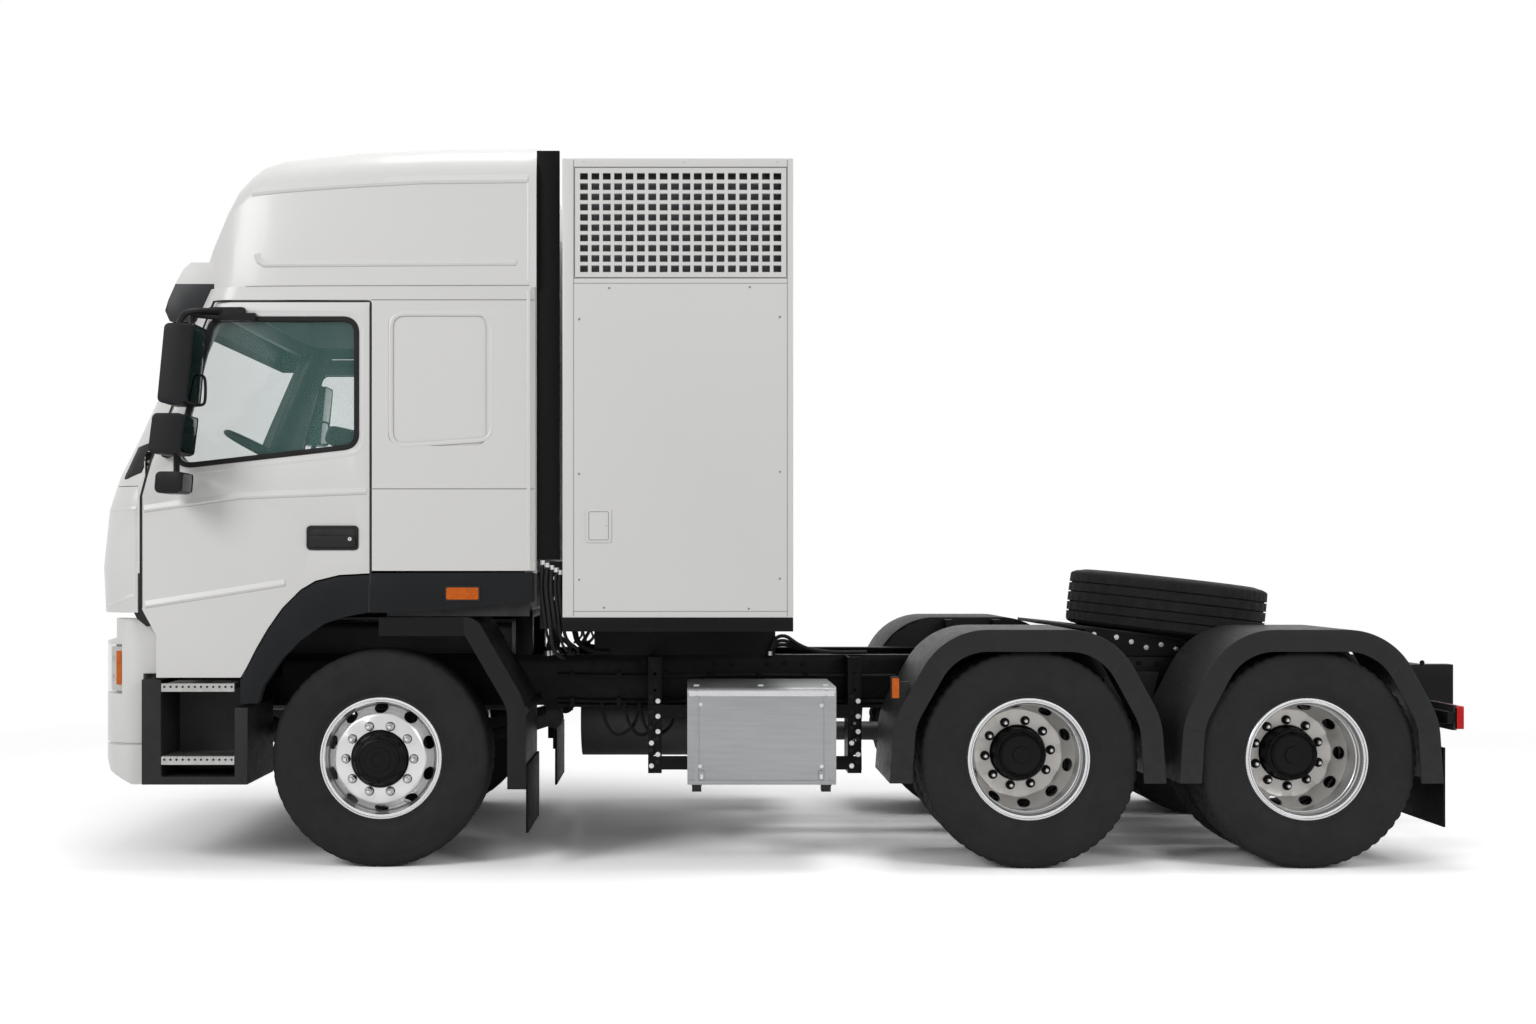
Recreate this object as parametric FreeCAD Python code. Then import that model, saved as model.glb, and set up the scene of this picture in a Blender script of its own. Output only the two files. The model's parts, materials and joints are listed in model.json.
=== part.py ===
import FreeCAD, Part
import math
import os

# Tractor unit with three axles and a high-roof sleeper cab, as an assembly of separate pieces.
# Millimetres. X runs from nose to tail, Y is across with the driver's side negative, Z is up
# from the ground. Stations are measured from the front axle; the finished part is moved so
# that its origin lies on the ground at the middle of its length.

V = FreeCAD.Vector
ALONG_X, ALONG_Y, ALONG_Z = V(1, 0, 0), V(0, 1, 0), V(0, 0, 1)

# Whole vehicle
WHEELBASE = 3200.0
BOGIE_SPACING = 1370.0
FRONT_OVERHANG = 1415.0
REAR_OVERHANG = 1063.0
BODY_HALF = 1245.0
TYRE_R = 538.0
LENGTH = FRONT_OVERHANG + WHEELBASE + BOGIE_SPACING + REAR_OVERHANG
ORIGIN_SHIFT = FRONT_OVERHANG - LENGTH / 2
NOSE_X = -FRONT_OVERHANG
REAR_AXLES = (WHEELBASE, WHEELBASE + BOGIE_SPACING)
BOGIE_X = WHEELBASE + BOGIE_SPACING / 2
REAR_X = REAR_AXLES[1] + REAR_OVERHANG

# Fits and gaps
RUNNING_FIT = 0.4
MEETING = 1e-6
SEAT_GAP = 0.3
PANEL_GAP = 8.0
OVERRUN = 60.0

# Sides of what is turned or bent in flat facets
WHEEL_SIDES = 32
TURN_SIDES = 24
HOLE_SIDES = 8
CORNER_FACETS = 7
CROWN_FACETS = 6
TAIL_FACETS = 3
SHOULDER_FACETS = 6
LEAF_FACETS = 10

# Tyres and wheels
TYRE_W = 315.0
BEAD_R = 287.0
FLANGE_R = 306.0
FLANGE_T = 12.0
RIM_HALF = 127.0
RIM_T = 16.0
DISC_T = 12.0
DISC_FLAT_R = 223.0
DISC_JOIN_R = 262.0
BORE_R = 141.0
HAND_HOLE_R = 18.0
HAND_HOLE_PITCH_R = 238.0
HAND_HOLES = 10
HUB_R = 136.0
HUB_CAP_R = 98.0
HUB_NOSE = 62.0
HUB_CHAMFER = 22.0
HUB_LENGTH = 110.0
SPINDLE_R = 52.0
SPINDLE_END_GAP = 6.0
FRONT_TRACK_HALF_INSET = 225.0
FRONT_TRACK_HALF = BODY_HALF - FRONT_TRACK_HALF_INSET
FRONT_DISC_OUT = 150.0
FRONT_JOIN_OUT = 62.0
TWIN_OUTER_Y_INSET = 177.5
TWIN_OUTER_Y = BODY_HALF - TWIN_OUTER_Y_INSET
TWIN_SPACING = 351.0
TWIN_JOIN_IN = 66.0
TYRE_PROFILE_SHARES = ((0.0, 0.36), (0.09, 0.36), (0.60, 0.50), (1.0, 0.41))

# Front axle, knuckles and steering
KINGPIN_Y_INSET = 165.0
KINGPIN_Y = FRONT_TRACK_HALF - KINGPIN_Y_INSET
KINGPIN_R = 22.0
EYE_R = 44.0
EYE_HALF = 52.0
ARM_R = 52.0
ARM_T = 36.0
ARM_CLEAR = 6.0
WEB_Y = 60.0
WEB_T = 34.0
WEB_HALF = 58.0
BRAKE_R = 205.0
BRAKE_T = 90.0
BEAM_HALF_X = 42.0
BEAM_DROP = 88.0
BEAM_DEPTH = 92.0
BEAM_FLAT_Y_INSET = 295.0
BEAM_FLAT_Y = KINGPIN_Y - BEAM_FLAT_Y_INSET
BEAM_BEND_Y_INSET = 155.0
BEAM_BEND_Y = KINGPIN_Y - BEAM_BEND_Y_INSET
TIE_ARM_BACK = 190.0
TIE_ARM_T = 26.0
TIE_ARM_W = 46.0
TIE_ROD_R = 20.0
TIE_BALL_R = 26.0
TIE_PIN_R = 10.0

# Frame
RAIL_OUT_Y = 430.0
RAIL_TOP = 1010.0
RAIL_DEPTH = 270.0
RAIL_FLANGE = 80.0
RAIL_T = 9.0
RAIL_FRONT_X = -1270.0
RAIL_TAPER_START_INSET = 383.0
RAIL_TAPER_START = REAR_X - RAIL_TAPER_START_INSET
RAIL_TAPER_DROP = 52.0
RAIL_TAPER_RUN = 150.0
MEMBER_HALF_X = 45.0
MEMBER_DEPTH = 190.0
MEMBER_T = 10.0
MEMBER_FRONT_XS = (-1000.0, 820.0)
MEMBER_BEHIND_MOTOR = 80.0
MEMBER_BEFORE_AXLE = 440.0
MEMBER_END_IN = 93.0

# Springs and drive axles
SPRING_Y = 430.0
SPRING_HALF_Y = 40.0
SPRING_REACH = 800.0
SPRING_T = 66.0
SPRING_EYE_R = 34.0
SPRING_EYE_DROP = 102.0
HANGER_HALF_X = 44.0
DRIVE_TUBE_R = 84.0
DIFF_R = 205.0
DIFF_CAP_R = 127.0
DIFF_HALF_Y = 150.0
NOSE_R = 92.0
NOSE_REACH = 400.0
BRAKE_WHEEL_GAP = 12.0
DRIVE_BRAKE_W = 278.0
BOGIE_SPRING_Y = 490.0
BOGIE_SPRING_HALF_Y = 44.0
BOGIE_SPRING_T = 84.0
TRUNNION_R = 56.0
TRUNNION_Z = 590.0
TRUNNION_PLATE_HALF_X = 150.0
TORQUE_ROD_R = 24.0
TORQUE_ROD_Y = 260.0
SHAFT_R = 52.0
SHAFT_Z = 560.0
MOTOR_FRONT_X = 930.0
MOTOR_LENGTH_SHARE = 0.26875
MOTOR_LENGTH = WHEELBASE * MOTOR_LENGTH_SHARE
MOTOR_R = 215.0
MOTOR_NECK_R = 130.0
MOTOR_NECK_LENGTH = 210.0
MOTOR_Z = 640.0
MOTOR_FOOT_HALF_X = 60.0
MOTOR_FOOT_T = 28.0
POWER_FRONT_X = -760.0
POWER_REAR_X = 560.0
POWER_HALF_Y = 300.0
POWER_BOTTOM = 700.0
POWER_TOP = 1180.0
POWER_EDGE = 40.0

# Cab form: the plan section at each height share, set back by its share
CAB_BOTTOM = 1262.0
ROOF_SEAM = 2856.0
CAB_REAR_X = 777.0
CAB_CORNER_R = 200.0
CAB_REAR_R = 46.0
CAB_CROWN = 20.0
CAB_RAKE = 520.0
CAB_WALL = 55.0
CAB_LEVEL_SHARES = (
    (0.0, 0.02), (0.14, 0.0), (0.315, 0.055), (0.42, 0.16), (0.535, 0.34), (1.0, 1.0),
)
CAB_FLOOR = 1290.0
CAB_FLOOR_T = 60.0
SIDE_BOTTOM = 1467.0
SIDE_SEAM_Z = 1868.0
SEAM_W = 5.0
SEAM_DEPTH = 5.0
RELIEF_FRONT_X = 54.0
RELIEF_REAR_X = 538.0
RELIEF_BOTTOM = 2078.0
RELIEF_TOP = 2724.0
RELIEF_R = 60.0
RELIEF_DEPTH = 8.0
DOOR_BOTTOM = 944.0

# Tilt pivot of the cab
TILT_X = -1150.0
TILT_Z = 950.0
TILT_PIN_R = 24.0
TILT_PIN_OUT = 62.0
TILT_EYE_R = 46.0
TILT_ARM_T = 36.0
TILT_ARM_GAP = 8.0
TILT_ARM_FOOT_X = -960.0
TILT_ARM_FOOT_W = 170.0
CAB_MOUNT_X = 640.0
CAB_MOUNT_HALF_X = 45.0
CAB_MOUNT_PAD_T = 40.0

# High roof
ROOF_TOP = 3585.0
TAIL_MIN_R = 5.0
ROOF_STATION_SHARES = (
    (0.0, 0.145, 0.86), (0.014, 0.22, 0.895), (0.041, 0.365, 0.935), (0.083, 0.593, 0.962),
    (0.113, 0.724, 0.972), (0.147, 0.807, 0.979), (0.183, 0.870, 0.984), (0.238, 0.911, 0.988),
    (0.319, 0.931, 0.99), (0.455, 0.966, 0.99), (0.591, 0.979, 0.99), (0.727, 0.993, 0.99), (1.0, 1.0, 0.99),
)
ROOF_ROUND_SHARES = (0.20, 0.28)
ROOF_FRONT_X = -890.0
ROOF_WALL = 40.0

# Windscreen, hatch and corner panels
SCREEN_BOTTOM = 1965.0
SCREEN_TOP = 2790.0
SCREEN_HALF_BOTTOM_INSET = 130.0
SCREEN_HALF_BOTTOM = BODY_HALF - SCREEN_HALF_BOTTOM_INSET
SCREEN_HALF_TOP_INSET = 185.0
SCREEN_HALF_TOP = BODY_HALF - SCREEN_HALF_TOP_INSET
SCREEN_CORNER_R = 70.0
GLASS_IN = 10.0
GLASS_T = 8.0
HATCH_HALF_INSET = 545.0
HATCH_HALF = BODY_HALF - HATCH_HALF_INSET
HATCH_TOP = 1880.0
HATCH_T = 45.0
HATCH_PIN_R = 6.0
HATCH_AXIS_IN = 18.0
HATCH_ROLL_R = 19.0
HATCH_ROLL_GAP = 9.0
HATCH_LUG_HALF = 22.0
HATCH_LUG_Y_INSET = 270.0
HATCH_LUG_Y = HATCH_HALF - HATCH_LUG_Y_INSET
CORNER_REAR_X = -1172.0
CORNER_T = 40.0
BULKHEAD_T = 30.0

# Doors
DOOR_FRONT_X = -1155.0
DOOR_NOTCH_X = -1081.0
DOOR_NOTCH_TOP = 1285.0
DOOR_NOTCH_BOTTOM = 1150.0
DOOR_STRAIGHT_TOP = 1830.0
DOOR_PILLAR_X = -1108.0
DOOR_PILLAR_Z = 2010.0
DOOR_SHOULDER_X = -800.0
DOOR_TOP = 2785.0
DOOR_REAR_X = -34.0
DOOR_ARCH_X = -670.0
DOOR_ARCH_TOP = 1455.0
DOOR_ARCH_SHARES = (
    (0.0, 0.0), (0.046, 0.096), (0.115, 0.268), (0.208, 0.468), (0.322, 0.669), (0.461, 0.842), (0.577,
                                                                                                 0.928),
    (0.761, 0.984), (1.0, 1.0),
)
WINDOW_FRONT_X = -985.0
WINDOW_REAR_X = -110.0
WINDOW_BOTTOM = 1985.0
WINDOW_REAR_BOTTOM = 2085.0
WINDOW_TOP = 2690.0
WINDOW_TOP_FRONT_X = -800.0
WINDOW_CORNER_R = 60.0
HINGE_IN_X = 40.0
HINGE_IN_Y = 16.0
HINGE_PIN_R = 5.0
HINGE_EYE_R = 10.0
HINGE_HALF = 20.0
HINGE_PIN_EXTRA = 16.0
HINGE_ZS = (1360.0, 1760.0)
HINGE_LEG_T = 16.0
HINGE_GAP = 4.0
DOOR_SWING_GAP = 5.0
PILLAR_NOTCH_LOW = 1935.0
PILLAR_NOTCH_TOP = 2050.0
PILLAR_NOTCH_GAP = 9.0
HINGE_REACH = 60.0
DOOR_EDGE_R = 12.0
HANDLE_FRONT_X = -337.0
HANDLE_REAR_X = -92.0
HANDLE_Z = 1628.0
HANDLE_HALF = 56.0
HANDLE_OUT = 22.0
HANDLE_R = 14.0

# Mirrors
MIRROR_REAR_X = -808.0
MIRROR_W = 134.0
MIRROR_LEAN = 36.0
MIRROR_IN_Y_OFFSET = 85.0
MIRROR_IN_Y = BODY_HALF + MIRROR_IN_Y_OFFSET
MIRROR_OUT_Y_OFFSET = 320.0
MIRROR_OUT_Y = BODY_HALF + MIRROR_OUT_Y_OFFSET
MIRROR_TOP = 2636.0
MIRROR_H = 376.0
MIRROR_CORNER_R = 26.0
WIDE_REAR_X = -850.0
WIDE_W = 148.0
WIDE_LEAN = 24.0
WIDE_GAP = 48.0
WIDE_H = 191.0
KERB_REAR_X = -875.0
KERB_W = 126.0
KERB_LEAN = 8.0
KERB_GAP = 81.0
KERB_H = 103.0
KERB_IN = 55.0
MIRROR_ARM_R = 15.0
MIRROR_ARM_RISE = 70.0
MIRROR_ARM_SIDES = 10
MIRROR_FOOT_X = -770.0
MIRROR_FOOT_W = 180.0
MIRROR_FOOT_H = 38.0
MIRROR_FOOT_T = 30.0
MIRROR_LOW_FOOT_X = -1025.0

# Visor
VISOR_TOP = 2990.0
VISOR_BOTTOM = 2700.0
VISOR_REACH = 173.0
VISOR_T = 14.0
VISOR_SHARES = (
    (0.0, 1.0), (0.26, 1.0), (0.46, 0.90), (0.69, 0.655), (0.91, 0.36), (1.0, 0.18), (0.87, 0.0),
)
VISOR_HALF_INSET = 80.0
VISOR_HALF = BODY_HALF - VISOR_HALF_INSET

# Arch trim of the cab
TRIM_FRONT_BOTTOM = 817.0
TRIM_REAR_BOTTOM = 1315.0
TRIM_INNER_TOP = 1262.0
TRIM_FRONT_INNER_X = -585.0
TRIM_INNER_END_X = -49.0
TRIM_FLAT_END_X = 137.0
TRIM_INNER_SHARES = (
    (0.0, 0.0), (0.055, 0.198), (0.224, 0.494), (0.388, 0.692), (0.608, 0.879), (0.80, 0.955), (1.0, 1.0),
)
TRIM_REAR_X = 760.0

# Rear edge strips of the cab
STRIP_LENGTH = 112.0
STRIP_T = 22.0
STRIP_BOTTOM = 1521.0
STRIP_TOP_INSET = 51.0
STRIP_TOP = ROOF_TOP - STRIP_TOP_INSET

# Cab inside
DASH_TOP = 1985.0
DASH_DEPTH = 330.0
DASH_THICK = 300.0
CONSOLE_HALF = 210.0
SEAT_Y_INSET = 625.0
SEAT_Y = BODY_HALF - SEAT_Y_INSET
SEAT_HALF = 250.0
SEAT_FRONT_X = -560.0
SEAT_LENGTH = 520.0
SEAT_TOP = 1780.0
SEAT_PAD_T = 140.0
SEAT_BACK_T = 130.0
SEAT_BACK_TOP = 2480.0
SEAT_POST_HALF = 150.0
BUNK_FRONT_X = 130.0
BUNK_TOP = 1950.0
BUNK_T = 160.0
STEER_R = 225.0
STEER_GRIP_R = 15.0
STEER_X = -700.0
STEER_Z = 2085.0
STEER_TILT_DEG = 62.0
COLUMN_R = 34.0
COLUMN_LENGTH = 300.0

# Bumper and headlamps
BUMPER_HALF_INSET = 65.0
BUMPER_HALF = BODY_HALF - BUMPER_HALF_INSET
BUMPER_CORNER_R = 190.0
BUMPER_FRONT_X = -1413.0
BUMPER_CROWN = 18.0
BUMPER_BOTTOM = 413.0
BUMPER_LIP_Z = 600.0
BUMPER_BACK_X = -1165.0
BUMPER_UPPER_BACK_X = -1092.0
BUMPER_UPPER_Z = 960.0
BUMPER_TOP = 1232.0
BUMPER_NECK_X = -1306.0
BUMPER_SHOULDER_Z = 1118.0
BUMPER_WALL = 60.0
BUMPER_GROOVE_Z = 612.0
BUMPER_GROOVE_H = 12.0
BUMPER_GROOVE_DEPTH = 14.0
LAMP_BOTTOM = 862.0
LAMP_TOP = 1100.0
LAMP_REAR_X = -1278.0
LAMP_IN_Y_INSET = 380.0
LAMP_IN_Y = BUMPER_HALF - LAMP_IN_Y_INSET
LAMP_GAP = 3.0
BUMPER_STAY_T = 20.0
BUMPER_STAY_DEPTH = 160.0

# Step boxes
STEP_FRONT_X = -1157.0
STEP_REAR_X = -636.0
STEP_OUT_Y_INSET = 10.0
STEP_OUT_Y = BODY_HALF - STEP_OUT_Y_INSET
STEP_IN_Y_INSET = 525.0
STEP_IN_Y = BODY_HALF - STEP_IN_Y_INSET
STEP_TOP = 934.0
STEP_BOTTOM = 418.0
STEP_RECESS_FRONT_X = -1061.0
STEP_RECESS_REAR_X = -702.0
STEP_RECESS_IN_Y_INSET = 315.0
STEP_RECESS_IN_Y = BODY_HALF - STEP_RECESS_IN_Y_INSET
STEP_FLOOR_T = 40.0
STEP_POST_TOP = 797.0
TREAD_ZS = (530.0, 888.0)
TREAD_T = 26.0
TREAD_LIP = 40.0
STEP_ARM_HALF_X = 40.0
STEP_ARM_X = -900.0
STEP_ARM_Z = 800.0
STEP_ARM_DEPTH = 90.0

# Front mudguards
GUARD_IN_Y_INSET = 655.0
GUARD_IN_Y = BODY_HALF - GUARD_IN_Y_INSET
GUARD_OUT_Y_INSET = 40.0
GUARD_OUT_Y = BODY_HALF - GUARD_OUT_Y_INSET
GUARD_CLEAR = 12.0
GUARD_FRONT_OUT_Y = BODY_HALF - CAB_WALL - GUARD_CLEAR
GUARD_T = 12.0
GUARD_LIP_W = 92.0
GUARD_LIP_T = 12.0
GUARD_TOP = 1238.0
GUARD_REAR_X = 724.0
GUARD_SHOULDER_X = 478.0
GUARD_REAR_BOTTOM = 391.0
GUARD_FRONT_X = -632.0
GUARD_FRONT_BOTTOM = 905.0
GUARD_STAY_R = 20.0
GUARD_STAY_Z = 780.0
FLAP_T = 12.0
FRONT_FLAP_BOTTOM = 176.0

# Rear fenders
FENDER_IN_Y_INSET = 660.0
FENDER_IN_Y = BODY_HALF - FENDER_IN_Y_INSET
FENDER_OUT_Y = BODY_HALF
FENDER_T = 10.0
FENDER_LIP_T = 12.0
FENDER_LIP_W = 108.0
FENDER_TOP = 1178.0
FENDER_BOTTOM = 425.0
FENDER_REACHES = ((700.0, 672.0), (650.0, 660.0))
FENDER_KNEE_SHARE = 0.955
FENDER_KNEE_Z_SHARE = 0.42
FENDER_SHOULDER_SHARE = 0.60
FENDER_ROUND_R = 360.0
FENDER_ARM_REACHES = ((-140.0, 140.0), (30.0, 150.0))
FENDER_ARM_W = 40.0
REAR_FLAP_BOTTOM = 210.0
REAR_FLAP_TOP = 600.0
LAMP_BAR_X_INSET = 389.0
LAMP_BAR_X = REAR_X - LAMP_BAR_X_INSET
LAMP_BAR_W = 36.0
LAMP_BAR_Z = 716.0
LAMP_BAR_H = 60.0
TAIL_LAMP_IN_Y_INSET = 365.0
TAIL_LAMP_IN_Y = BODY_HALF - TAIL_LAMP_IN_Y_INSET
TAIL_LAMP_H = 112.0
TAIL_LAMP_T = 46.0

# Cabinet behind the cab
CABINET_FRONT_X = 906.0
CABINET_REAR_X_INSET = 1163.0
CABINET_REAR_X = WHEELBASE - CABINET_REAR_X_INSET
CABINET_HALF_INSET = 5.0
CABINET_HALF = BODY_HALF - CABINET_HALF_INSET
CABINET_TOP_INSET = 97.0
CABINET_TOP = ROOF_TOP - CABINET_TOP_INSET
CABINET_BOTTOM = 1237.0
CABINET_WALL = 30.0
CABINET_POST = 62.0
GRILLE_TOP_INSET = 48.0
GRILLE_TOP = CABINET_TOP - GRILLE_TOP_INSET
GRILLE_BOTTOM_INSET = 535.0
GRILLE_BOTTOM = GRILLE_TOP - GRILLE_BOTTOM_INSET
GRILLE_REAR_MARGIN = 34.0
GRILLE_COLUMNS = 18
GRILLE_ROWS = 10
GRILLE_BAR = 17.0
GRILLE_T = 18.0
GRILLE_FRAME = 16.0
PANEL_JOINT = 3.0
BASE_DEPTH = 68.0
BASE_FOOT_HALF_X = 40.0
BASE_FOOT_SHARES = (0.136, 0.4985, 0.861)
BLOCK_CLEAR = 30.0

# Side box, air tanks and their hangers
BOX_FRONT_X = 1518.0
BOX_REAR_X_INSET = 952.0
BOX_REAR_X = WHEELBASE - BOX_REAR_X_INSET
BOX_TOP = 897.0
BOX_BOTTOM = 418.0
BOX_IN_Y_OFFSET = 222.0
BOX_IN_Y = RAIL_OUT_Y + BOX_IN_Y_OFFSET
BOX_OUT_Y_INSET = 10.0
BOX_OUT_Y = BODY_HALF - BOX_OUT_Y_INSET
BOX_EDGE_R = 36.0
HANGER_FRONT_X = 1311.0
HANGER_REAR_INSET = 840.0
HANGER_XS = (HANGER_FRONT_X, WHEELBASE - HANGER_REAR_INSET)
HANGER_W = 72.0
HANGER_T = 10.0
HANGER_OUT_Y_OFFSET = 210.0
HANGER_OUT_Y = RAIL_OUT_Y + HANGER_OUT_Y_OFFSET
HANGER_BOTTOM = 400.0
HANGER_HOLE_R = 9.0
HANGER_HOLES = 6
CROSSBAR_DEPTH = 70.0
CROSSBAR_Z = 420.0
TANK_R = 138.0
TANK_IN = 9.0
TANK_GAP = 7.0
TANK_BOX_IN = 15.0
TANK_DOME = 60.0
TANK_AXIS_Z = 640.0
CRADLE_SHARE = 0.33
CRADLE_W = 50.0
CRADLE_DEPTH = 46.0

# Fifth wheel and spare wheel
FIFTH_X_INSET = 25.0
FIFTH_X = BOGIE_X - FIFTH_X_INSET
FIFTH_AXIS_Z = 1095.0
FIFTH_TILT_DEG = 6.5
FIFTH_TOP_UP = 44.0
FIFTH_PLATE_T = 16.0
FIFTH_HALF_X = 440.0
FIFTH_HALF_Y = 430.0
FIFTH_NOSE_HALF_Y = 270.0
FIFTH_NOSE_RUN = 180.0
FIFTH_PIN_R = 20.0
FIFTH_LUG_R = 34.0
FIFTH_LUG_T = 40.0
FIFTH_LUG_Y = 330.0
FIFTH_CHEEK_T = 34.0
FIFTH_BORE_R = 25.6
FIFTH_JAW_R = 74.0
FIFTH_JAW_T = 40.0
FIFTH_THROAT = 44.0
FIFTH_THROAT_END = 190.0
FIFTH_BASE_T = 14.0
FIFTH_BASE_HALF_X = 360.0
FIFTH_BASE_HALF_Y = 428.0
SPARE_FROM_PIVOT = 324.0
SPARE_GAP = 0.4

# Places worked out from the sizes above
RAIL_BOTTOM = RAIL_TOP - RAIL_DEPTH
RAIL_IN_Y = RAIL_OUT_Y - RAIL_FLANGE
TWIN_INNER_Y = TWIN_OUTER_Y - TWIN_SPACING
TWIN_MID_Y = (TWIN_OUTER_Y + TWIN_INNER_Y) / 2
DRIVE_BRAKE_OUT_Y = TWIN_MID_Y - DISC_T - BRAKE_WHEEL_GAP
DRIVE_BRAKE_IN_Y = DRIVE_BRAKE_OUT_Y - DRIVE_BRAKE_W
MOTOR_END_X = MOTOR_FRONT_X + MOTOR_LENGTH + MOTOR_NECK_LENGTH
MEMBER_STATIONS = MEMBER_FRONT_XS + (
    MOTOR_END_X + MEMBER_BEHIND_MOTOR, REAR_AXLES[0] - MEMBER_BEFORE_AXLE, BOGIE_X, REAR_X - MEMBER_END_IN)
TANK_YS = (BODY_HALF - TANK_IN - 3 * TANK_R - TANK_GAP, BODY_HALF - TANK_IN - TANK_R)
TANK_MID_X = (BOX_FRONT_X + BOX_REAR_X) / 2
TANK_LENGTH = BOX_REAR_X - BOX_FRONT_X - 2 * TANK_BOX_IN


def box(x0, x1, y0, y1, z0, z1):
    return Part.makeBox(x1 - x0, y1 - y0, z1 - z0, V(x0, y0, z0))


def rod(x, y, z, radius, length, axis):
    return Part.makeCylinder(radius, length, V(x, y, z), axis)


def mirrored(shape):
    """The same piece on the other side of the vehicle."""
    return shape.mirror(V(0, 0, 0), ALONG_Y)


def both(shape):
    return [shape, mirrored(shape)]


def fuse(shapes):
    whole = shapes[0]
    for shape in shapes[1:]:
        whole = whole.fuse(shape)
    return whole.removeSplitter()


def placed(plane, a, b, level):
    """A point of an outline in plane xz, yz or xy at a level along the third axis."""
    if plane == "xz":
        return V(a, level, b)
    if plane == "yz":
        return V(level, a, b)
    return V(a, b, level)


def outline(points, plane, level):
    """Closed wire through points (a, b) or (a, b, corner radius)."""
    count = len(points)
    flat = [V(point[0], point[1], 0) for point in points]
    radii = [point[2] if len(point) > 2 else 0.0 for point in points]
    ends, edges = [], []
    for i in range(count):
        here, before, after = flat[i], flat[i - 1], flat[(i + 1) % count]
        if radii[i] == 0:
            ends.append((here, None, here))
            continue
        u, w = before - here, after - here
        room = min(u.Length, w.Length) * 0.49
        half = u.getAngle(w) / 2
        run = min(radii[i] / math.tan(half), room)
        radius = run * math.tan(half)
        u.normalize()
        w.normalize()
        out = u + w
        out.normalize()
        centre = here + out * (radius / math.sin(half))
        ends.append((here + u * run, centre - out * radius, here + w * run))
    for i in range(count):
        start, middle, end = [
            placed(plane, p.x, p.y, level) if p is not None else None for p in ends[i]
        ]
        if middle is not None:
            edges.append(Part.Arc(start, middle, end).toShape())
        following = ends[(i + 1) % count][0]
        target = placed(plane, following.x, following.y, level)
        if (target - end).Length > MEETING:
            edges.append(Part.LineSegment(end, target).toShape())
    return Part.Wire(edges)


def prism(points, plane, start, end):
    """Outline extruded along the axis that its plane leaves free."""
    face = Part.Face(outline(points, plane, start))
    direction = placed(plane, 0, 0, end - start)
    return face.extrude(direction)


def band(points, plane, start, end, width):
    """The strip of that width that lies just inside an outline."""
    wire = outline(points, plane, start)
    inner = wire.makeOffset2D(-width)
    direction = placed(plane, 0, 0, end - start)
    return Part.Face(wire).extrude(direction).cut(Part.Face(inner).extrude(direction))


def faced(faces):
    """Solid bounded by flat faces that meet edge to edge."""
    shell = Part.makeShell(faces)
    shell.sewShape()
    solid = Part.Solid(shell)
    if solid.Volume < 0:
        solid.reverse()
    return solid.removeSplitter()


def flat_faces(corners):
    """One face through four corners, or two triangles where they are not level."""
    ring = [p for i, p in enumerate(corners) if (p - corners[i - 1]).Length > MEETING]
    if len(ring) < 3:
        return []
    if len(ring) == 4:
        normal = (ring[1] - ring[0]).cross(ring[2] - ring[0])
        normal.normalize()
        if abs(normal.dot(ring[3] - ring[0])) > MEETING:
            return [Part.Face(Part.makePolygon([a, b, c, a]))
                    for a, b, c in ((ring[0], ring[1], ring[2]), (ring[0], ring[2], ring[3]))]
    return [Part.Face(Part.makePolygon(ring + [ring[0]]))]


def turned(profile, x, y, z, sides=TURN_SIDES, axis="y"):
    """Profile of (radius, distance along the axis from the centre) turned in flat facets."""
    rings = []
    for i in range(sides):
        angle = 2 * math.pi * i / sides
        ring = []
        for radius, along in profile:
            a, b = radius * math.cos(angle), radius * math.sin(angle)
            ring.append(V(x + a, y + along, z + b) if axis == "y" else V(x + along, y + a, z + b))
        rings.append(ring)
    faces = []
    for i in range(sides):
        here, there = rings[i], rings[(i + 1) % sides]
        for j in range(len(profile)):
            k = (j + 1) % len(profile)
            faces += flat_faces([here[j], here[k], there[k], there[j]])
    return faced(faces)


def skinned(sections):
    """Solid through closed sections that have the same number of points."""
    faces = [Part.Face(Part.makePolygon(ring + [ring[0]])) for ring in (sections[0], sections[-1])]
    for low, high in zip(sections, sections[1:]):
        for j in range(len(low)):
            k = (j + 1) % len(low)
            faces += flat_faces([low[j], low[k], high[k], high[j]])
    return faced(faces)


def bent(x, y, radius, start, end, facets, z):
    """Points along an arc in plan, from one angle to another in degrees."""
    points = []
    for i in range(facets + 1):
        angle = math.radians(start + (end - start) * i / facets)
        points.append(V(x + radius * math.cos(angle), y + radius * math.sin(angle), z))
    return points


def peg(x, y, z, radius, length):
    """Many-sided prism along Y, for round holes that nothing runs in."""
    ring = []
    for i in range(HOLE_SIDES):
        angle = 2 * math.pi * (i + 0.5) / HOLE_SIDES
        ring.append(V(x + radius * math.cos(angle), y, z + radius * math.sin(angle)))
    return Part.Face(Part.makePolygon(ring + [ring[0]])).extrude(V(0, length, 0))


def save(name, solids):
    """Write one node, moved so that the origin is at the middle of the length."""
    shape = Part.makeCompound([solid.copy() for solid in solids]) if len(solids) > 1 else solids[0].copy()
    shape.translate(V(ORIGIN_SHIFT, 0, 0))
    shape.exportStep("parts/" + name + ".step")


# Tyres and wheels

def tyre(x, y, z):
    height = TYRE_R - BEAD_R
    near = [(BEAD_R + h * height, w * TYRE_W) for h, w in TYRE_PROFILE_SHARES]
    far = [(radius, -along) for radius, along in reversed(near)]
    return turned(near + far, x, y, z, WHEEL_SIDES)


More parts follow.
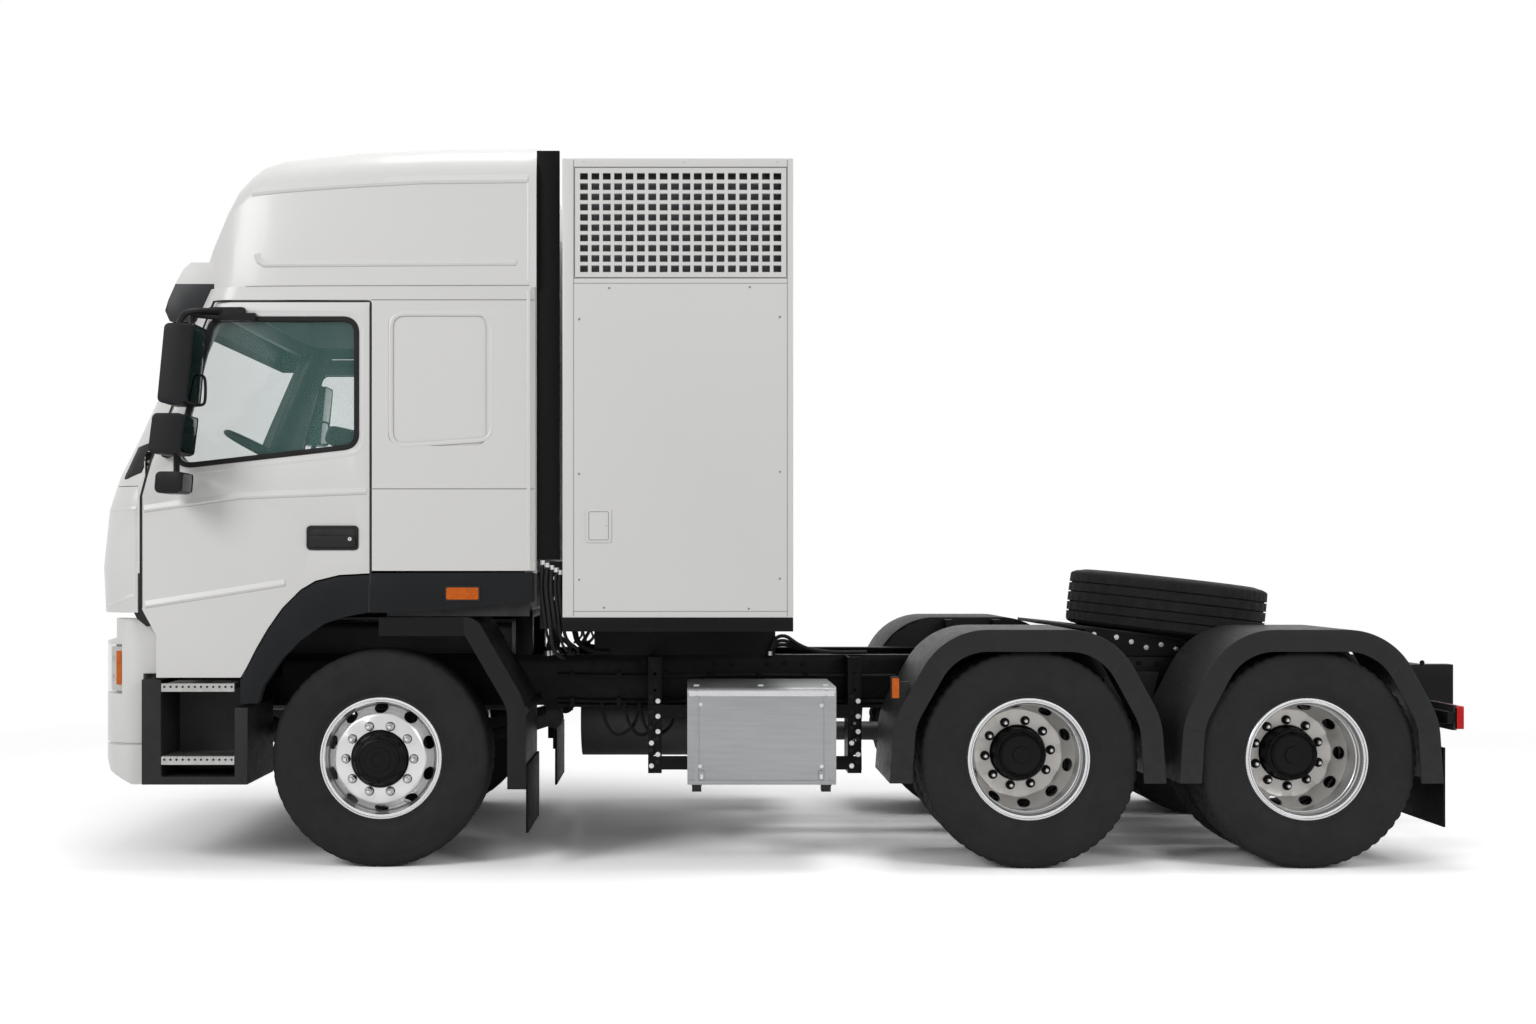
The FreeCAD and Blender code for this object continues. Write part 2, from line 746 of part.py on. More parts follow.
def rim_points(centre):
    """Outside of a rim from its high end to its low end, about its centre plane."""
    seat, inside = BEAD_R - SEAT_GAP, BEAD_R - RIM_T
    shoulder = RIM_HALF - FLANGE_T
    return [
        (inside, centre + RIM_HALF), (FLANGE_R, centre + RIM_HALF), (FLANGE_R, centre + shoulder),
        (seat, centre + shoulder), (seat, centre - shoulder), (FLANGE_R, centre - shoulder),
        (FLANGE_R, centre - RIM_HALF), (inside, centre - RIM_HALF),
    ]


def disc_points(face, join):
    """Front of a disc from its flat face to the rim."""
    return [(DISC_FLAT_R, face), (DISC_JOIN_R, join), (BEAD_R - RIM_T, join)]


def hub_points(inner, face, nose):
    """Hub with its blind bore, from its inner end round to the disc's face."""
    bore = SPINDLE_R + RUNNING_FIT
    return [
        (HUB_R, inner), (bore, inner), (bore, nose - HUB_NOSE), (0, nose - HUB_NOSE), (0, nose),
        (HUB_CAP_R, nose), (HUB_R, nose - HUB_CHAMFER), (HUB_R, face),
    ]


def wheel_solid(points, x, y, side):
    """Turned wheel with its ring of hand holes; positive distances point outwards."""
    profile = [(radius, side * along) for radius, along in points]
    wheel = turned(profile, x, y, TYRE_R, WHEEL_SIDES)
    reach = max(abs(along) for radius, along in points) + OVERRUN
    holes = []
    for i in range(HAND_HOLES):
        angle = 2 * math.pi * (i + 0.5) / HAND_HOLES
        holes.append(peg(x + HAND_HOLE_PITCH_R * math.cos(angle), y - reach,
                         TYRE_R + HAND_HOLE_PITCH_R * math.sin(angle), HAND_HOLE_R, 2 * reach))
    return wheel.cut(Part.makeCompound(holes))


def front_wheel(side):
    face, join = FRONT_DISC_OUT, FRONT_JOIN_OUT
    points = rim_points(0) + [
        (BEAD_R - RIM_T, join - DISC_T), (DISC_JOIN_R - DISC_T, join - DISC_T),
        (DISC_FLAT_R - DISC_T, face - DISC_T), (HUB_R, face - DISC_T),
    ]
    points += hub_points(face - HUB_LENGTH, face, face + HUB_NOSE) + disc_points(face, join)
    return wheel_solid(points, 0, side * FRONT_TRACK_HALF, side)


def twin_wheel(x, side):
    half = TWIN_SPACING / 2
    join = half - TWIN_JOIN_IN
    inside = BEAD_R - RIM_T
    points = rim_points(half) + [(inside, join - DISC_T), (DISC_JOIN_R - DISC_T, join - DISC_T)]
    points += [(DISC_FLAT_R - DISC_T, 0), (DISC_JOIN_R - DISC_T, DISC_T - join), (inside, DISC_T - join)]
    points += rim_points(-half) + [(radius, -along) for radius, along in disc_points(DISC_T, join)][::-1]
    points += hub_points(-DISC_T, DISC_T, DISC_T + HUB_LENGTH) + disc_points(DISC_T, join)
    return wheel_solid(points, x, side * TWIN_MID_Y, side)


def make_wheels():
    for name, side in (("left", -1), ("right", 1)):
        save("front_tyre_" + name, [tyre(0, side * FRONT_TRACK_HALF, TYRE_R)])
        save("front_wheel_" + name, [front_wheel(side)])
        for number, x in zip(("first", "second"), REAR_AXLES):
            pair = [tyre(x, side * y, TYRE_R) for y in (TWIN_OUTER_Y, TWIN_INNER_Y)]
            save("twin_tyres_%s_%s" % (number, name), pair)
            save("twin_wheels_%s_%s" % (number, name), [twin_wheel(x, side)])


# Front axle, knuckles and tie rod

def front_axle():
    top, low = TYRE_R + EYE_HALF, TYRE_R - EYE_HALF
    flat_top = TYRE_R - BEAM_DROP + BEAM_DEPTH / 2
    flat_low = flat_top - BEAM_DEPTH
    right = [(BEAM_FLAT_Y, flat_low), (BEAM_BEND_Y, low), (KINGPIN_Y, low), (KINGPIN_Y, top), (BEAM_BEND_Y,
                                                                                               top),
             (BEAM_FLAT_Y, flat_top)]
    beam = prism(right + [(-y, z) for y, z in reversed(right)], "yz", -BEAM_HALF_X, BEAM_HALF_X)
    pieces = [beam]
    pin_half = EYE_HALF + ARM_CLEAR + ARM_T
    for side in (-1, 1):
        pieces.append(rod(0, side * KINGPIN_Y, TYRE_R - EYE_HALF, EYE_R, 2 * EYE_HALF, ALONG_Z))
        pieces.append(rod(0, side * KINGPIN_Y, TYRE_R - pin_half, KINGPIN_R, 2 * pin_half, ALONG_Z))
    return fuse(pieces)


def knuckle(side):
    y = side * KINGPIN_Y
    web_in, web_out = sorted((y + side * WEB_Y, y + side * (WEB_Y + WEB_T)))
    arm_in, arm_out = sorted((y, y + side * (WEB_Y + WEB_T)))
    clear = EYE_HALF + ARM_CLEAR
    pieces = [box(-WEB_HALF, WEB_HALF, web_in, web_out, TYRE_R - clear - ARM_T, TYRE_R + clear + ARM_T)]
    for base in (TYRE_R + clear, TYRE_R - clear - ARM_T):
        pieces.append(rod(0, y, base, ARM_R, ARM_T, ALONG_Z))
        pieces.append(box(-ARM_R, ARM_R, arm_in, arm_out, base, base + ARM_T))
    spindle_start = y + side * WEB_Y
    hub_inner = side * (FRONT_TRACK_HALF + FRONT_DISC_OUT - HUB_LENGTH)
    blind = side * (FRONT_TRACK_HALF + FRONT_DISC_OUT)
    length = abs(blind - spindle_start) - SPINDLE_END_GAP
    pieces.append(rod(0, spindle_start, TYRE_R, SPINDLE_R, length, ALONG_Y * side))
    brake_end = hub_inner - side * PANEL_GAP
    brake_start = brake_end - side * BRAKE_T
    pieces.append(rod(0, brake_start, TYRE_R, BRAKE_R, BRAKE_T, ALONG_Y * side))
    arm_z = TYRE_R - clear - ARM_T
    rear_arm = box(0, TIE_ARM_BACK, y - TIE_ARM_W / 2, y + TIE_ARM_W / 2, arm_z, arm_z + TIE_ARM_T)
    eye = rod(TIE_ARM_BACK, y, arm_z, TIE_ARM_W / 2, TIE_ARM_T, ALONG_Z)
    pieces += [rear_arm, eye]
    body = fuse(pieces)
    bore = rod(0, y, TYRE_R - clear - ARM_T - OVERRUN, KINGPIN_R + RUNNING_FIT,
               2 * (clear + ARM_T + OVERRUN), ALONG_Z)
    ball_bore = rod(TIE_ARM_BACK, y, arm_z - OVERRUN, TIE_PIN_R + RUNNING_FIT,
                    TIE_ARM_T + 2 * OVERRUN, ALONG_Z)
    return body.cut(bore).cut(ball_bore)


def tie_rod():
    arm_z = TYRE_R - EYE_HALF - ARM_CLEAR - ARM_T
    z = arm_z - TIE_BALL_R - SEAT_GAP
    pieces = [rod(TIE_ARM_BACK, -KINGPIN_Y, z, TIE_ROD_R, 2 * KINGPIN_Y, ALONG_Y)]
    for side in (-1, 1):
        pieces.append(rod(TIE_ARM_BACK, side * KINGPIN_Y, z - TIE_BALL_R, TIE_BALL_R, 2 * TIE_BALL_R,
                          ALONG_Z))
        pieces.append(rod(TIE_ARM_BACK, side * KINGPIN_Y, z, TIE_PIN_R, TIE_BALL_R + TIE_ARM_T, ALONG_Z))
    return fuse(pieces)


def make_front_axle():
    save("front_axle_beam", [front_axle()])
    save("knuckle_left", [knuckle(-1)])
    save("knuckle_right", [knuckle(1)])
    save("tie_rod", [tie_rod()])


# Frame, suspension and drive line

def frame_rail():
    taper_end = RAIL_TAPER_START + RAIL_TAPER_RUN
    side_outline = [
        (RAIL_FRONT_X, RAIL_BOTTOM), (REAR_X, RAIL_BOTTOM), (REAR_X, RAIL_TOP - RAIL_TAPER_DROP),
        (taper_end, RAIL_TOP - RAIL_TAPER_DROP), (RAIL_TAPER_START, RAIL_TOP), (RAIL_FRONT_X, RAIL_TOP),
    ]
    body = prism(side_outline, "xz", -RAIL_OUT_Y, -RAIL_IN_Y)
    wire = outline(side_outline, "xz", -RAIL_OUT_Y + RAIL_T)
    channel = Part.Face(wire.makeOffset2D(-RAIL_T)).extrude(V(0, RAIL_FLANGE, 0))
    end = box(RAIL_FRONT_X - OVERRUN, RAIL_FRONT_X + OVERRUN, -RAIL_OUT_Y + RAIL_T, -RAIL_IN_Y + OVERRUN,
              RAIL_BOTTOM + RAIL_T, RAIL_TOP - RAIL_T)
    return body.cut(channel).cut(end)


def cross_member(x):
    """Channel lying on its side between the webs of the rails."""
    top = RAIL_TOP - RAIL_TAPER_DROP if x > RAIL_TAPER_START else RAIL_TOP
    z = (top + RAIL_BOTTOM) / 2
    reach = RAIL_OUT_Y - RAIL_T
    body = box(x - MEMBER_HALF_X, x + MEMBER_HALF_X, -reach, reach, z - MEMBER_DEPTH / 2,
               z + MEMBER_DEPTH / 2)
    hollow = box(x - MEMBER_HALF_X + MEMBER_T, x + MEMBER_HALF_X + OVERRUN, -reach - OVERRUN, reach + OVERRUN,
                 z - MEMBER_DEPTH / 2 + MEMBER_T, z + MEMBER_DEPTH / 2 - MEMBER_T)
    return body.cut(hollow)


def leaf_pack(x0, z0, sag, x1, thick, y0, y1):
    """Bowed pack of leaves of constant thickness; sag lifts or drops its middle."""
    low = []
    for i in range(LEAF_FACETS + 1):
        share = i / LEAF_FACETS
        low.append((x0 + (x1 - x0) * share, z0 + 4 * sag * share * (1 - share)))
    high = [(x, z + thick) for x, z in reversed(low)]
    return prism(low + high, "xz", y0, y1)


def front_spring():
    seat = TYRE_R - BEAM_DROP + BEAM_DEPTH / 2
    eye_z = RAIL_BOTTOM - SPRING_EYE_DROP
    y0, y1 = -SPRING_Y - SPRING_HALF_Y, -SPRING_Y + SPRING_HALF_Y
    pieces = [leaf_pack(-SPRING_REACH, eye_z, seat - eye_z, SPRING_REACH, SPRING_T, y0, y1)]
    for x in (-SPRING_REACH, SPRING_REACH):
        pieces.append(rod(x, y0, eye_z + SPRING_T / 2, SPRING_EYE_R + SPRING_T / 4, 2 * SPRING_HALF_Y,
                          ALONG_Y))
        pieces.append(box(x - HANGER_HALF_X, x + HANGER_HALF_X, -RAIL_OUT_Y, y1, eye_z, RAIL_BOTTOM))
    return fuse(pieces)


def bogie_spring():
    seat = TYRE_R + DRIVE_TUBE_R
    middle = TRUNNION_Z + TRUNNION_R
    y0, y1 = -BOGIE_SPRING_Y - BOGIE_SPRING_HALF_Y, -BOGIE_SPRING_Y + BOGIE_SPRING_HALF_Y
    pack = leaf_pack(REAR_AXLES[0], seat, middle - seat, REAR_AXLES[1], BOGIE_SPRING_T, y0, y1)
    shaft = rod(BOGIE_X, y0, TRUNNION_Z, TRUNNION_R, y1 - y0, ALONG_Y)
    points = [
        (BOGIE_X - TRUNNION_PLATE_HALF_X, RAIL_TOP - RAIL_DEPTH / 3), (BOGIE_X - TRUNNION_R,
                                                                       TRUNNION_Z - TRUNNION_R),
        (BOGIE_X + TRUNNION_R, TRUNNION_Z - TRUNNION_R), (BOGIE_X + TRUNNION_PLATE_HALF_X,
                                                          RAIL_TOP - RAIL_DEPTH / 3),
    ]
    bracket = prism(points, "xz", -BOGIE_SPRING_Y, -RAIL_OUT_Y)
    return fuse([pack, shaft, bracket])


def torque_rods():
    z = TYRE_R - DRIVE_TUBE_R - TORQUE_ROD_R - SEAT_GAP
    rods = []
    for x in REAR_AXLES:
        inward = 1 if x < BOGIE_X else -1
        start = x + inward * DRIVE_TUBE_R / 2
        length = abs(BOGIE_X - start)
        rods.append(rod(start, -TORQUE_ROD_Y, z, TORQUE_ROD_R, length, ALONG_X * inward))
    bar = rod(BOGIE_X, -BOGIE_SPRING_Y, z, TORQUE_ROD_R, 2 * BOGIE_SPRING_Y, ALONG_Y)
    post = box(BOGIE_X - TORQUE_ROD_R, BOGIE_X + TORQUE_ROD_R, -BOGIE_SPRING_Y - TORQUE_ROD_R,
               -BOGIE_SPRING_Y + TORQUE_ROD_R, z - TORQUE_ROD_R, TRUNNION_Z)
    return fuse(rods + [mirrored(item) for item in rods] + [bar] + both(post))


def drive_axle(x):
    reach = DRIVE_BRAKE_OUT_Y
    pieces = [rod(x, -reach, TYRE_R, DRIVE_TUBE_R, 2 * reach, ALONG_Y)]
    profile = [
        (0, -DIFF_HALF_Y), (DIFF_CAP_R, -DIFF_HALF_Y), (DIFF_R, -DIFF_HALF_Y / 2),
        (DIFF_R, DIFF_HALF_Y / 2), (DIFF_CAP_R, DIFF_HALF_Y), (0, DIFF_HALF_Y),
    ]
    pieces.append(turned(profile, x, 0, TYRE_R))
    pieces.append(rod(x - NOSE_REACH, 0, SHAFT_Z, NOSE_R, NOSE_REACH, ALONG_X))
    for side in (-1, 1):
        start = side * DRIVE_BRAKE_IN_Y
        length = DRIVE_BRAKE_OUT_Y - DRIVE_BRAKE_IN_Y
        pieces.append(rod(x, start, TYRE_R, BRAKE_R, length, ALONG_Y * side))
        tip = TWIN_MID_Y + DISC_T + HUB_LENGTH - HUB_NOSE - SPINDLE_END_GAP
        pieces.append(rod(x, side * DRIVE_BRAKE_OUT_Y, TYRE_R, SPINDLE_R, tip - DRIVE_BRAKE_OUT_Y,
                          ALONG_Y * side))
    return fuse(pieces)


def prop_shafts():
    first = rod(MOTOR_END_X, 0, SHAFT_Z, SHAFT_R, REAR_AXLES[0] - NOSE_REACH - MOTOR_END_X, ALONG_X)
    start = REAR_AXLES[0] + DIFF_R
    second = rod(start, 0, SHAFT_Z, SHAFT_R, REAR_AXLES[1] - NOSE_REACH - start, ALONG_X)
    return [first, second]


def drive_motor():
    body = rod(MOTOR_FRONT_X, 0, MOTOR_Z, MOTOR_R, MOTOR_LENGTH, ALONG_X)
    neck_x = MOTOR_FRONT_X + MOTOR_LENGTH
    neck = Part.makeCone(MOTOR_R, MOTOR_NECK_R, MOTOR_NECK_LENGTH, V(neck_x, 0, MOTOR_Z), ALONG_X)
    pieces = [body, neck]
    for x in (MOTOR_FRONT_X + MOTOR_LENGTH / 4, MOTOR_FRONT_X + MOTOR_LENGTH * 3 / 4):
        pieces.append(box(x - MOTOR_FOOT_HALF_X, x + MOTOR_FOOT_HALF_X, -RAIL_OUT_Y + RAIL_T,
                          RAIL_OUT_Y - RAIL_T,
                          RAIL_BOTTOM + RAIL_T, RAIL_BOTTOM + RAIL_T + MOTOR_FOOT_T))
    return fuse(pieces)


def power_unit():
    points = [
        (-POWER_HALF_Y, POWER_BOTTOM, POWER_EDGE), (POWER_HALF_Y, POWER_BOTTOM, POWER_EDGE),
        (POWER_HALF_Y, POWER_TOP, POWER_EDGE), (-POWER_HALF_Y, POWER_TOP, POWER_EDGE),
    ]
    body = prism(points, "yz", POWER_FRONT_X, POWER_REAR_X)
    feet = []
    for x in (POWER_FRONT_X / 2, POWER_REAR_X / 2):
        feet.append(box(x - MOTOR_FOOT_HALF_X, x + MOTOR_FOOT_HALF_X, -RAIL_OUT_Y + RAIL_T,
                        RAIL_OUT_Y - RAIL_T,
                        RAIL_BOTTOM + RAIL_T, RAIL_BOTTOM + RAIL_T + MOTOR_FOOT_T))
    return fuse([body] + feet)


def make_frame():
    rail = frame_rail()
    pins = rod(TILT_X, -RAIL_OUT_Y, TILT_Z, TILT_PIN_R, TILT_PIN_OUT, ALONG_Y * -1)
    rail = fuse([rail, pins])
    save("frame_rail_left", [rail])
    save("frame_rail_right", [mirrored(rail)])
    save("cross_members", [cross_member(x) for x in MEMBER_STATIONS] + [cab_mount()])
    save("front_springs", both(front_spring()))
    save("bogie_springs", both(bogie_spring()) + [torque_rods()])
    save("drive_axles", [drive_axle(x) for x in REAR_AXLES])
    save("drive_units", [power_unit(), drive_motor()] + prop_shafts())


# Cab form

def cab_section(height_share, setback_share, inset):
    """Plan outline of the cab at one height, drawn in by the inset.

    An inset form runs past both ends, so that it cuts cleanly."""
    z = CAB_BOTTOM + height_share * (ROOF_SEAM - CAB_BOTTOM)
    if inset > 0 and height_share == 0:
        z -= OVERRUN
    if inset > 0 and height_share == 1:
        z += OVERRUN
    front = NOSE_X + setback_share * CAB_RAKE + inset
    rear, half = CAB_REAR_X - inset, BODY_HALF - inset
    corner, tail = CAB_CORNER_R - inset, max(CAB_REAR_R - inset, TAIL_MIN_R)
    face = front + CAB_CROWN
    side_x, side_y = face + corner, half - corner
    bow = (side_y * side_y + CAB_CROWN * CAB_CROWN) / (2 * CAB_CROWN)
    spread = math.degrees(math.asin(side_y / bow))
    left = bent(side_x, -side_y, corner, 270, 180, CORNER_FACETS, z)
    middle = bent(front + bow, 0, bow, 180 + spread, 180 - spread, CROWN_FACETS, z)
    right = bent(side_x, side_y, corner, 180, 90, CORNER_FACETS, z)
    rear_right = bent(rear - tail, half - tail, tail, 90, 0, TAIL_FACETS, z)
    rear_left = bent(rear - tail, tail - half, tail, 0, -90, TAIL_FACETS, z)
    return left + middle[1:-1] + right + rear_right + rear_left


def cab_form(inset):
    return skinned([cab_section(height, setback, inset) for height, setback in CAB_LEVEL_SHARES])


def cab_skirt(inset):
    """The sides carried down below the cab's bottom to the foot of the doors."""
    front = DOOR_FRONT_X - PANEL_GAP
    half = BODY_HALF - inset
    return box(front, CAB_REAR_X, -half, half, DOOR_BOTTOM - OVERRUN, CAB_BOTTOM)


def scaled(shares, x0, z0, x1, z1):
    """Points of a curve given as shares of its run and its rise."""
    return [(x0 + a * (x1 - x0), z0 + b * (z1 - z0)) for a, b in shares]


def door_outline(grow):
    """Outline of a door seen from the side; grow widens it into its opening."""
    points = [(DOOR_NOTCH_X, DOOR_BOTTOM)]
    points += scaled(DOOR_ARCH_SHARES, DOOR_ARCH_X, DOOR_BOTTOM, DOOR_REAR_X, DOOR_ARCH_TOP)
    points += [
        (DOOR_REAR_X, DOOR_TOP, DOOR_EDGE_R),
        (DOOR_SHOULDER_X, DOOR_TOP, DOOR_EDGE_R), (DOOR_PILLAR_X, DOOR_PILLAR_Z),
        (DOOR_FRONT_X, DOOR_STRAIGHT_TOP), (DOOR_FRONT_X, DOOR_NOTCH_TOP), (DOOR_NOTCH_X, DOOR_NOTCH_BOTTOM),
    ]
    if grow == 0:
        return points
    wire = outline(points, "xz", 0).makeOffset2D(grow)
    return wire


def door_prism(grow, y0, y1):
    if grow == 0:
        return prism(door_outline(0), "xz", y0, y1)
    wire = door_outline(grow)
    face = Part.Face(wire)
    face.translate(V(0, y0, 0))
    return face.extrude(V(0, y1 - y0, 0))


def window_points(inset):
    return [
        (WINDOW_FRONT_X + inset, WINDOW_BOTTOM + inset, WINDOW_CORNER_R),
        (WINDOW_REAR_X - inset, WINDOW_REAR_BOTTOM + inset, WINDOW_CORNER_R),
        (WINDOW_REAR_X - inset, WINDOW_TOP - inset, WINDOW_CORNER_R),
        (WINDOW_TOP_FRONT_X + inset, WINDOW_TOP - inset, WINDOW_CORNER_R),
    ]


def screen_points(inset):
    return [
        (-SCREEN_HALF_BOTTOM + inset, SCREEN_BOTTOM + inset, SCREEN_CORNER_R),
        (SCREEN_HALF_BOTTOM - inset, SCREEN_BOTTOM + inset, SCREEN_CORNER_R),
        (SCREEN_HALF_TOP - inset, SCREEN_TOP - inset, SCREEN_CORNER_R),
        (-SCREEN_HALF_TOP + inset, SCREEN_TOP - inset, SCREEN_CORNER_R),
    ]


def hinge_lug(z):
    """Gooseneck on the left pillar: an eye with its pin inside the door's front edge."""
    x, y = DOOR_FRONT_X + HINGE_IN_X, -BODY_HALF + HINGE_IN_Y
    inner = -BODY_HALF + CAB_WALL
    low, high = z - HINGE_HALF, z + HINGE_HALF
    eye = rod(x, y, low, HINGE_EYE_R, 2 * HINGE_HALF, ALONG_Z)
    pin = rod(x, y, low - HINGE_PIN_EXTRA, HINGE_PIN_R, 2 * (HINGE_HALF + HINGE_PIN_EXTRA), ALONG_Z)
    leg = box(x - HINGE_EYE_R, x + HINGE_EYE_R, y, inner + HINGE_LEG_T, low, high)
    foot = box(DOOR_FRONT_X - PANEL_GAP - HINGE_REACH, x + HINGE_EYE_R, inner, inner + HINGE_LEG_T, low, high)
    return fuse([eye, pin, leg, foot])


def hinge_notch(z):
    """Room in the left door for one hinge lug over the whole swing."""
    x, y = DOOR_FRONT_X + HINGE_IN_X, -BODY_HALF + HINGE_IN_Y
    reach = HINGE_EYE_R + HINGE_GAP / 2
    inner = -BODY_HALF + CAB_WALL
    low, high = z - HINGE_HALF - HINGE_GAP, z + HINGE_HALF + HINGE_GAP
    room = box(DOOR_FRONT_X - OVERRUN, x + reach, y - reach, inner + OVERRUN, low, high)
    pin = rod(x, y, low - HINGE_PIN_EXTRA, HINGE_PIN_R + RUNNING_FIT, high - low + 2 * HINGE_PIN_EXTRA,
              ALONG_Z)
    return fuse([room, pin])


def door_swing_room():
    """Room cut from the cab for the left door's front edge, which turns inwards behind its pin."""
    x, y = DOOR_FRONT_X + HINGE_IN_X, -BODY_HALF + HINGE_IN_Y
    inner = -BODY_HALF + CAB_WALL
    reach = math.hypot(HINGE_IN_X, inner - y) + DOOR_SWING_GAP
    height = DOOR_PILLAR_Z - DOOR_BOTTOM
    turn = rod(x, y, DOOR_BOTTOM, reach, height, ALONG_Z)
    turn = turn.common(box(x - reach, x + reach, inner - SEAT_GAP, inner + reach, DOOR_BOTTOM,
                           DOOR_BOTTOM + height))
    notch = rod(x, y, PILLAR_NOTCH_LOW, HINGE_IN_Y + PILLAR_NOTCH_GAP, PILLAR_NOTCH_TOP - PILLAR_NOTCH_LOW,
                ALONG_Z)
    return Part.makeCompound([turn, notch])


def side_relief():
    """Shallow panel and seams pressed into the cab's left side behind the door."""
    points = [
        (RELIEF_FRONT_X, RELIEF_BOTTOM, RELIEF_R), (RELIEF_REAR_X, RELIEF_BOTTOM, RELIEF_R),
        (RELIEF_REAR_X, RELIEF_TOP, RELIEF_R), (RELIEF_FRONT_X, RELIEF_TOP, RELIEF_R),
    ]
    cuts = [prism(points, "xz", -BODY_HALF - OVERRUN, -BODY_HALF + RELIEF_DEPTH)]
    for z in (SIDE_SEAM_Z, DOOR_TOP + PANEL_GAP):
        cuts.append(box(DOOR_REAR_X + PANEL_GAP, CAB_REAR_X + OVERRUN, -BODY_HALF - OVERRUN,
                        -BODY_HALF + SEAM_DEPTH,
                        z - SEAM_W / 2, z + SEAM_W / 2))
    return Part.makeCompound(cuts)


def left_door(outer):
    inner_y = -BODY_HALF + CAB_WALL
    door = door_prism(0, -BODY_HALF - OVERRUN, inner_y).common(outer)
    door = door.cut(prism(window_points(0), "xz", -BODY_HALF - OVERRUN, inner_y + OVERRUN))
    front_corner = box(DOOR_FRONT_X - OVERRUN, DOOR_FRONT_X + DOOR_EDGE_R, -BODY_HALF - OVERRUN,
                       -BODY_HALF + DOOR_EDGE_R,
                       DOOR_NOTCH_BOTTOM, DOOR_STRAIGHT_TOP)
    rounding = rod(DOOR_FRONT_X + DOOR_EDGE_R, -BODY_HALF + DOOR_EDGE_R, DOOR_NOTCH_BOTTOM, DOOR_EDGE_R,
                   DOOR_STRAIGHT_TOP - DOOR_NOTCH_BOTTOM, ALONG_Z)
    door = door.cut(front_corner.cut(rounding))
    for z in HINGE_ZS:
        door = door.cut(hinge_notch(z))
    handle_points = [
        (HANDLE_FRONT_X, HANDLE_Z - HANDLE_HALF, HANDLE_R), (HANDLE_REAR_X, HANDLE_Z - HANDLE_HALF, HANDLE_R),
        (HANDLE_REAR_X, HANDLE_Z + HANDLE_HALF, HANDLE_R), (HANDLE_FRONT_X, HANDLE_Z + HANDLE_HALF, HANDLE_R),
    ]
    recess = prism(handle_points, "xz", -BODY_HALF - OVERRUN, -BODY_HALF + HANDLE_OUT)
    grip = box(HANDLE_FRONT_X + HANDLE_R, HANDLE_REAR_X - HANDLE_R, -BODY_HALF, -BODY_HALF + HANDLE_R,
               HANDLE_Z - HANDLE_HALF / 4, HANDLE_Z + HANDLE_HALF / 2)
    posts = [box(x - HANDLE_R, x + HANDLE_R, -BODY_HALF, -BODY_HALF + HANDLE_OUT,
                 HANDLE_Z - HANDLE_HALF / 4, HANDLE_Z + HANDLE_HALF / 2)
             for x in (HANDLE_FRONT_X + 2 * HANDLE_R, HANDLE_REAR_X - 2 * HANDLE_R)]
    return fuse([door.cut(recess), grip] + posts)


def left_door_glass(outer):
    start = -BODY_HALF + GLASS_IN
    pane = prism(window_points(0), "xz", start, start + GLASS_T)
    return pane.common(outer)


def mirror_head(rear, width, lean, top, height, near, far):
    """Housing with rounded corners whose foot stands further forward than its top."""
    points = [
        (rear - width - lean, top - height, MIRROR_CORNER_R), (rear - lean, top - height, MIRROR_CORNER_R),
        (rear, top, MIRROR_CORNER_R), (rear - width, top, MIRROR_CORNER_R),
    ]
    return prism(points, "xz", -far, -near)


def strut(start, end, radius):
    """Many-sided bar between two points."""
    run = end - start
    aside = run.cross(ALONG_X)
    aside.normalize()
    other = run.cross(aside)
    other.normalize()
    ring = []
    for i in range(MIRROR_ARM_SIDES):
        angle = 2 * math.pi * i / MIRROR_ARM_SIDES
        ring.append(start + aside * (radius * math.cos(angle)) + other * (radius * math.sin(angle)))
    return Part.Face(Part.makePolygon(ring + [ring[0]])).extrude(run)


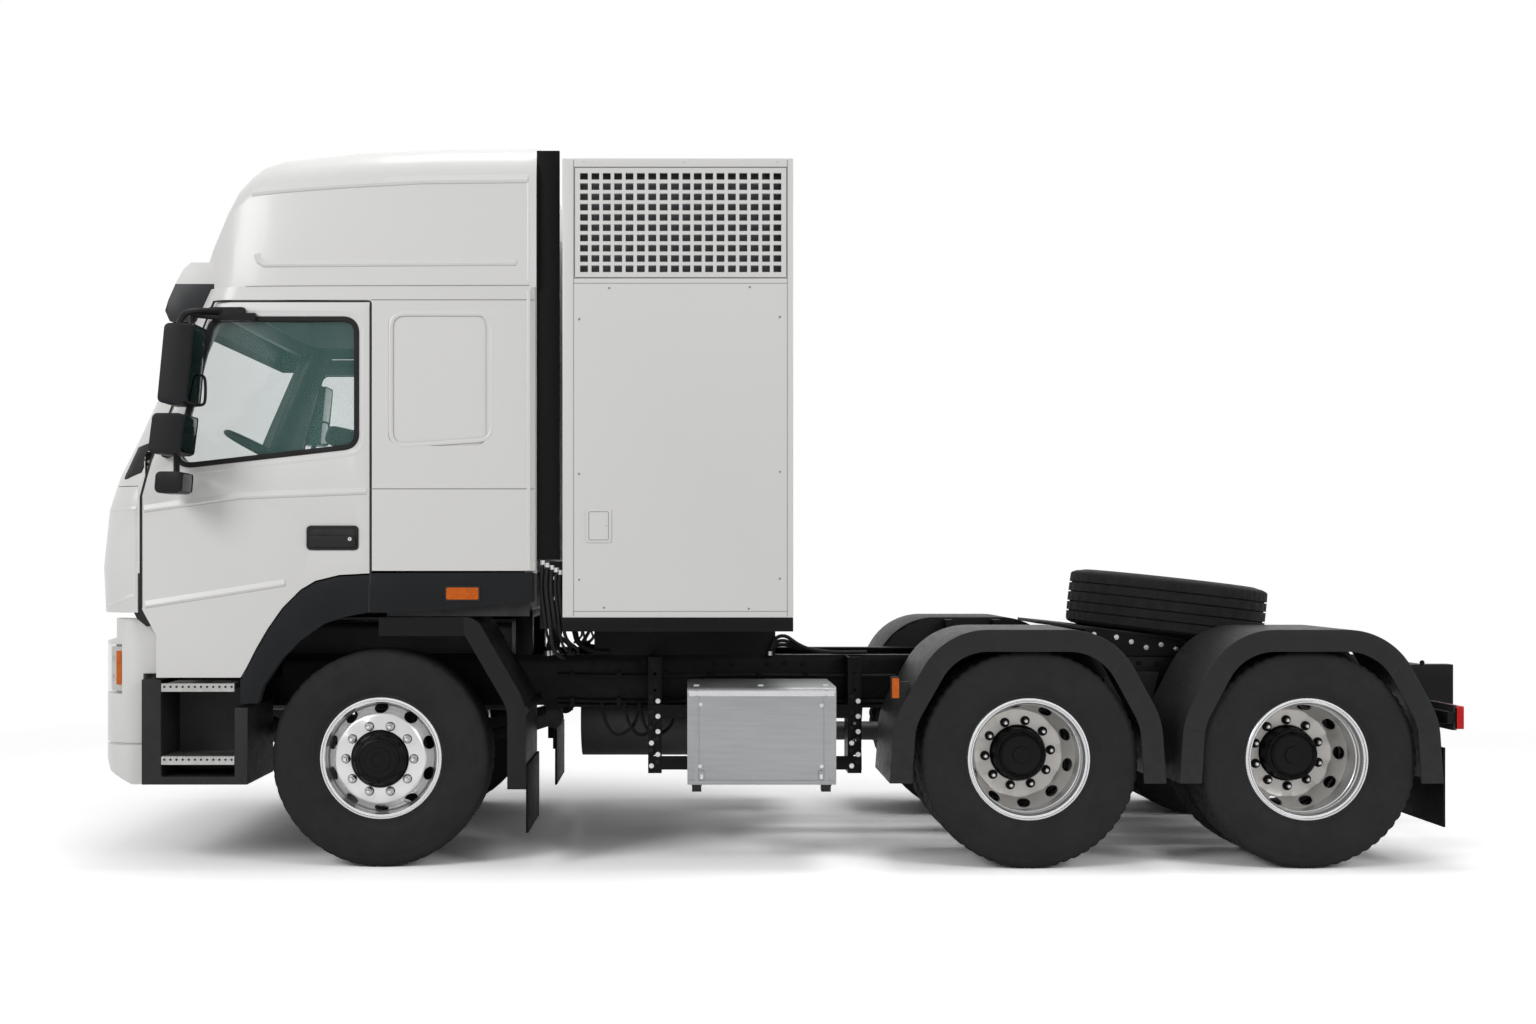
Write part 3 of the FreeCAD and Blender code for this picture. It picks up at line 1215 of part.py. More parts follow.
def left_mirror():
    """Main, wide-angle and kerb mirrors on one stem, carried by two arms on the door."""
    wide_top = MIRROR_TOP - MIRROR_H - WIDE_GAP
    kerb_top = wide_top - WIDE_H - KERB_GAP
    heads = [
        mirror_head(MIRROR_REAR_X, MIRROR_W, MIRROR_LEAN, MIRROR_TOP, MIRROR_H, MIRROR_IN_Y, MIRROR_OUT_Y),
        mirror_head(WIDE_REAR_X, WIDE_W, WIDE_LEAN, wide_top, WIDE_H, MIRROR_IN_Y, MIRROR_OUT_Y),
        mirror_head(KERB_REAR_X, KERB_W, KERB_LEAN, kerb_top, KERB_H, MIRROR_IN_Y, MIRROR_OUT_Y - KERB_IN),
    ]
    stem_y = -(MIRROR_IN_Y + MIRROR_CORNER_R)
    knee = V(MIRROR_REAR_X - MIRROR_W / 2, stem_y, MIRROR_TOP + MIRROR_ARM_RISE)
    foot = V(WIDE_REAR_X - WIDE_LEAN - WIDE_W / 2, stem_y, kerb_top - KERB_H / 2)
    low = V(foot.x, stem_y, wide_top - WIDE_H + MIRROR_CORNER_R)
    high_foot = V(MIRROR_FOOT_X, -BODY_HALF - MIRROR_FOOT_T / 2, knee.z)
    low_foot = V(MIRROR_LOW_FOOT_X, -BODY_HALF - 2 * MIRROR_ARM_R, low.z)
    bracket = box(MIRROR_FOOT_X - MIRROR_FOOT_T, MIRROR_FOOT_X + MIRROR_FOOT_W, -BODY_HALF - MIRROR_FOOT_T,
                  -BODY_HALF - SEAT_GAP, knee.z - MIRROR_FOOT_H / 2, knee.z + MIRROR_FOOT_H / 2)
    bars = [strut(knee, V(knee.x, stem_y, MIRROR_TOP - MIRROR_CORNER_R), MIRROR_ARM_R),
            strut(V(knee.x, stem_y, MIRROR_TOP - MIRROR_H + MIRROR_CORNER_R), low, MIRROR_ARM_R),
            strut(low, foot, MIRROR_ARM_R), strut(high_foot, knee, MIRROR_ARM_R), strut(low_foot, low,
                                                                                        MIRROR_ARM_R),
            strut(V(low_foot.x, -BODY_HALF - SEAT_GAP, low.z), low_foot, 2 * MIRROR_ARM_R)]
    return fuse(heads + bars + [bracket])


def roof_section(share_x, share_z, share_half, inset, floor):
    """Cross-section of the high roof at one station, with bent shoulders."""
    x = ROOF_FRONT_X + share_x * (CAB_REAR_X - ROOF_FRONT_X)
    top = ROOF_SEAM + share_z * (ROOF_TOP - ROOF_SEAM) - inset
    half = BODY_HALF * share_half - inset
    round_y, round_z = ROOF_ROUND_SHARES
    shoulder_z = top - (top - floor) * round_z
    top_y = half * (1 - round_y)
    side = [V(x, half, floor)]
    for i in range(SHOULDER_FACETS + 1):
        angle = math.pi / 2 * i / SHOULDER_FACETS
        side.append(V(x, top_y + (half - top_y) * math.cos(angle),
                      shoulder_z + (top - shoulder_z) * math.sin(angle)))
    return side + [V(x, -p.y, p.z) for p in reversed(side)]


def roof_form(inset, floor):
    return skinned([roof_section(x, z, half, inset, floor) for x, z, half in ROOF_STATION_SHARES])


def high_roof():
    shell = roof_form(0, ROOF_SEAM)
    hollow = roof_form(ROOF_WALL, ROOF_SEAM - OVERRUN)
    keep = box(ROOF_FRONT_X + ROOF_WALL, CAB_REAR_X - ROOF_WALL, -BODY_HALF, BODY_HALF,
               ROOF_SEAM - OVERRUN, ROOF_TOP)
    return shell.cut(hollow.common(keep))


def cab_shell(outer):
    inner = cab_form(CAB_WALL)
    floor = box(NOSE_X, CAB_REAR_X, -BODY_HALF, BODY_HALF, CAB_BOTTOM - 2 * OVERRUN, CAB_FLOOR + CAB_FLOOR_T)
    under = box(NOSE_X - OVERRUN, CAB_REAR_X + OVERRUN, -BODY_HALF - OVERRUN, BODY_HALF + OVERRUN,
                CAB_BOTTOM - 2 * OVERRUN, CAB_FLOOR)
    shell = outer.cut(inner.cut(floor)).cut(under)
    low_side = box(DOOR_ARCH_X, CAB_REAR_X + OVERRUN, -BODY_HALF - OVERRUN, -BODY_HALF + CAB_WALL,
                   CAB_FLOOR - OVERRUN, DOOR_ARCH_TOP)
    behind_door = box(DOOR_REAR_X + PANEL_GAP, CAB_REAR_X + OVERRUN, -BODY_HALF - OVERRUN,
                      -BODY_HALF + CAB_WALL,
                      CAB_FLOOR, SIDE_BOTTOM)
    low_side = low_side.fuse(behind_door)
    shell = shell.cut(low_side).cut(mirrored(low_side))
    opening = door_prism(PANEL_GAP, -BODY_HALF - OVERRUN, -BODY_HALF + CAB_WALL + SEAT_GAP)
    shell = shell.cut(opening).cut(mirrored(opening))
    screen = prism(screen_points(0), "yz", NOSE_X - OVERRUN, DOOR_SHOULDER_X)
    shell = shell.cut(screen)
    front_low = box(NOSE_X - OVERRUN, CORNER_REAR_X, -BODY_HALF - OVERRUN, BODY_HALF + OVERRUN,
                    CAB_BOTTOM - OVERRUN, HATCH_TOP + PANEL_JOINT)
    skin = outer.cut(cab_form(bulkhead_inset()))
    shell = shell.cut(front_low.common(skin))
    x, z = hatch_axis()
    shell = shell.cut(rod(x, -HATCH_HALF, z, HATCH_ROLL_R + HATCH_ROLL_GAP, 2 * HATCH_HALF, ALONG_Y))
    shell = shell.cut(door_swing_room()).cut(mirrored(door_swing_room())).cut(side_relief()).cut(mirrored(side_relief()))
    lugs = [bulkhead()]
    for z in HINGE_ZS:
        lugs += both(hinge_lug(z))
    return fuse([shell] + lugs + both(tilt_arm()) + [rear_beam()] + hatch_lugs())


def bulkhead_inset():
    return HATCH_T + PANEL_GAP


def bulkhead():
    """Wall behind the hatch and the corner panels, up to the foot of the windscreen."""
    middle = box(NOSE_X, CORNER_REAR_X, -BODY_HALF, BODY_HALF, CAB_FLOOR, SCREEN_BOTTOM - PANEL_GAP)
    wall = cab_form(bulkhead_inset()).cut(cab_form(bulkhead_inset() + BULKHEAD_T))
    return wall.common(middle)


def tilt_arm():
    """Arm below the floor on the left, with the eye that turns on the frame's pin."""
    y0 = -RAIL_OUT_Y - TILT_ARM_GAP - TILT_ARM_T
    y1 = y0 + TILT_ARM_T
    points = [
        (TILT_X - TILT_EYE_R / 2, TILT_Z + TILT_EYE_R / 2), (TILT_X + TILT_EYE_R, TILT_Z),
        (TILT_ARM_FOOT_X + TILT_ARM_FOOT_W, CAB_FLOOR), (TILT_ARM_FOOT_X, CAB_FLOOR),
    ]
    arm = prism(points, "xz", y0, y1).fuse(rod(TILT_X, y0, TILT_Z, TILT_EYE_R, TILT_ARM_T, ALONG_Y))
    return arm.cut(rod(TILT_X, y0 - OVERRUN, TILT_Z, TILT_PIN_R + RUNNING_FIT, TILT_ARM_T + 2 * OVERRUN,
                       ALONG_Y))


def rear_beam():
    """Beam across the floor's rear that lies on the frame's cab mount."""
    return box(CAB_MOUNT_X - CAB_MOUNT_HALF_X, CAB_MOUNT_X + CAB_MOUNT_HALF_X, -RAIL_OUT_Y, RAIL_OUT_Y,
               CAB_FLOOR - CAB_MOUNT_PAD_T, CAB_FLOOR)


def cab_mount():
    top = CAB_FLOOR - CAB_MOUNT_PAD_T - SEAT_GAP
    x0, x1 = CAB_MOUNT_X - CAB_MOUNT_HALF_X, CAB_MOUNT_X + CAB_MOUNT_HALF_X
    post = box(x0, x1, -RAIL_OUT_Y, -RAIL_IN_Y, RAIL_TOP, top)
    bar = box(x0, x1, -RAIL_OUT_Y, RAIL_OUT_Y, top - CAB_MOUNT_PAD_T, top)
    return fuse(both(post) + [bar])


def hatch_axis():
    """Place of the hatch's pin, just inside the skin below the windscreen."""
    share = (HATCH_TOP - HATCH_AXIS_IN - CAB_BOTTOM) / (ROOF_SEAM - CAB_BOTTOM)
    before = max(level for level in CAB_LEVEL_SHARES if level[0] <= share)
    after = min(level for level in CAB_LEVEL_SHARES if level[0] > share)
    setback = before[1] + (after[1] - before[1]) * (share - before[0]) / (after[0] - before[0])
    bow = (BODY_HALF - CAB_CORNER_R) ** 2 / (2 * CAB_CROWN)
    sag = HATCH_LUG_Y ** 2 / (2 * bow)
    return NOSE_X + setback * CAB_RAKE + sag + HATCH_AXIS_IN, HATCH_TOP - HATCH_AXIS_IN


def hatch_lugs():
    x, z = hatch_axis()
    lugs = []
    for y in (-HATCH_LUG_Y, HATCH_LUG_Y):
        low = y - HATCH_LUG_HALF
        eye = rod(x, low, z, HINGE_EYE_R, 2 * HATCH_LUG_HALF, ALONG_Y)
        pin = rod(x, low - HINGE_PIN_EXTRA, z, HATCH_PIN_R, 2 * (HATCH_LUG_HALF + HINGE_PIN_EXTRA), ALONG_Y)
        leg = box(x, x + CAB_WALL + HINGE_LEG_T, low, low + 2 * HATCH_LUG_HALF, z - HINGE_EYE_R,
                  z + HINGE_EYE_R)
        foot = box(x + CAB_WALL, x + CAB_WALL + HINGE_LEG_T, low, low + 2 * HATCH_LUG_HALF,
                   z - HINGE_EYE_R, SCREEN_BOTTOM - HINGE_EYE_R)
        lugs += [eye, pin, leg, foot]
    return lugs


def front_hatch(outer):
    inner = cab_form(HATCH_T)
    zone = box(NOSE_X - OVERRUN, CORNER_REAR_X, -HATCH_HALF + PANEL_GAP / 2, HATCH_HALF - PANEL_GAP / 2,
               CAB_BOTTOM, HATCH_TOP - PANEL_GAP / 2)
    hatch = outer.cut(inner).common(zone)
    x, z = hatch_axis()
    above = box(NOSE_X - OVERRUN, x, -HATCH_HALF, HATCH_HALF, z + HATCH_ROLL_R / 2, HATCH_TOP + OVERRUN)
    behind = box(x, CORNER_REAR_X, -HATCH_HALF, HATCH_HALF, z, HATCH_TOP + OVERRUN)
    roll = rod(x, -HATCH_HALF, z, HATCH_ROLL_R, 2 * HATCH_HALF, ALONG_Y)
    hatch = hatch.cut(fuse([above, behind]).cut(roll))
    reach = HINGE_EYE_R + HINGE_GAP / 2
    for y in (-HATCH_LUG_Y, HATCH_LUG_Y):
        low = y - HATCH_LUG_HALF - HINGE_GAP
        length = 2 * (HATCH_LUG_HALF + HINGE_GAP)
        room = box(x - reach, x + HATCH_T + OVERRUN, low, low + length, z - reach, z + OVERRUN)
        pin = rod(x, low - HINGE_PIN_EXTRA, z, HATCH_PIN_R + RUNNING_FIT, length + 2 * HINGE_PIN_EXTRA,
                  ALONG_Y)
        hatch = hatch.cut(room).cut(pin)
    return hatch


def left_corner_panel(outer):
    inner = cab_form(CORNER_T)
    zone = box(NOSE_X - OVERRUN, CORNER_REAR_X, -BODY_HALF - OVERRUN, -HATCH_HALF - PANEL_GAP / 2,
               CAB_BOTTOM, HATCH_TOP)
    return outer.cut(inner).common(zone)


def windscreen():
    zone = prism(screen_points(0), "yz", NOSE_X - OVERRUN, DOOR_SHOULDER_X)
    return cab_form(GLASS_IN).cut(cab_form(GLASS_IN + GLASS_T)).common(zone)


def sun_visor():
    """Curved blade with closed ends, hung from the roof's front over the top of the windscreen."""
    rear = ROOF_FRONT_X + VISOR_REACH
    skin = scaled(VISOR_SHARES, ROOF_FRONT_X, VISOR_BOTTOM, ROOF_FRONT_X - VISOR_REACH, VISOR_TOP)
    inside = scaled(VISOR_SHARES, ROOF_FRONT_X, VISOR_BOTTOM, ROOF_FRONT_X - VISOR_REACH + VISOR_T,
                    VISOR_TOP - VISOR_T)
    full = prism(skin + [(rear, VISOR_BOTTOM), (rear, VISOR_TOP)], "xz", -VISOR_HALF, VISOR_HALF)
    hollow = prism(inside[:-1] + [(inside[-1][0] + VISOR_T / 2, VISOR_BOTTOM - OVERRUN), (rear + OVERRUN,
                                                                                          VISOR_BOTTOM - OVERRUN),
                                  (rear + OVERRUN, VISOR_TOP - VISOR_T)], "xz", VISOR_T - VISOR_HALF,
                                  VISOR_HALF - VISOR_T)
    return full.cut(hollow).cut(cab_form(0)).cut(roof_form(0, ROOF_SEAM))


def left_arch_trim():
    """Dark trim round the wheel opening, below the door and the cab's side."""
    gap = PANEL_GAP
    points = [(DOOR_ARCH_X, TRIM_FRONT_BOTTOM)]
    points += scaled(DOOR_ARCH_SHARES, DOOR_ARCH_X, DOOR_BOTTOM, DOOR_REAR_X, DOOR_ARCH_TOP)
    points += [(TRIM_REAR_X, SIDE_BOTTOM - gap), (TRIM_REAR_X, TRIM_REAR_BOTTOM), (TRIM_FLAT_END_X,
                                                                                   TRIM_INNER_TOP)]
    points += scaled(TRIM_INNER_SHARES, TRIM_FRONT_INNER_X, TRIM_FRONT_BOTTOM, TRIM_INNER_END_X,
                     TRIM_INNER_TOP)[::-1]
    trim = prism(points, "xz", -BODY_HALF, -BODY_HALF + CAB_WALL - SEAT_GAP)
    return trim.cut(door_prism(gap, -BODY_HALF - OVERRUN, -BODY_HALF + CAB_WALL + OVERRUN))


def left_strip():
    """Dark strip that closes part of the space between cab and cabinet."""
    return box(CAB_REAR_X, CAB_REAR_X + STRIP_LENGTH, -BODY_HALF + CAB_REAR_R,
               -BODY_HALF + CAB_REAR_R + STRIP_T,
               STRIP_BOTTOM, STRIP_TOP)


def dashboard():
    front = NOSE_X + CAB_RAKE / 3 + CAB_WALL
    floor = CAB_FLOOR + CAB_FLOOR_T + SEAT_GAP
    points = [
        (NOSE_X, DASH_TOP - DASH_THICK), (front + DASH_DEPTH, DASH_TOP - DASH_THICK, CAB_WALL),
        (front + DASH_DEPTH, DASH_TOP, CAB_WALL), (NOSE_X, DASH_TOP),
    ]
    half = BODY_HALF - CAB_WALL - HINGE_LEG_T - 2 * ARM_CLEAR
    board = prism(points, "xz", -half, half).common(cab_form(bulkhead_inset() + 2 * BULKHEAD_T))
    console = box(front, front + DASH_DEPTH / 2, -CONSOLE_HALF, CONSOLE_HALF, floor, DASH_TOP - DASH_THICK)
    return fuse([board, console])


def seat(y):
    floor = CAB_FLOOR + CAB_FLOOR_T
    rear = SEAT_FRONT_X + SEAT_LENGTH
    pad = prism([(SEAT_FRONT_X, SEAT_TOP - SEAT_PAD_T, SEAT_PAD_T / 3), (rear, SEAT_TOP - SEAT_PAD_T),
                 (rear, SEAT_TOP), (SEAT_FRONT_X, SEAT_TOP, SEAT_PAD_T / 3)], "xz", y - SEAT_HALF,
                 y + SEAT_HALF)
    back = prism([(rear - SEAT_BACK_T, SEAT_TOP - SEAT_PAD_T), (rear, SEAT_TOP - SEAT_PAD_T),
                  (rear + SEAT_BACK_T, SEAT_BACK_TOP, SEAT_BACK_T / 3), (rear, SEAT_BACK_TOP,
                                                                         SEAT_BACK_T / 3)],
                 "xz", y - SEAT_HALF, y + SEAT_HALF)
    post = box(SEAT_FRONT_X + SEAT_POST_HALF, rear - SEAT_POST_HALF, y - SEAT_POST_HALF, y + SEAT_POST_HALF,
               floor, SEAT_TOP - SEAT_PAD_T)
    return fuse([pad, back, post])


def bunk():
    rear = CAB_REAR_X - CAB_WALL
    side = BODY_HALF - CAB_WALL
    body = prism([(BUNK_FRONT_X, CAB_FLOOR + CAB_FLOOR_T), (rear, CAB_FLOOR + CAB_FLOOR_T), (rear, BUNK_TOP),
                  (BUNK_FRONT_X, BUNK_TOP, BUNK_T / 3)], "xz", -side, side)
    return body.common(cab_form(CAB_WALL + SEAT_GAP))


def steering_wheel():
    grip = bent(STEER_R, 0, STEER_GRIP_R, 0, 360 - 360 / HOLE_SIDES, HOLE_SIDES - 1, 0)
    ring = turned([(p.x, p.y) for p in grip], 0, 0, 0)
    ring.rotate(V(0, 0, 0), ALONG_X, 90)
    pieces = [ring, Part.makeCylinder(COLUMN_R, 2 * STEER_GRIP_R, V(0, 0, -STEER_GRIP_R)),
              Part.makeCylinder(COLUMN_R, COLUMN_LENGTH, V(0, 0, -COLUMN_LENGTH))]
    for i in range(3):
        spoke = box(0, STEER_R, -STEER_GRIP_R, STEER_GRIP_R, -STEER_GRIP_R / 2, STEER_GRIP_R / 2)
        spoke.rotate(V(0, 0, 0), ALONG_Z, 90 + 120 * i)
        pieces.append(spoke)
    wheel = fuse(pieces)
    wheel.rotate(V(0, 0, 0), ALONG_Y, 90 - STEER_TILT_DEG)
    wheel.translate(V(STEER_X, -SEAT_Y, STEER_Z))
    return wheel


def make_cab():
    outer = cab_form(0)
    skirted = outer.fuse(cab_skirt(0)).removeSplitter()
    shell = cab_shell(outer)
    save("cab_shell", [shell])
    save("high_roof", [high_roof()])
    save("windscreen", [windscreen()])
    save("front_hatch", [front_hatch(outer)])
    save("corner_panels", both(left_corner_panel(outer)))
    door = left_door(skirted)
    glass = left_door_glass(skirted)
    save("door_left", [door])
    save("door_right", [mirrored(door)])
    save("door_glass_left", [glass])
    save("door_glass_right", [mirrored(glass)])
    save("mirror_left", [left_mirror()])
    save("mirror_right", [mirrored(left_mirror())])
    save("sun_visor", [sun_visor()])
    save("cab_dark_trims", both(left_arch_trim()) + both(left_strip()))
    save("dashboard", [dashboard(), steering_wheel()])
    save("seats_and_bunk", [seat(-SEAT_Y), seat(SEAT_Y), bunk()])


# Bumper, lamps, steps and mudguards

def bumper_plan(inset):
    front, half, corner = BUMPER_FRONT_X + inset, BUMPER_HALF - inset, BUMPER_CORNER_R - inset
    face = front + BUMPER_CROWN
    rear = BUMPER_UPPER_BACK_X + OVERRUN
    slant = math.sqrt(0.5)
    side_x, side_y = face + corner, half - corner
    z = BUMPER_BOTTOM - OVERRUN
    edges = [
        Part.LineSegment(V(rear, -half, z), V(side_x, -half, z)).toShape(),
        Part.Arc(V(side_x, -half, z), V(side_x - corner * slant, -side_y - corner * slant, z),
                 V(face, -side_y, z)).toShape(),
        Part.Arc(V(face, -side_y, z), V(front, 0, z), V(face, side_y, z)).toShape(),
        Part.Arc(V(face, side_y, z), V(side_x - corner * slant, side_y + corner * slant, z),
                 V(side_x, half, z)).toShape(),
        Part.LineSegment(V(side_x, half, z), V(rear, half, z)).toShape(),
        Part.LineSegment(V(rear, half, z), V(rear, -half, z)).toShape(),
    ]
    return Part.Face(Part.Wire(edges)).extrude(V(0, 0, BUMPER_TOP - BUMPER_BOTTOM + 2 * OVERRUN))


def bumper_side(inset):
    """Side outline of the bumper, with its tucked-in foot and its neck."""
    front = BUMPER_FRONT_X + inset
    foot = BUMPER_LIP_Z - BUMPER_BOTTOM
    points = [
        (front + foot, BUMPER_BOTTOM), (BUMPER_BACK_X, BUMPER_BOTTOM), (BUMPER_BACK_X, BUMPER_UPPER_Z),
        (BUMPER_UPPER_BACK_X, BUMPER_UPPER_Z), (BUMPER_UPPER_BACK_X, BUMPER_TOP), (BUMPER_NECK_X + inset,
                                                                                   BUMPER_TOP),
        (BUMPER_NECK_X + inset, BUMPER_SHOULDER_Z + BUMPER_CROWN), (front + 2 * BUMPER_CROWN,
                                                                    BUMPER_SHOULDER_Z - inset),
        (front, BUMPER_SHOULDER_Z - 2 * BUMPER_CROWN - inset), (front, BUMPER_LIP_Z), (front + foot / 3,
                                                                                       BUMPER_LIP_Z - foot * 2 / 3),
    ]
    return prism(points, "xz", -BUMPER_HALF - OVERRUN, BUMPER_HALF + OVERRUN)


def bumper_pieces():
    solid = bumper_plan(0).common(bumper_side(0))
    hollow_half = BUMPER_HALF - BUMPER_WALL
    hollow = bumper_plan(BUMPER_WALL).common(
        box(BUMPER_FRONT_X, BUMPER_UPPER_BACK_X + OVERRUN, -hollow_half, hollow_half,
            BUMPER_BOTTOM - OVERRUN, BUMPER_TOP + OVERRUN))
    band_z = (BUMPER_GROOVE_Z - BUMPER_GROOVE_H / 2, BUMPER_GROOVE_Z + BUMPER_GROOVE_H / 2)
    groove = box(NOSE_X - OVERRUN, BUMPER_BACK_X + OVERRUN, -BODY_HALF, BODY_HALF, *band_z).cut(
        bumper_plan(BUMPER_GROOVE_DEPTH))
    shell = solid.cut(hollow).cut(groove)
    zone = box(BUMPER_FRONT_X - OVERRUN, LAMP_REAR_X, -BUMPER_HALF - OVERRUN, -LAMP_IN_Y, LAMP_BOTTOM,
               LAMP_TOP)
    room = box(BUMPER_FRONT_X - OVERRUN, LAMP_REAR_X + LAMP_GAP, -BUMPER_HALF - OVERRUN,
               -LAMP_IN_Y + LAMP_GAP,
               LAMP_BOTTOM - LAMP_GAP, LAMP_TOP + LAMP_GAP)
    back = bumper_plan(BUMPER_WALL * 2 / 3)
    lamp = shell.common(zone).cut(back)
    pocket = room.cut(back)
    shell = shell.cut(pocket).cut(mirrored(pocket))
    stay = box(BUMPER_FRONT_X + BUMPER_WALL, RAIL_FRONT_X, -RAIL_OUT_Y, -RAIL_OUT_Y + BUMPER_STAY_T,
               RAIL_BOTTOM, RAIL_BOTTOM + BUMPER_STAY_DEPTH)
    top_cut = box(BUMPER_FRONT_X - OVERRUN, BUMPER_UPPER_BACK_X + OVERRUN, -LAMP_IN_Y + BUMPER_WALL,
                  LAMP_IN_Y - BUMPER_WALL, BUMPER_SHOULDER_Z, BUMPER_TOP + OVERRUN)
    return fuse([shell.cut(top_cut)] + both(stay)), lamp


def left_step_box():
    body = box(STEP_FRONT_X, STEP_REAR_X, -STEP_OUT_Y, -STEP_IN_Y, STEP_BOTTOM, STEP_TOP)
    recess = box(STEP_RECESS_FRONT_X, STEP_RECESS_REAR_X, -STEP_OUT_Y - OVERRUN, -STEP_RECESS_IN_Y,
                 STEP_BOTTOM + STEP_FLOOR_T, STEP_TOP + OVERRUN)
    low = box(STEP_RECESS_REAR_X, STEP_REAR_X + OVERRUN, -STEP_OUT_Y - OVERRUN, -STEP_IN_Y + OVERRUN,
              STEP_POST_TOP, STEP_TOP + OVERRUN)
    arm = box(STEP_ARM_X - STEP_ARM_HALF_X, STEP_ARM_X + STEP_ARM_HALF_X, -STEP_IN_Y, -RAIL_OUT_Y,
              STEP_ARM_Z, STEP_ARM_Z + STEP_ARM_DEPTH)
    return fuse([body.cut(recess).cut(low), arm])


def left_treads():
    treads = []
    for z in TREAD_ZS:
        plate = box(STEP_RECESS_FRONT_X, STEP_RECESS_REAR_X, -STEP_OUT_Y, -STEP_RECESS_IN_Y, z, z + TREAD_T)
        lip = box(STEP_RECESS_FRONT_X, STEP_RECESS_REAR_X, -STEP_OUT_Y, -STEP_OUT_Y + TREAD_T,
                  z + TREAD_T - TREAD_LIP, z)
        treads.append(fuse([plate, lip]))
    return treads


def left_mudguard():
    low = GUARD_REAR_BOTTOM
    deep = low - 2 * OVERRUN
    knee_z = (GUARD_TOP + low) / 2
    points = [
        (GUARD_FRONT_X, deep), (GUARD_FRONT_X, GUARD_TOP, GUARD_LIP_W * 2), (GUARD_SHOULDER_X, GUARD_TOP,
                                                                             GUARD_LIP_W),
        (GUARD_REAR_X, knee_z, GUARD_LIP_W * 3), (GUARD_REAR_X, deep),
    ]
    sheet = band(points, "xz", -GUARD_OUT_Y, -GUARD_IN_Y, GUARD_T)
    lip = band(points, "xz", -GUARD_OUT_Y, -GUARD_OUT_Y + GUARD_LIP_T, GUARD_LIP_W)
    keep = box(0, GUARD_REAR_X + OVERRUN, -GUARD_OUT_Y - OVERRUN, 0, low, GUARD_TOP + OVERRUN)
    front_keep = box(GUARD_FRONT_X - OVERRUN, 0, -GUARD_FRONT_OUT_Y, 0, GUARD_FRONT_BOTTOM,
                     GUARD_TOP + OVERRUN)
    front_sheet = sheet.common(front_keep)
    rear = sheet.fuse(lip).common(keep)
    return fuse([front_sheet, rear, guard_stay()])


def guard_stay():
    """Tube from the frame to the rear leg of the mudguard."""
    x = GUARD_REAR_X - GUARD_T / 2
    return rod(x, -RAIL_OUT_Y, GUARD_STAY_Z, GUARD_STAY_R, GUARD_OUT_Y - RAIL_OUT_Y, ALONG_Y * -1)


def fender_points(x, reach_front, reach_rear):
    height = FENDER_TOP - FENDER_BOTTOM
    deep = FENDER_BOTTOM - 2 * OVERRUN
    knee_z = FENDER_BOTTOM + height * FENDER_KNEE_Z_SHARE
    return [
        (x - reach_front, deep), (x - reach_front * FENDER_KNEE_SHARE, knee_z, FENDER_ROUND_R),
        (x - reach_front * FENDER_SHOULDER_SHARE, FENDER_TOP, FENDER_ROUND_R),
        (x + reach_rear * FENDER_SHOULDER_SHARE, FENDER_TOP, FENDER_ROUND_R),
        (x + reach_rear * FENDER_KNEE_SHARE, knee_z, FENDER_ROUND_R), (x + reach_rear, deep),
    ]


def fender_leg_reach(reach):
    """How far the foot of a fender's leg stands from its axle."""
    deep = FENDER_BOTTOM - 2 * OVERRUN
    knee_z = FENDER_BOTTOM + (FENDER_TOP - FENDER_BOTTOM) * FENDER_KNEE_Z_SHARE
    share = (FENDER_BOTTOM - deep) / (knee_z - deep)
    return reach * (1 - share * (1 - FENDER_KNEE_SHARE))


def left_fender(x, reach_front, reach_rear):
    points = fender_points(x, reach_front, reach_rear)
    sheet = band(points, "xz", -FENDER_OUT_Y, -FENDER_IN_Y, FENDER_T)
    lip = band(points, "xz", -FENDER_OUT_Y, -FENDER_OUT_Y + FENDER_LIP_T, FENDER_LIP_W)
    keep = box(x - 2 * reach_front, x + 2 * reach_rear, -FENDER_OUT_Y - OVERRUN, 0, FENDER_BOTTOM,
               FENDER_TOP + OVERRUN)
    return sheet.fuse(lip).common(keep)


def left_fender_arms(x, reaches):
    arms = []
    top = FENDER_TOP - FENDER_T
    for dx in reaches:
        x0, x1 = x + dx - FENDER_ARM_W / 2, x + dx + FENDER_ARM_W / 2
        post = box(x0, x1, -RAIL_OUT_Y - FENDER_ARM_W, -RAIL_OUT_Y, RAIL_TOP - FENDER_ARM_W * 3, top)
        arm = box(x0, x1, -FENDER_OUT_Y + FENDER_LIP_W, -RAIL_OUT_Y, top - FENDER_ARM_W, top)
        arms.append(fuse([post, arm]))
    return arms


def flaps():
    front = box(GUARD_REAR_X, GUARD_REAR_X + FLAP_T, -GUARD_OUT_Y, -GUARD_IN_Y, FRONT_FLAP_BOTTOM,
                GUARD_REAR_BOTTOM + 2 * OVERRUN)
    x = REAR_AXLES[1] + fender_leg_reach(FENDER_REACHES[1][1]) + SEAT_GAP
    rear = box(x, x + FLAP_T, -FENDER_OUT_Y + FENDER_LIP_T, -FENDER_IN_Y, REAR_FLAP_BOTTOM, REAR_FLAP_TOP)
    return both(front) + both(rear)


def tail_lamps():
    x = LAMP_BAR_X + LAMP_BAR_W
    middle = LAMP_BAR_Z + LAMP_BAR_H / 2
    lamp = box(x, x + TAIL_LAMP_T, -FENDER_OUT_Y + FENDER_LIP_T, -TAIL_LAMP_IN_Y,
               middle - TAIL_LAMP_H / 2, middle + TAIL_LAMP_H / 2)
    return both(lamp)


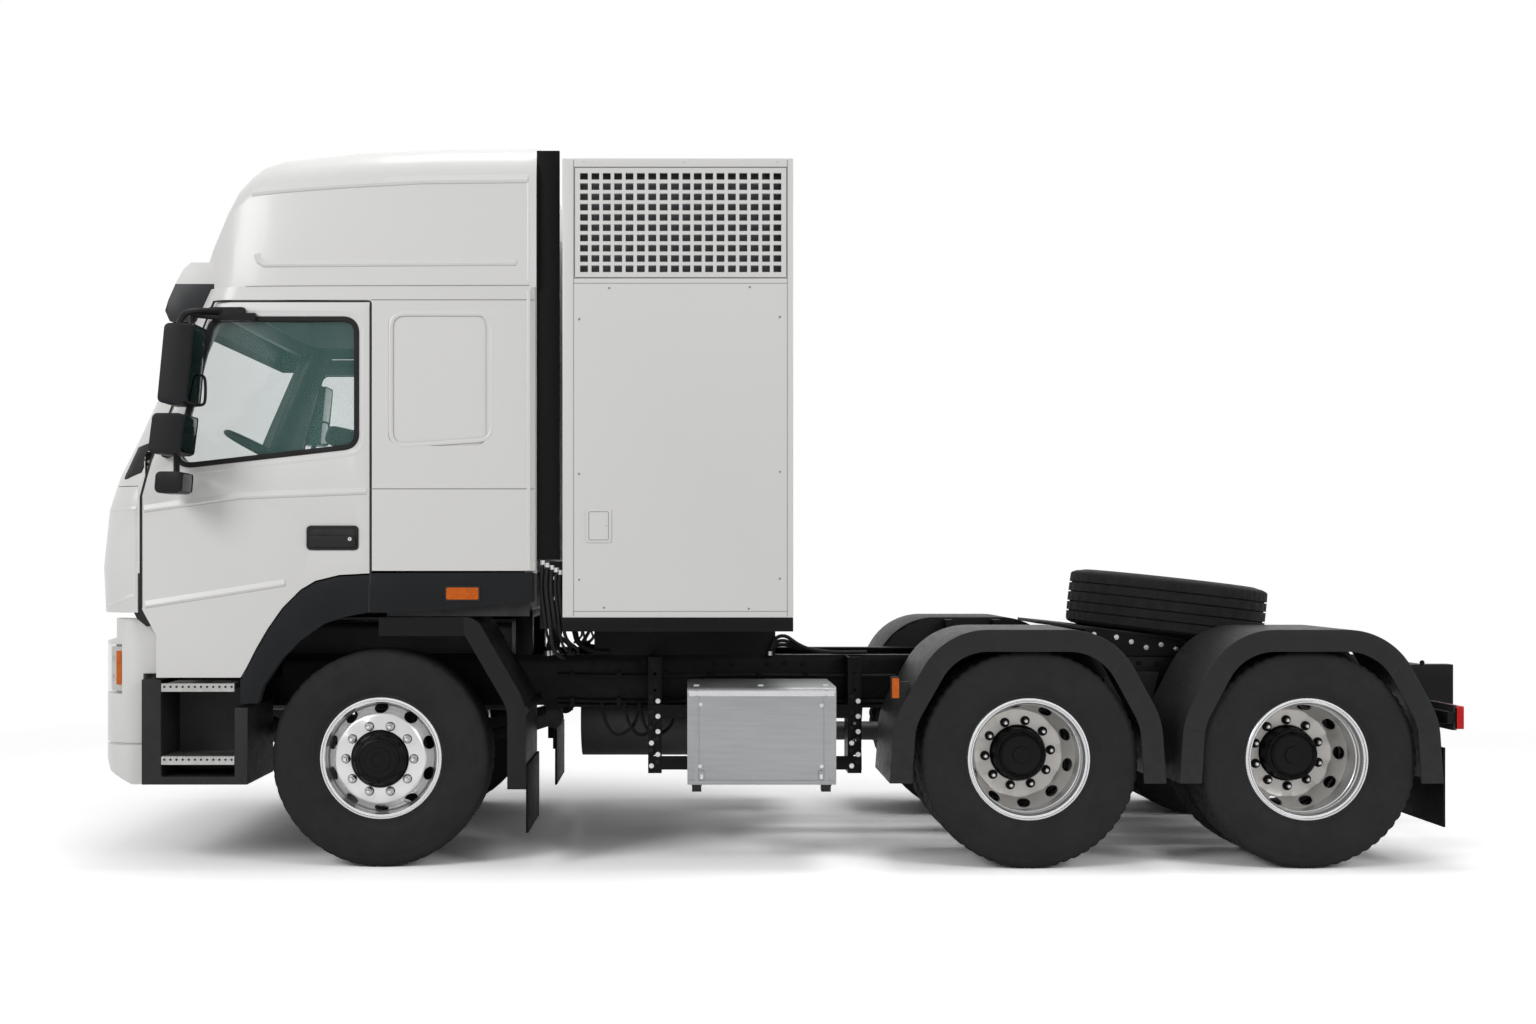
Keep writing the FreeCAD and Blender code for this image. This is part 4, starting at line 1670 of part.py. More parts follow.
def lamp_bars():
    bar = box(LAMP_BAR_X, LAMP_BAR_X + LAMP_BAR_W, -FENDER_OUT_Y + FENDER_LIP_T, -RAIL_OUT_Y,
              LAMP_BAR_Z, LAMP_BAR_Z + LAMP_BAR_H)
    return bar


def make_body():
    bumper, lamp = bumper_pieces()
    save("front_bumper", [bumper])
    save("headlamps", both(lamp))
    save("step_boxes", both(left_step_box()))
    treads = left_treads()
    save("step_treads", treads + [mirrored(item) for item in treads])
    save("front_mudguards", both(left_mudguard()))
    fenders = [left_fender(x, *reach) for x, reach in zip(REAR_AXLES, FENDER_REACHES)]
    save("rear_fenders", fenders + [mirrored(item) for item in fenders])
    arms = [lamp_bars()]
    for x, reaches in zip(REAR_AXLES, FENDER_ARM_REACHES):
        arms += left_fender_arms(x, reaches)
    save("fender_arms", arms + [mirrored(item) for item in arms])
    save("mud_flaps", flaps())
    save("tail_lamps", tail_lamps())


# Cabinet, side box and tanks

def grille_panel(x0, x1, y, thick):
    plate = box(x0, x1, y, y + thick, GRILLE_BOTTOM, GRILLE_TOP)
    pitch_x = (x1 - x0 - 2 * GRILLE_FRAME) / GRILLE_COLUMNS
    pitch_z = (GRILLE_TOP - GRILLE_BOTTOM - 2 * GRILLE_FRAME) / GRILLE_ROWS
    holes = []
    for column in range(GRILLE_COLUMNS):
        hx = x0 + GRILLE_FRAME + column * pitch_x + GRILLE_BAR / 2
        for row in range(GRILLE_ROWS):
            hz = GRILLE_BOTTOM + GRILLE_FRAME + row * pitch_z + GRILLE_BAR / 2
            holes.append(box(hx, hx + pitch_x - GRILLE_BAR, y - OVERRUN, y + thick + OVERRUN,
                             hz, hz + pitch_z - GRILLE_BAR))
    return plate.cut(Part.makeCompound(holes))


def cabinet():
    wall = CABINET_WALL
    body = box(CABINET_FRONT_X, CABINET_REAR_X, -CABINET_HALF, CABINET_HALF, CABINET_BOTTOM, CABINET_TOP)
    hollow = box(CABINET_FRONT_X + wall, CABINET_REAR_X - wall, -CABINET_HALF + wall, CABINET_HALF - wall,
                 CABINET_BOTTOM + wall, CABINET_TOP - wall)
    x0, x1 = CABINET_FRONT_X + CABINET_POST, CABINET_REAR_X - GRILLE_REAR_MARGIN
    window = box(x0 - PANEL_JOINT, x1 + PANEL_JOINT, -CABINET_HALF - OVERRUN, -CABINET_HALF + wall + OVERRUN,
                 GRILLE_BOTTOM - PANEL_JOINT, GRILLE_TOP + PANEL_JOINT)
    shell = body.cut(hollow).cut(window).cut(mirrored(window))
    ledge = box(x0 - PANEL_JOINT, x1 + PANEL_JOINT, -CABINET_HALF + GRILLE_T, -CABINET_HALF + wall,
                GRILLE_BOTTOM - PANEL_JOINT, GRILLE_TOP + PANEL_JOINT)
    clear = box(x0 + GRILLE_FRAME, x1 - GRILLE_FRAME, -CABINET_HALF, -CABINET_HALF + wall + OVERRUN,
                GRILLE_BOTTOM + GRILLE_FRAME, GRILLE_TOP - GRILLE_FRAME)
    ledge = ledge.cut(clear)
    grille = grille_panel(x0, x1, -CABINET_HALF, GRILLE_T)
    return fuse([shell] + both(ledge)), grille


def cabinet_base():
    beams = []
    for y in (-CABINET_HALF, CABINET_HALF - CABINET_POST):
        beams.append(box(CABINET_FRONT_X, CABINET_REAR_X, y, y + CABINET_POST,
                         CABINET_BOTTOM - BASE_DEPTH, CABINET_BOTTOM))
    for share in BASE_FOOT_SHARES:
        x = CABINET_FRONT_X + share * (CABINET_REAR_X - CABINET_FRONT_X)
        beams.append(box(x - BASE_FOOT_HALF_X, x + BASE_FOOT_HALF_X, -CABINET_HALF, CABINET_HALF,
                         CABINET_BOTTOM - BASE_DEPTH, CABINET_BOTTOM))
        for side in (-1, 1):
            y0, y1 = sorted((side * RAIL_IN_Y, side * RAIL_OUT_Y))
            beams.append(box(x - BASE_FOOT_HALF_X, x + BASE_FOOT_HALF_X, y0, y1, RAIL_TOP,
                             CABINET_BOTTOM - BASE_DEPTH))
    return fuse(beams)


def inner_block(z0, z1):
    gap = CABINET_WALL + BLOCK_CLEAR
    return box(CABINET_FRONT_X + CABINET_WALL, CABINET_REAR_X - CABINET_WALL, -CABINET_HALF + gap,
               CABINET_HALF - gap, z0, z1)


def side_box():
    points = [
        (-BOX_OUT_Y, BOX_BOTTOM), (-BOX_IN_Y - SEAT_GAP, BOX_BOTTOM), (-BOX_IN_Y - SEAT_GAP, BOX_TOP),
        (-BOX_OUT_Y, BOX_TOP, BOX_EDGE_R),
    ]
    return prism(points, "yz", BOX_FRONT_X, BOX_REAR_X)


def left_hangers():
    pieces = []
    for x in HANGER_XS:
        strap = box(x, x + HANGER_W, -HANGER_OUT_Y, -HANGER_OUT_Y + HANGER_T, HANGER_BOTTOM, RAIL_TOP)
        pitch = (RAIL_TOP - HANGER_BOTTOM) / (HANGER_HOLES + 1)
        for i in range(HANGER_HOLES):
            strap = strap.cut(peg(x + HANGER_W / 2, -HANGER_OUT_Y - OVERRUN, HANGER_BOTTOM + pitch * (i + 1),
                                  HANGER_HOLE_R, HANGER_T + 2 * OVERRUN))
        gusset = box(x, x + HANGER_T, -HANGER_OUT_Y, -RAIL_OUT_Y, HANGER_BOTTOM, RAIL_TOP)
        pieces += [strap, gusset]
    for z in (CROSSBAR_Z, CROSSBAR_Z + RAIL_DEPTH):
        pieces.append(box(HANGER_XS[0], HANGER_XS[1] + HANGER_W, -BOX_IN_Y, -HANGER_OUT_Y + HANGER_T,
                          z, z + CROSSBAR_DEPTH))
    return fuse(pieces)


def air_tank(y):
    half = TANK_LENGTH / 2
    near = [(0, half), (TANK_R / 2, half - TANK_DOME / 4), (TANK_R, half - TANK_DOME)]
    far = [(radius, -along) for radius, along in reversed(near)]
    return turned(near + far, TANK_MID_X, y, TANK_AXIS_Z, TURN_SIDES, "x")


def right_cradles():
    pieces = []
    top = TANK_AXIS_Z - TANK_R
    for share in (-CRADLE_SHARE, CRADLE_SHARE):
        x = TANK_MID_X + share * TANK_LENGTH
        arm = box(x - CRADLE_W / 2, x + CRADLE_W / 2, RAIL_OUT_Y, TANK_YS[1], top - CRADLE_DEPTH, top)
        post = box(x - CRADLE_W / 2, x + CRADLE_W / 2, RAIL_OUT_Y, RAIL_OUT_Y + CRADLE_DEPTH,
                   top - CRADLE_DEPTH, RAIL_TOP)
        pieces.append(fuse([arm, post]))
    return pieces


def make_cabinet():
    shell, grille = cabinet()
    save("cabinet_shell", [shell])
    save("cabinet_grilles", both(grille))
    save("cabinet_base", [cabinet_base()])
    save("battery_block", [inner_block(CABINET_BOTTOM + CABINET_WALL, CABINET_TOP - CABINET_WALL)])
    save("side_box", [side_box()])
    save("side_hangers", [left_hangers()] + right_cradles())
    save("air_tanks", [air_tank(y) for y in TANK_YS])


# Fifth wheel and spare wheel

def fifth_plate():
    """Rocking plate, drawn level about the pivot and then tilted to rest."""
    top, under = FIFTH_TOP_UP, FIFTH_TOP_UP - FIFTH_PLATE_T
    throat = FIFTH_THROAT / 2
    points = [
        (-FIFTH_HALF_X, -FIFTH_NOSE_HALF_Y), (-FIFTH_HALF_X + FIFTH_NOSE_RUN, -FIFTH_HALF_Y,
                                              FIFTH_NOSE_RUN / 2),
        (FIFTH_HALF_X, -FIFTH_HALF_Y, FIFTH_NOSE_RUN / 3), (FIFTH_HALF_X, -FIFTH_THROAT_END),
        (FIFTH_JAW_R, -throat), (FIFTH_JAW_R, throat), (FIFTH_HALF_X, FIFTH_THROAT_END),
        (FIFTH_HALF_X, FIFTH_HALF_Y, FIFTH_NOSE_RUN / 3), (-FIFTH_HALF_X + FIFTH_NOSE_RUN, FIFTH_HALF_Y,
                                                           FIFTH_NOSE_RUN / 2),
        (-FIFTH_HALF_X, FIFTH_NOSE_HALF_Y),
    ]
    plate = prism(points, "xy", under, top)
    jaw = rod(0, 0, top - FIFTH_JAW_T, FIFTH_JAW_R, FIFTH_JAW_T, ALONG_Z)
    pieces = [plate, jaw]
    for y in (-FIFTH_LUG_Y, FIFTH_LUG_Y - FIFTH_LUG_T):
        pieces.append(rod(0, y, 0, FIFTH_LUG_R, FIFTH_LUG_T, ALONG_Y))
        pieces.append(box(-FIFTH_LUG_R, FIFTH_LUG_R, y, y + FIFTH_LUG_T, 0, under))
    body = fuse(pieces)
    for y in (-FIFTH_LUG_Y, FIFTH_LUG_Y - FIFTH_LUG_T):
        body = body.cut(rod(0, y - OVERRUN, 0, FIFTH_PIN_R + RUNNING_FIT, FIFTH_LUG_T + 2 * OVERRUN, ALONG_Y))
    body = body.cut(rod(0, 0, top - FIFTH_JAW_T - OVERRUN, FIFTH_BORE_R, FIFTH_JAW_T + 2 * OVERRUN, ALONG_Z))
    return tilted(body)


def tilted(shape):
    shape.rotate(V(0, 0, 0), ALONG_Y, FIFTH_TILT_DEG)
    shape.translate(V(FIFTH_X, 0, FIFTH_AXIS_Z))
    return shape


def fifth_base():
    plate = box(FIFTH_X - FIFTH_BASE_HALF_X, FIFTH_X + FIFTH_BASE_HALF_X, -FIFTH_BASE_HALF_Y,
                FIFTH_BASE_HALF_Y,
                RAIL_TOP, RAIL_TOP + FIFTH_BASE_T)
    pieces = [plate]
    for side in (-1, 1):
        inner = side * (FIFTH_LUG_Y + ARM_CLEAR)
        y0, y1 = sorted((inner, inner + side * FIFTH_CHEEK_T))
        cheek = prism([(FIFTH_X - 3 * FIFTH_LUG_R, RAIL_TOP), (FIFTH_X + 3 * FIFTH_LUG_R, RAIL_TOP),
                       (FIFTH_X + FIFTH_PIN_R, FIFTH_AXIS_Z + FIFTH_PIN_R, FIFTH_PIN_R / 2),
                       (FIFTH_X - FIFTH_PIN_R, FIFTH_AXIS_Z + FIFTH_PIN_R, FIFTH_PIN_R / 2)], "xz", y0, y1)
        pieces.append(cheek)
        far = FIFTH_LUG_T + ARM_CLEAR + FIFTH_CHEEK_T / 2
        pieces.append(rod(FIFTH_X, side * (FIFTH_LUG_Y - FIFTH_LUG_T), FIFTH_AXIS_Z, FIFTH_PIN_R, far,
                          ALONG_Y * side))
    return fuse(pieces)


def spare_tyre():
    level = FIFTH_TOP_UP + SPARE_GAP + TYRE_W / 2
    wheel = tyre(0, 0, 0)
    wheel.rotate(V(0, 0, 0), ALONG_X, 90)
    wheel.translate(V(SPARE_FROM_PIVOT, 0, level))
    return tilted(wheel)


def spare_wheel():
    level = FIFTH_TOP_UP + SPARE_GAP + TYRE_W / 2
    face, join = FRONT_DISC_OUT - 2 * DISC_T, FRONT_JOIN_OUT
    points = rim_points(0) + [
        (BEAD_R - RIM_T, join - DISC_T), (DISC_JOIN_R - DISC_T, join - DISC_T),
        (DISC_FLAT_R - DISC_T, face - DISC_T), (BORE_R, face - DISC_T), (BORE_R, face),
    ] + disc_points(face, join)
    wheel = wheel_solid(points, 0, 0, 1)
    wheel.translate(V(0, 0, -TYRE_R))
    wheel.rotate(V(0, 0, 0), ALONG_X, 90)
    wheel.translate(V(SPARE_FROM_PIVOT, 0, level))
    return tilted(wheel)


def make_fifth_wheel():
    save("fifth_wheel_plate", [fifth_plate()])
    save("fifth_wheel_base", [fifth_base()])
    save("spare_tyre", [spare_tyre()])
    save("spare_wheel", [spare_wheel()])


os.makedirs("parts", exist_ok=True)
make_wheels()
make_front_axle()
make_frame()
make_cab()
make_body()
make_cabinet()
make_fifth_wheel()
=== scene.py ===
import bmesh
import bpy
import json
import math
from mathutils import Matrix, Vector
from mathutils.bvhtree import BVHTree

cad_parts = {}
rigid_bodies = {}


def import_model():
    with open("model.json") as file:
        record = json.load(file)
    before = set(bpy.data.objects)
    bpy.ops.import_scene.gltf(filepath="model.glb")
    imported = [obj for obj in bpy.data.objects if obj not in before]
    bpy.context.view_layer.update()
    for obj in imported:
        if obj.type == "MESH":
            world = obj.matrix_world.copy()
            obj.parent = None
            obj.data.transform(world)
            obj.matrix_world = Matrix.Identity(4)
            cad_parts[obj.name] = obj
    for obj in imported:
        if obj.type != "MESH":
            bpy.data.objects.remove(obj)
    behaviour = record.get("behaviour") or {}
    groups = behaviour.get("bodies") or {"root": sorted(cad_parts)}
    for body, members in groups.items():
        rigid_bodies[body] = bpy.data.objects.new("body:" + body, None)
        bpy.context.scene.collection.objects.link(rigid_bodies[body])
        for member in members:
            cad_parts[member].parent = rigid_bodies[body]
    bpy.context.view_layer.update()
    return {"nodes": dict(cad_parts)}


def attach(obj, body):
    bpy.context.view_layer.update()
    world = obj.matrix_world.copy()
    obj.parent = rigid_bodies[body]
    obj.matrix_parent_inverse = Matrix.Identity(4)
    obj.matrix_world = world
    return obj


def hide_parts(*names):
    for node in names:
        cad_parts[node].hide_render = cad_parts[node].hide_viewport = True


# Tractor unit with a high-roof sleeper cab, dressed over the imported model. Lengths here are in
# millimetres from the front axle and the ground, as in the part's source; at() turns them to metres.

for thing in list(bpy.data.objects):
    bpy.data.objects.remove(thing)
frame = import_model()
NODES = frame["nodes"]
SCENE = bpy.context.scene

FRONT_AXLE = -2109.0
FIRST_AXLE = 3200.0
SECOND_AXLE = 4570.0
HALF = 1245.0
CABINET_Y = 1240.0
BOX_Y = 1235.0
RAIL_Y = 430.0
TYRE_R = 538.0
WHEEL_Y = 1020.0
TWIN_Y = 892.0
TWIN_SPREAD = 175.5
CAB_MIDDLE = (-300.0, 0.0, 2050.0)
SIDES = ((-1, "left"), (1, "right"))
DOOR_BODIES = ("left_door", "right_door")


def at(x, y, z):
    return Vector(((x + FRONT_AXLE) / 1000, y / 1000, z / 1000))


# Camera, light and floor

CAMERA_PLACE = (-0.578, -9.55, 1.52)
CAMERA_LENS = 39.77
CAMERA_SHIFT = (0.0508, 0.0312)
WORLD_LEVEL = 0.39
FLOOR_REACH = 60.0
FLOOR_LIT, FLOOR_SHOWN = 0.72, 1.62
FLOOR_FADE = (4.6, 9.0)
LIGHTS = (("key", (-8.0, -8.5, 6.4), (-0.5, 0.0, 1.3), 4.0, 4.0, 420),
          ("fill", (8.5, -8.5, 6.4), (0.5, 0.0, 1.3), 4.0, 4.0, 330),
          ("top", (0.3, 0.0, 8.5), (0.3, 0.0, 0.0), 7.0, 3.0, 270))


def make_camera():
    data = bpy.data.cameras.new("photo_camera")
    data.sensor_width = 36.0
    data.lens = CAMERA_LENS
    data.shift_x, data.shift_y = CAMERA_SHIFT
    camera = bpy.data.objects.new("photo_camera", data)
    camera.location = CAMERA_PLACE
    camera.rotation_euler = (math.radians(90), 0, 0)
    SCENE.collection.objects.link(camera)
    bpy.context.scene.camera = camera


def soft_light(name, place, aim, width, height, power):
    data = bpy.data.lights.new(name, "AREA")
    data.shape, data.size, data.size_y, data.energy = "RECTANGLE", width, height, power
    lamp = bpy.data.objects.new(name, data)
    lamp.location = place
    lamp.rotation_mode = "QUATERNION"
    lamp.rotation_quaternion = (Vector(aim) - Vector(place)).to_track_quat("-Z", "Y")
    SCENE.collection.objects.link(lamp)


def set_inputs(tree, node, values):
    """Sets a node's inputs: a socket among the values is linked, and the rest are plain values."""
    for key, value in values.items():
        if isinstance(value, bpy.types.NodeSocket):
            tree.links.new(value, node.inputs[key])
        else:
            node.inputs[key].default_value = value


def add_node(tree, kind, values=None, **settings):
    """New node, a shader node unless its kind says otherwise, with its settings and inputs."""
    node = tree.nodes.new(kind if "Node" in kind else "ShaderNode" + kind)
    for key, value in settings.items():
        setattr(node, key, value)
    set_inputs(tree, node, values or {})
    return node


def seen_rays(tree):
    """Socket that is 1 for camera, transmission and glossy rays."""
    path = add_node(tree, "LightPath")
    seen = path.outputs["Is Camera Ray"]
    for ray in ("Is Transmission Ray", "Is Glossy Ray"):
        seen = add_node(tree, "Math", {0: seen, 1: path.outputs[ray]}, operation="MAXIMUM").outputs[0]
    return seen


def make_world():
    """White world that shows at full strength and lights the object at its own level."""
    world = bpy.data.worlds.new("studio")
    SCENE.world = world
    world.use_nodes = True
    tree = world.node_tree
    tree.nodes.clear()
    white = (1, 1, 1, 1)
    lit = add_node(tree, "Background", {"Color": white, "Strength": WORLD_LEVEL})
    shown = add_node(tree, "Background", {"Color": white, "Strength": 1.0})
    mix = add_node(tree, "MixShader", {0: seen_rays(tree), 1: lit.outputs[0], 2: shown.outputs[0]})
    add_node(tree, "OutputWorld", {0: mix.outputs[0]})


def make_floor():
    """Pale floor that keeps the shadow near the object and fades to white far from it."""
    mesh = bpy.data.meshes.new("floor")
    corners = [(-1, -1), (1, -1), (1, 1), (-1, 1)]
    mesh.from_pydata([(x * FLOOR_REACH, y * FLOOR_REACH, 0) for x, y in corners], [], [(0, 1, 2, 3)])
    floor = bpy.data.objects.new("floor", mesh)
    SCENE.collection.objects.link(floor)
    material = bpy.data.materials.new("floor")
    material.use_nodes = True
    tree = material.node_tree
    tree.nodes.clear()
    plain, shown = [add_node(tree, "BsdfDiffuse", {"Color": (level, level, level, 1)}).outputs[0]
                    for level in (FLOOR_LIT, FLOOR_SHOWN)]
    place = add_node(tree, "TexCoord").outputs["Object"]
    reach = add_node(tree, "VectorMath", {0: place}, operation="LENGTH").outputs["Value"]
    near, far = FLOOR_FADE
    fade = add_node(tree, "MapRange", {"Value": reach, "From Min": near, "From Max": far}).outputs[0]
    glow = add_node(tree, "Emission").outputs[0]
    distant = add_node(tree, "MixShader", {0: fade, 1: shown, 2: glow}).outputs[0]
    mix = add_node(tree, "MixShader", {0: seen_rays(tree), 1: plain, 2: distant})
    add_node(tree, "OutputMaterial", {0: mix.outputs[0]})
    mesh.materials.append(material)


# Materials

DUST_COLOUR = (0.30, 0.27, 0.23, 1)
DUST_LOW = 0.2
NOISE_BAND = (0.3, 0.7)


def surface(name, colour, rough, metallic=0.0, spread=0.05, grain=6.0, rough_spread=0.06, bump=0.0,
            bump_grain=400.0, coat=0.0, alpha=1.0, sheen=0.0, stretch=(1, 1, 1), dust=0.0, dust_top=0.9,
            specular=0.5, splits=(), lining=None):
    """Principled material whose colour, roughness and relief vary with noise in the piece's own space.

    Each split (axis, level, above, colour) recolours one side of a level, and lining colours the
    faces that look towards the middle of the cab."""
    material = bpy.data.materials.new(name)
    material.use_nodes = True
    tree = material.node_tree
    shader = tree.nodes["Principled BSDF"]
    coordinates = add_node(tree, "TexCoord")
    place = coordinates.outputs["Object"]
    spread_out = add_node(tree, "Mapping", {"Vector": place, "Scale": stretch}).outputs[0]

    def noise(scale, detail):
        values = {"Vector": spread_out, "Scale": scale, "Detail": detail}
        return add_node(tree, "TexNoise", values).outputs["Fac"]

    def remap(value, from_low, from_high, to_low, to_high):
        return add_node(tree, "MapRange", {"Value": value, "From Min": from_low, "From Max": from_high,
                                           "To Min": to_low, "To Max": to_high}).outputs[0]

    def math_node(operation, first, second):
        return add_node(tree, "Math", {0: first, 1: second}, operation=operation).outputs[0]

    def vector_node(operation, first, second):
        return add_node(tree, "VectorMath", {0: first, 1: second}, operation=operation)

    def mixed(factor, first, second):
        return add_node(tree, "Mix", {0: factor, 6: first, 7: second}, data_type="RGBA").outputs[2]

    dark, light = [tuple(min(c * (1 + way * spread), 1.0) for c in colour) + (1,) for way in (-1, 1)]
    tone = mixed(remap(noise(grain, 5.0), *NOISE_BAND, 0, 1), dark, light)
    if dust:
        height = add_node(tree, "SeparateXYZ", {0: place}).outputs["Z"]
        fade = remap(height, dust_top, DUST_LOW, 0, dust)
        patch = math_node("MULTIPLY", fade, remap(noise(grain * 2.3, 6.0), *NOISE_BAND, 0, 1))
        tone = mixed(patch, tone, DUST_COLOUR)
    for axis, level, above, other in splits:
        part = add_node(tree, "SeparateXYZ", {0: place}).outputs[axis]
        test = math_node("GREATER_THAN" if above else "LESS_THAN", part, level)
        tone = mixed(test, tone, other + (1,))
    if lining:
        reach = vector_node("SUBTRACT", place, at(*CAB_MIDDLE)).outputs[0]
        facing = vector_node("DOT_PRODUCT", reach, coordinates.outputs["Normal"]).outputs["Value"]
        tone = mixed(math_node("LESS_THAN", facing, 0.0), tone, lining + (1,))
    gloss = remap(noise(grain * 3.1, 4.0), *NOISE_BAND, max(rough - rough_spread, 0.02), rough + rough_spread)
    if bump:
        values = {"Strength": bump, "Distance": 0.002, "Height": noise(bump_grain, 3.0)}
        relief = add_node(tree, "Bump", values)
        tree.links.new(relief.outputs[0], shader.inputs["Normal"])
    set_inputs(tree, shader, {
        "Base Color": tone, "Roughness": gloss, "Metallic": metallic, "Coat Weight": coat,
        "Coat Roughness": 0.06, "Alpha": alpha, "Specular IOR Level": specular, "Sheen Weight": sheen})
    return material


PAINT = (0.72, 0.715, 0.70)
LINING = (0.050, 0.047, 0.047)
PAINT_LOOK = dict(spread=0.006, grain=1.2, rough_spread=0.015, bump=0.02, bump_grain=900, coat=0.1,
                  dust=0.03, dust_top=1.3)
UNDER_CAB = ("Z", 1.455, False, (0.012, 0.012, 0.012))
VISOR_FOOT = ("Z", 2.884, False, (0.018, 0.019, 0.021))
# Painted shade: the mudguard's front part, inside the wheel house, is coloured near black.
GUARD_PAINTED_SHADE = ("X", -1.69, False, (0.003, 0.003, 0.003))
REAR_STRIP = ("X", -1.345, True, (0.0035, 0.0035, 0.0035))

WHITE = surface("white_paint", PAINT, 0.30, **PAINT_LOOK)
CAB_WHITE = surface("cab_paint", PAINT, 0.30, splits=[UNDER_CAB], lining=LINING, **PAINT_LOOK)
DOOR_WHITE = surface("door_paint", PAINT, 0.30, lining=LINING, **PAINT_LOOK)
VISOR = surface("visor_paint", PAINT, 0.42, spread=0.01, grain=1.2, splits=[VISOR_FOOT], specular=0.3)
# Mudguard plastic with painted shade on its front part inside the wheel house.
GUARD = surface("mudguard_plastic", (0.0115, 0.0118, 0.0122), 0.5, spread=0.12, grain=8, bump=0.25,
                bump_grain=1400, specular=0.15, splits=[GUARD_PAINTED_SHADE])
PLASTIC = surface("black_plastic", (0.014, 0.0142, 0.0148), 0.46, spread=0.12, grain=8, bump=0.25,
                  bump_grain=1400, dust=0.04, dust_top=1.0, specular=0.2)
HEAD = surface("mirror_housing", (0.0115, 0.0118, 0.0128), 0.40, spread=0.10, grain=8, bump=0.15,
               bump_grain=1500, specular=0.15)
TRIM = surface("dark_trim", (0.0135, 0.0145, 0.0158), 0.50, spread=0.1, grain=5, bump=0.3, bump_grain=1200,
               dust=0.01, specular=0.1, splits=[REAR_STRIP])
GLOSS_BLACK = surface("gloss_black", (0.003, 0.003, 0.0032), 0.40, spread=0.1, specular=0.12)
STEEL = surface("black_steel", (0.0036, 0.0036, 0.0038), 0.45, spread=0.2, grain=9, bump=0.08,
                bump_grain=260, dust=0.02, dust_top=1.1, specular=0.12)
CAST = surface("grey_castings", (0.018, 0.018, 0.0185), 0.62, spread=0.25, grain=16, bump=0.5,
               bump_grain=520, dust=0.07, dust_top=1.2, specular=0.2)
RUBBER = surface("tyre_rubber", (0.0185, 0.0185, 0.0188), 0.66, spread=0.14, grain=7, bump=0.22,
                 bump_grain=900, specular=0.15)
TREAD = surface("tread_rubber", (0.018, 0.018, 0.0182), 0.80, spread=0.2, grain=14, bump=0.4,
                bump_grain=500, specular=0.15)
FLAP = surface("rubber_flap", (0.0018, 0.0018, 0.0018), 0.65, spread=0.15, grain=6, bump=0.3,
               bump_grain=500, dust=0.01, dust_top=0.7, specular=0.1)
ALLOY = surface("polished_wheel", (0.62, 0.62, 0.62), 0.30, metallic=0.7, spread=0.02, grain=2,
                rough_spread=0.02)
SATIN = surface("satin_wheel", (0.62, 0.60, 0.57), 0.38, metallic=0.35, spread=0.03, grain=3, dust=0.04,
                dust_top=1.0)
BRIGHT = surface("bright_edge", (0.56, 0.56, 0.57), 0.24, metallic=1.0, spread=0.03, grain=9,
                 rough_spread=0.03)
SILVER = surface("silver_box", (0.29, 0.295, 0.30), 0.42, metallic=0.8, spread=0.05, grain=5, bump=0.12,
                 bump_grain=240, stretch=(1, 1, 12))
TREADPLATE = surface("tread_plate", (0.38, 0.38, 0.37), 0.36, metallic=0.9, spread=0.12, grain=30,
                     bump=0.2, bump_grain=350)
GLASS = surface("cab_glass", (0.17, 0.37, 0.34), 0.03, spread=0.03, grain=2, rough_spread=0.01, alpha=0.15)
LENS = surface("lamp_glass", (0.55, 0.58, 0.60), 0.05, spread=0.04, grain=10, rough_spread=0.02,
               alpha=0.22, coat=0.6)
RED = surface("red_lamp", (0.52, 0.008, 0.008), 0.28, spread=0.15, grain=60, specular=0.2)
ORANGE = surface("orange_lens", (0.58, 0.115, 0.008), 0.30, spread=0.12, grain=60, specular=0.2)
INTERIOR = surface("interior_grey", (0.030, 0.032, 0.034), 0.72, spread=0.15, grain=9, bump=0.3,
                   bump_grain=700)
SEAT = surface("seat_fabric", (0.030, 0.032, 0.036), 0.9, spread=0.25, grain=60, bump=0.5,
               bump_grain=900, sheen=0.3)
CASE = surface("battery_case", (0.10, 0.105, 0.11), 0.45, spread=0.08, grain=4, bump=0.06)
DRIVE = surface("drive_case", (0.045, 0.046, 0.048), 0.5, spread=0.15, grain=7, bump=0.2, bump_grain=300)
MIRROR = surface("mirror_glass", (0.10, 0.105, 0.11), 0.06, metallic=1.0, spread=0.02, grain=2,
                 rough_spread=0.01)
SCREW = surface("zinc_screw", (0.55, 0.55, 0.56), 0.34, metallic=1.0, spread=0.15, grain=80)
GROOVE = surface("seam_dark", (0.010, 0.010, 0.010), 0.8, spread=0.1)
CREASE = surface("crease_shade", (0.46, 0.455, 0.445), 0.5, spread=0.03)
SHADE = surface("seam_shade", (0.30, 0.295, 0.285), 0.6, spread=0.05)


# Mesh building

def flat_point(plane, a, b, level):
    return {"xz": (a, level, b), "yz": (level, a, b), "xy": (a, b, level)}[plane]


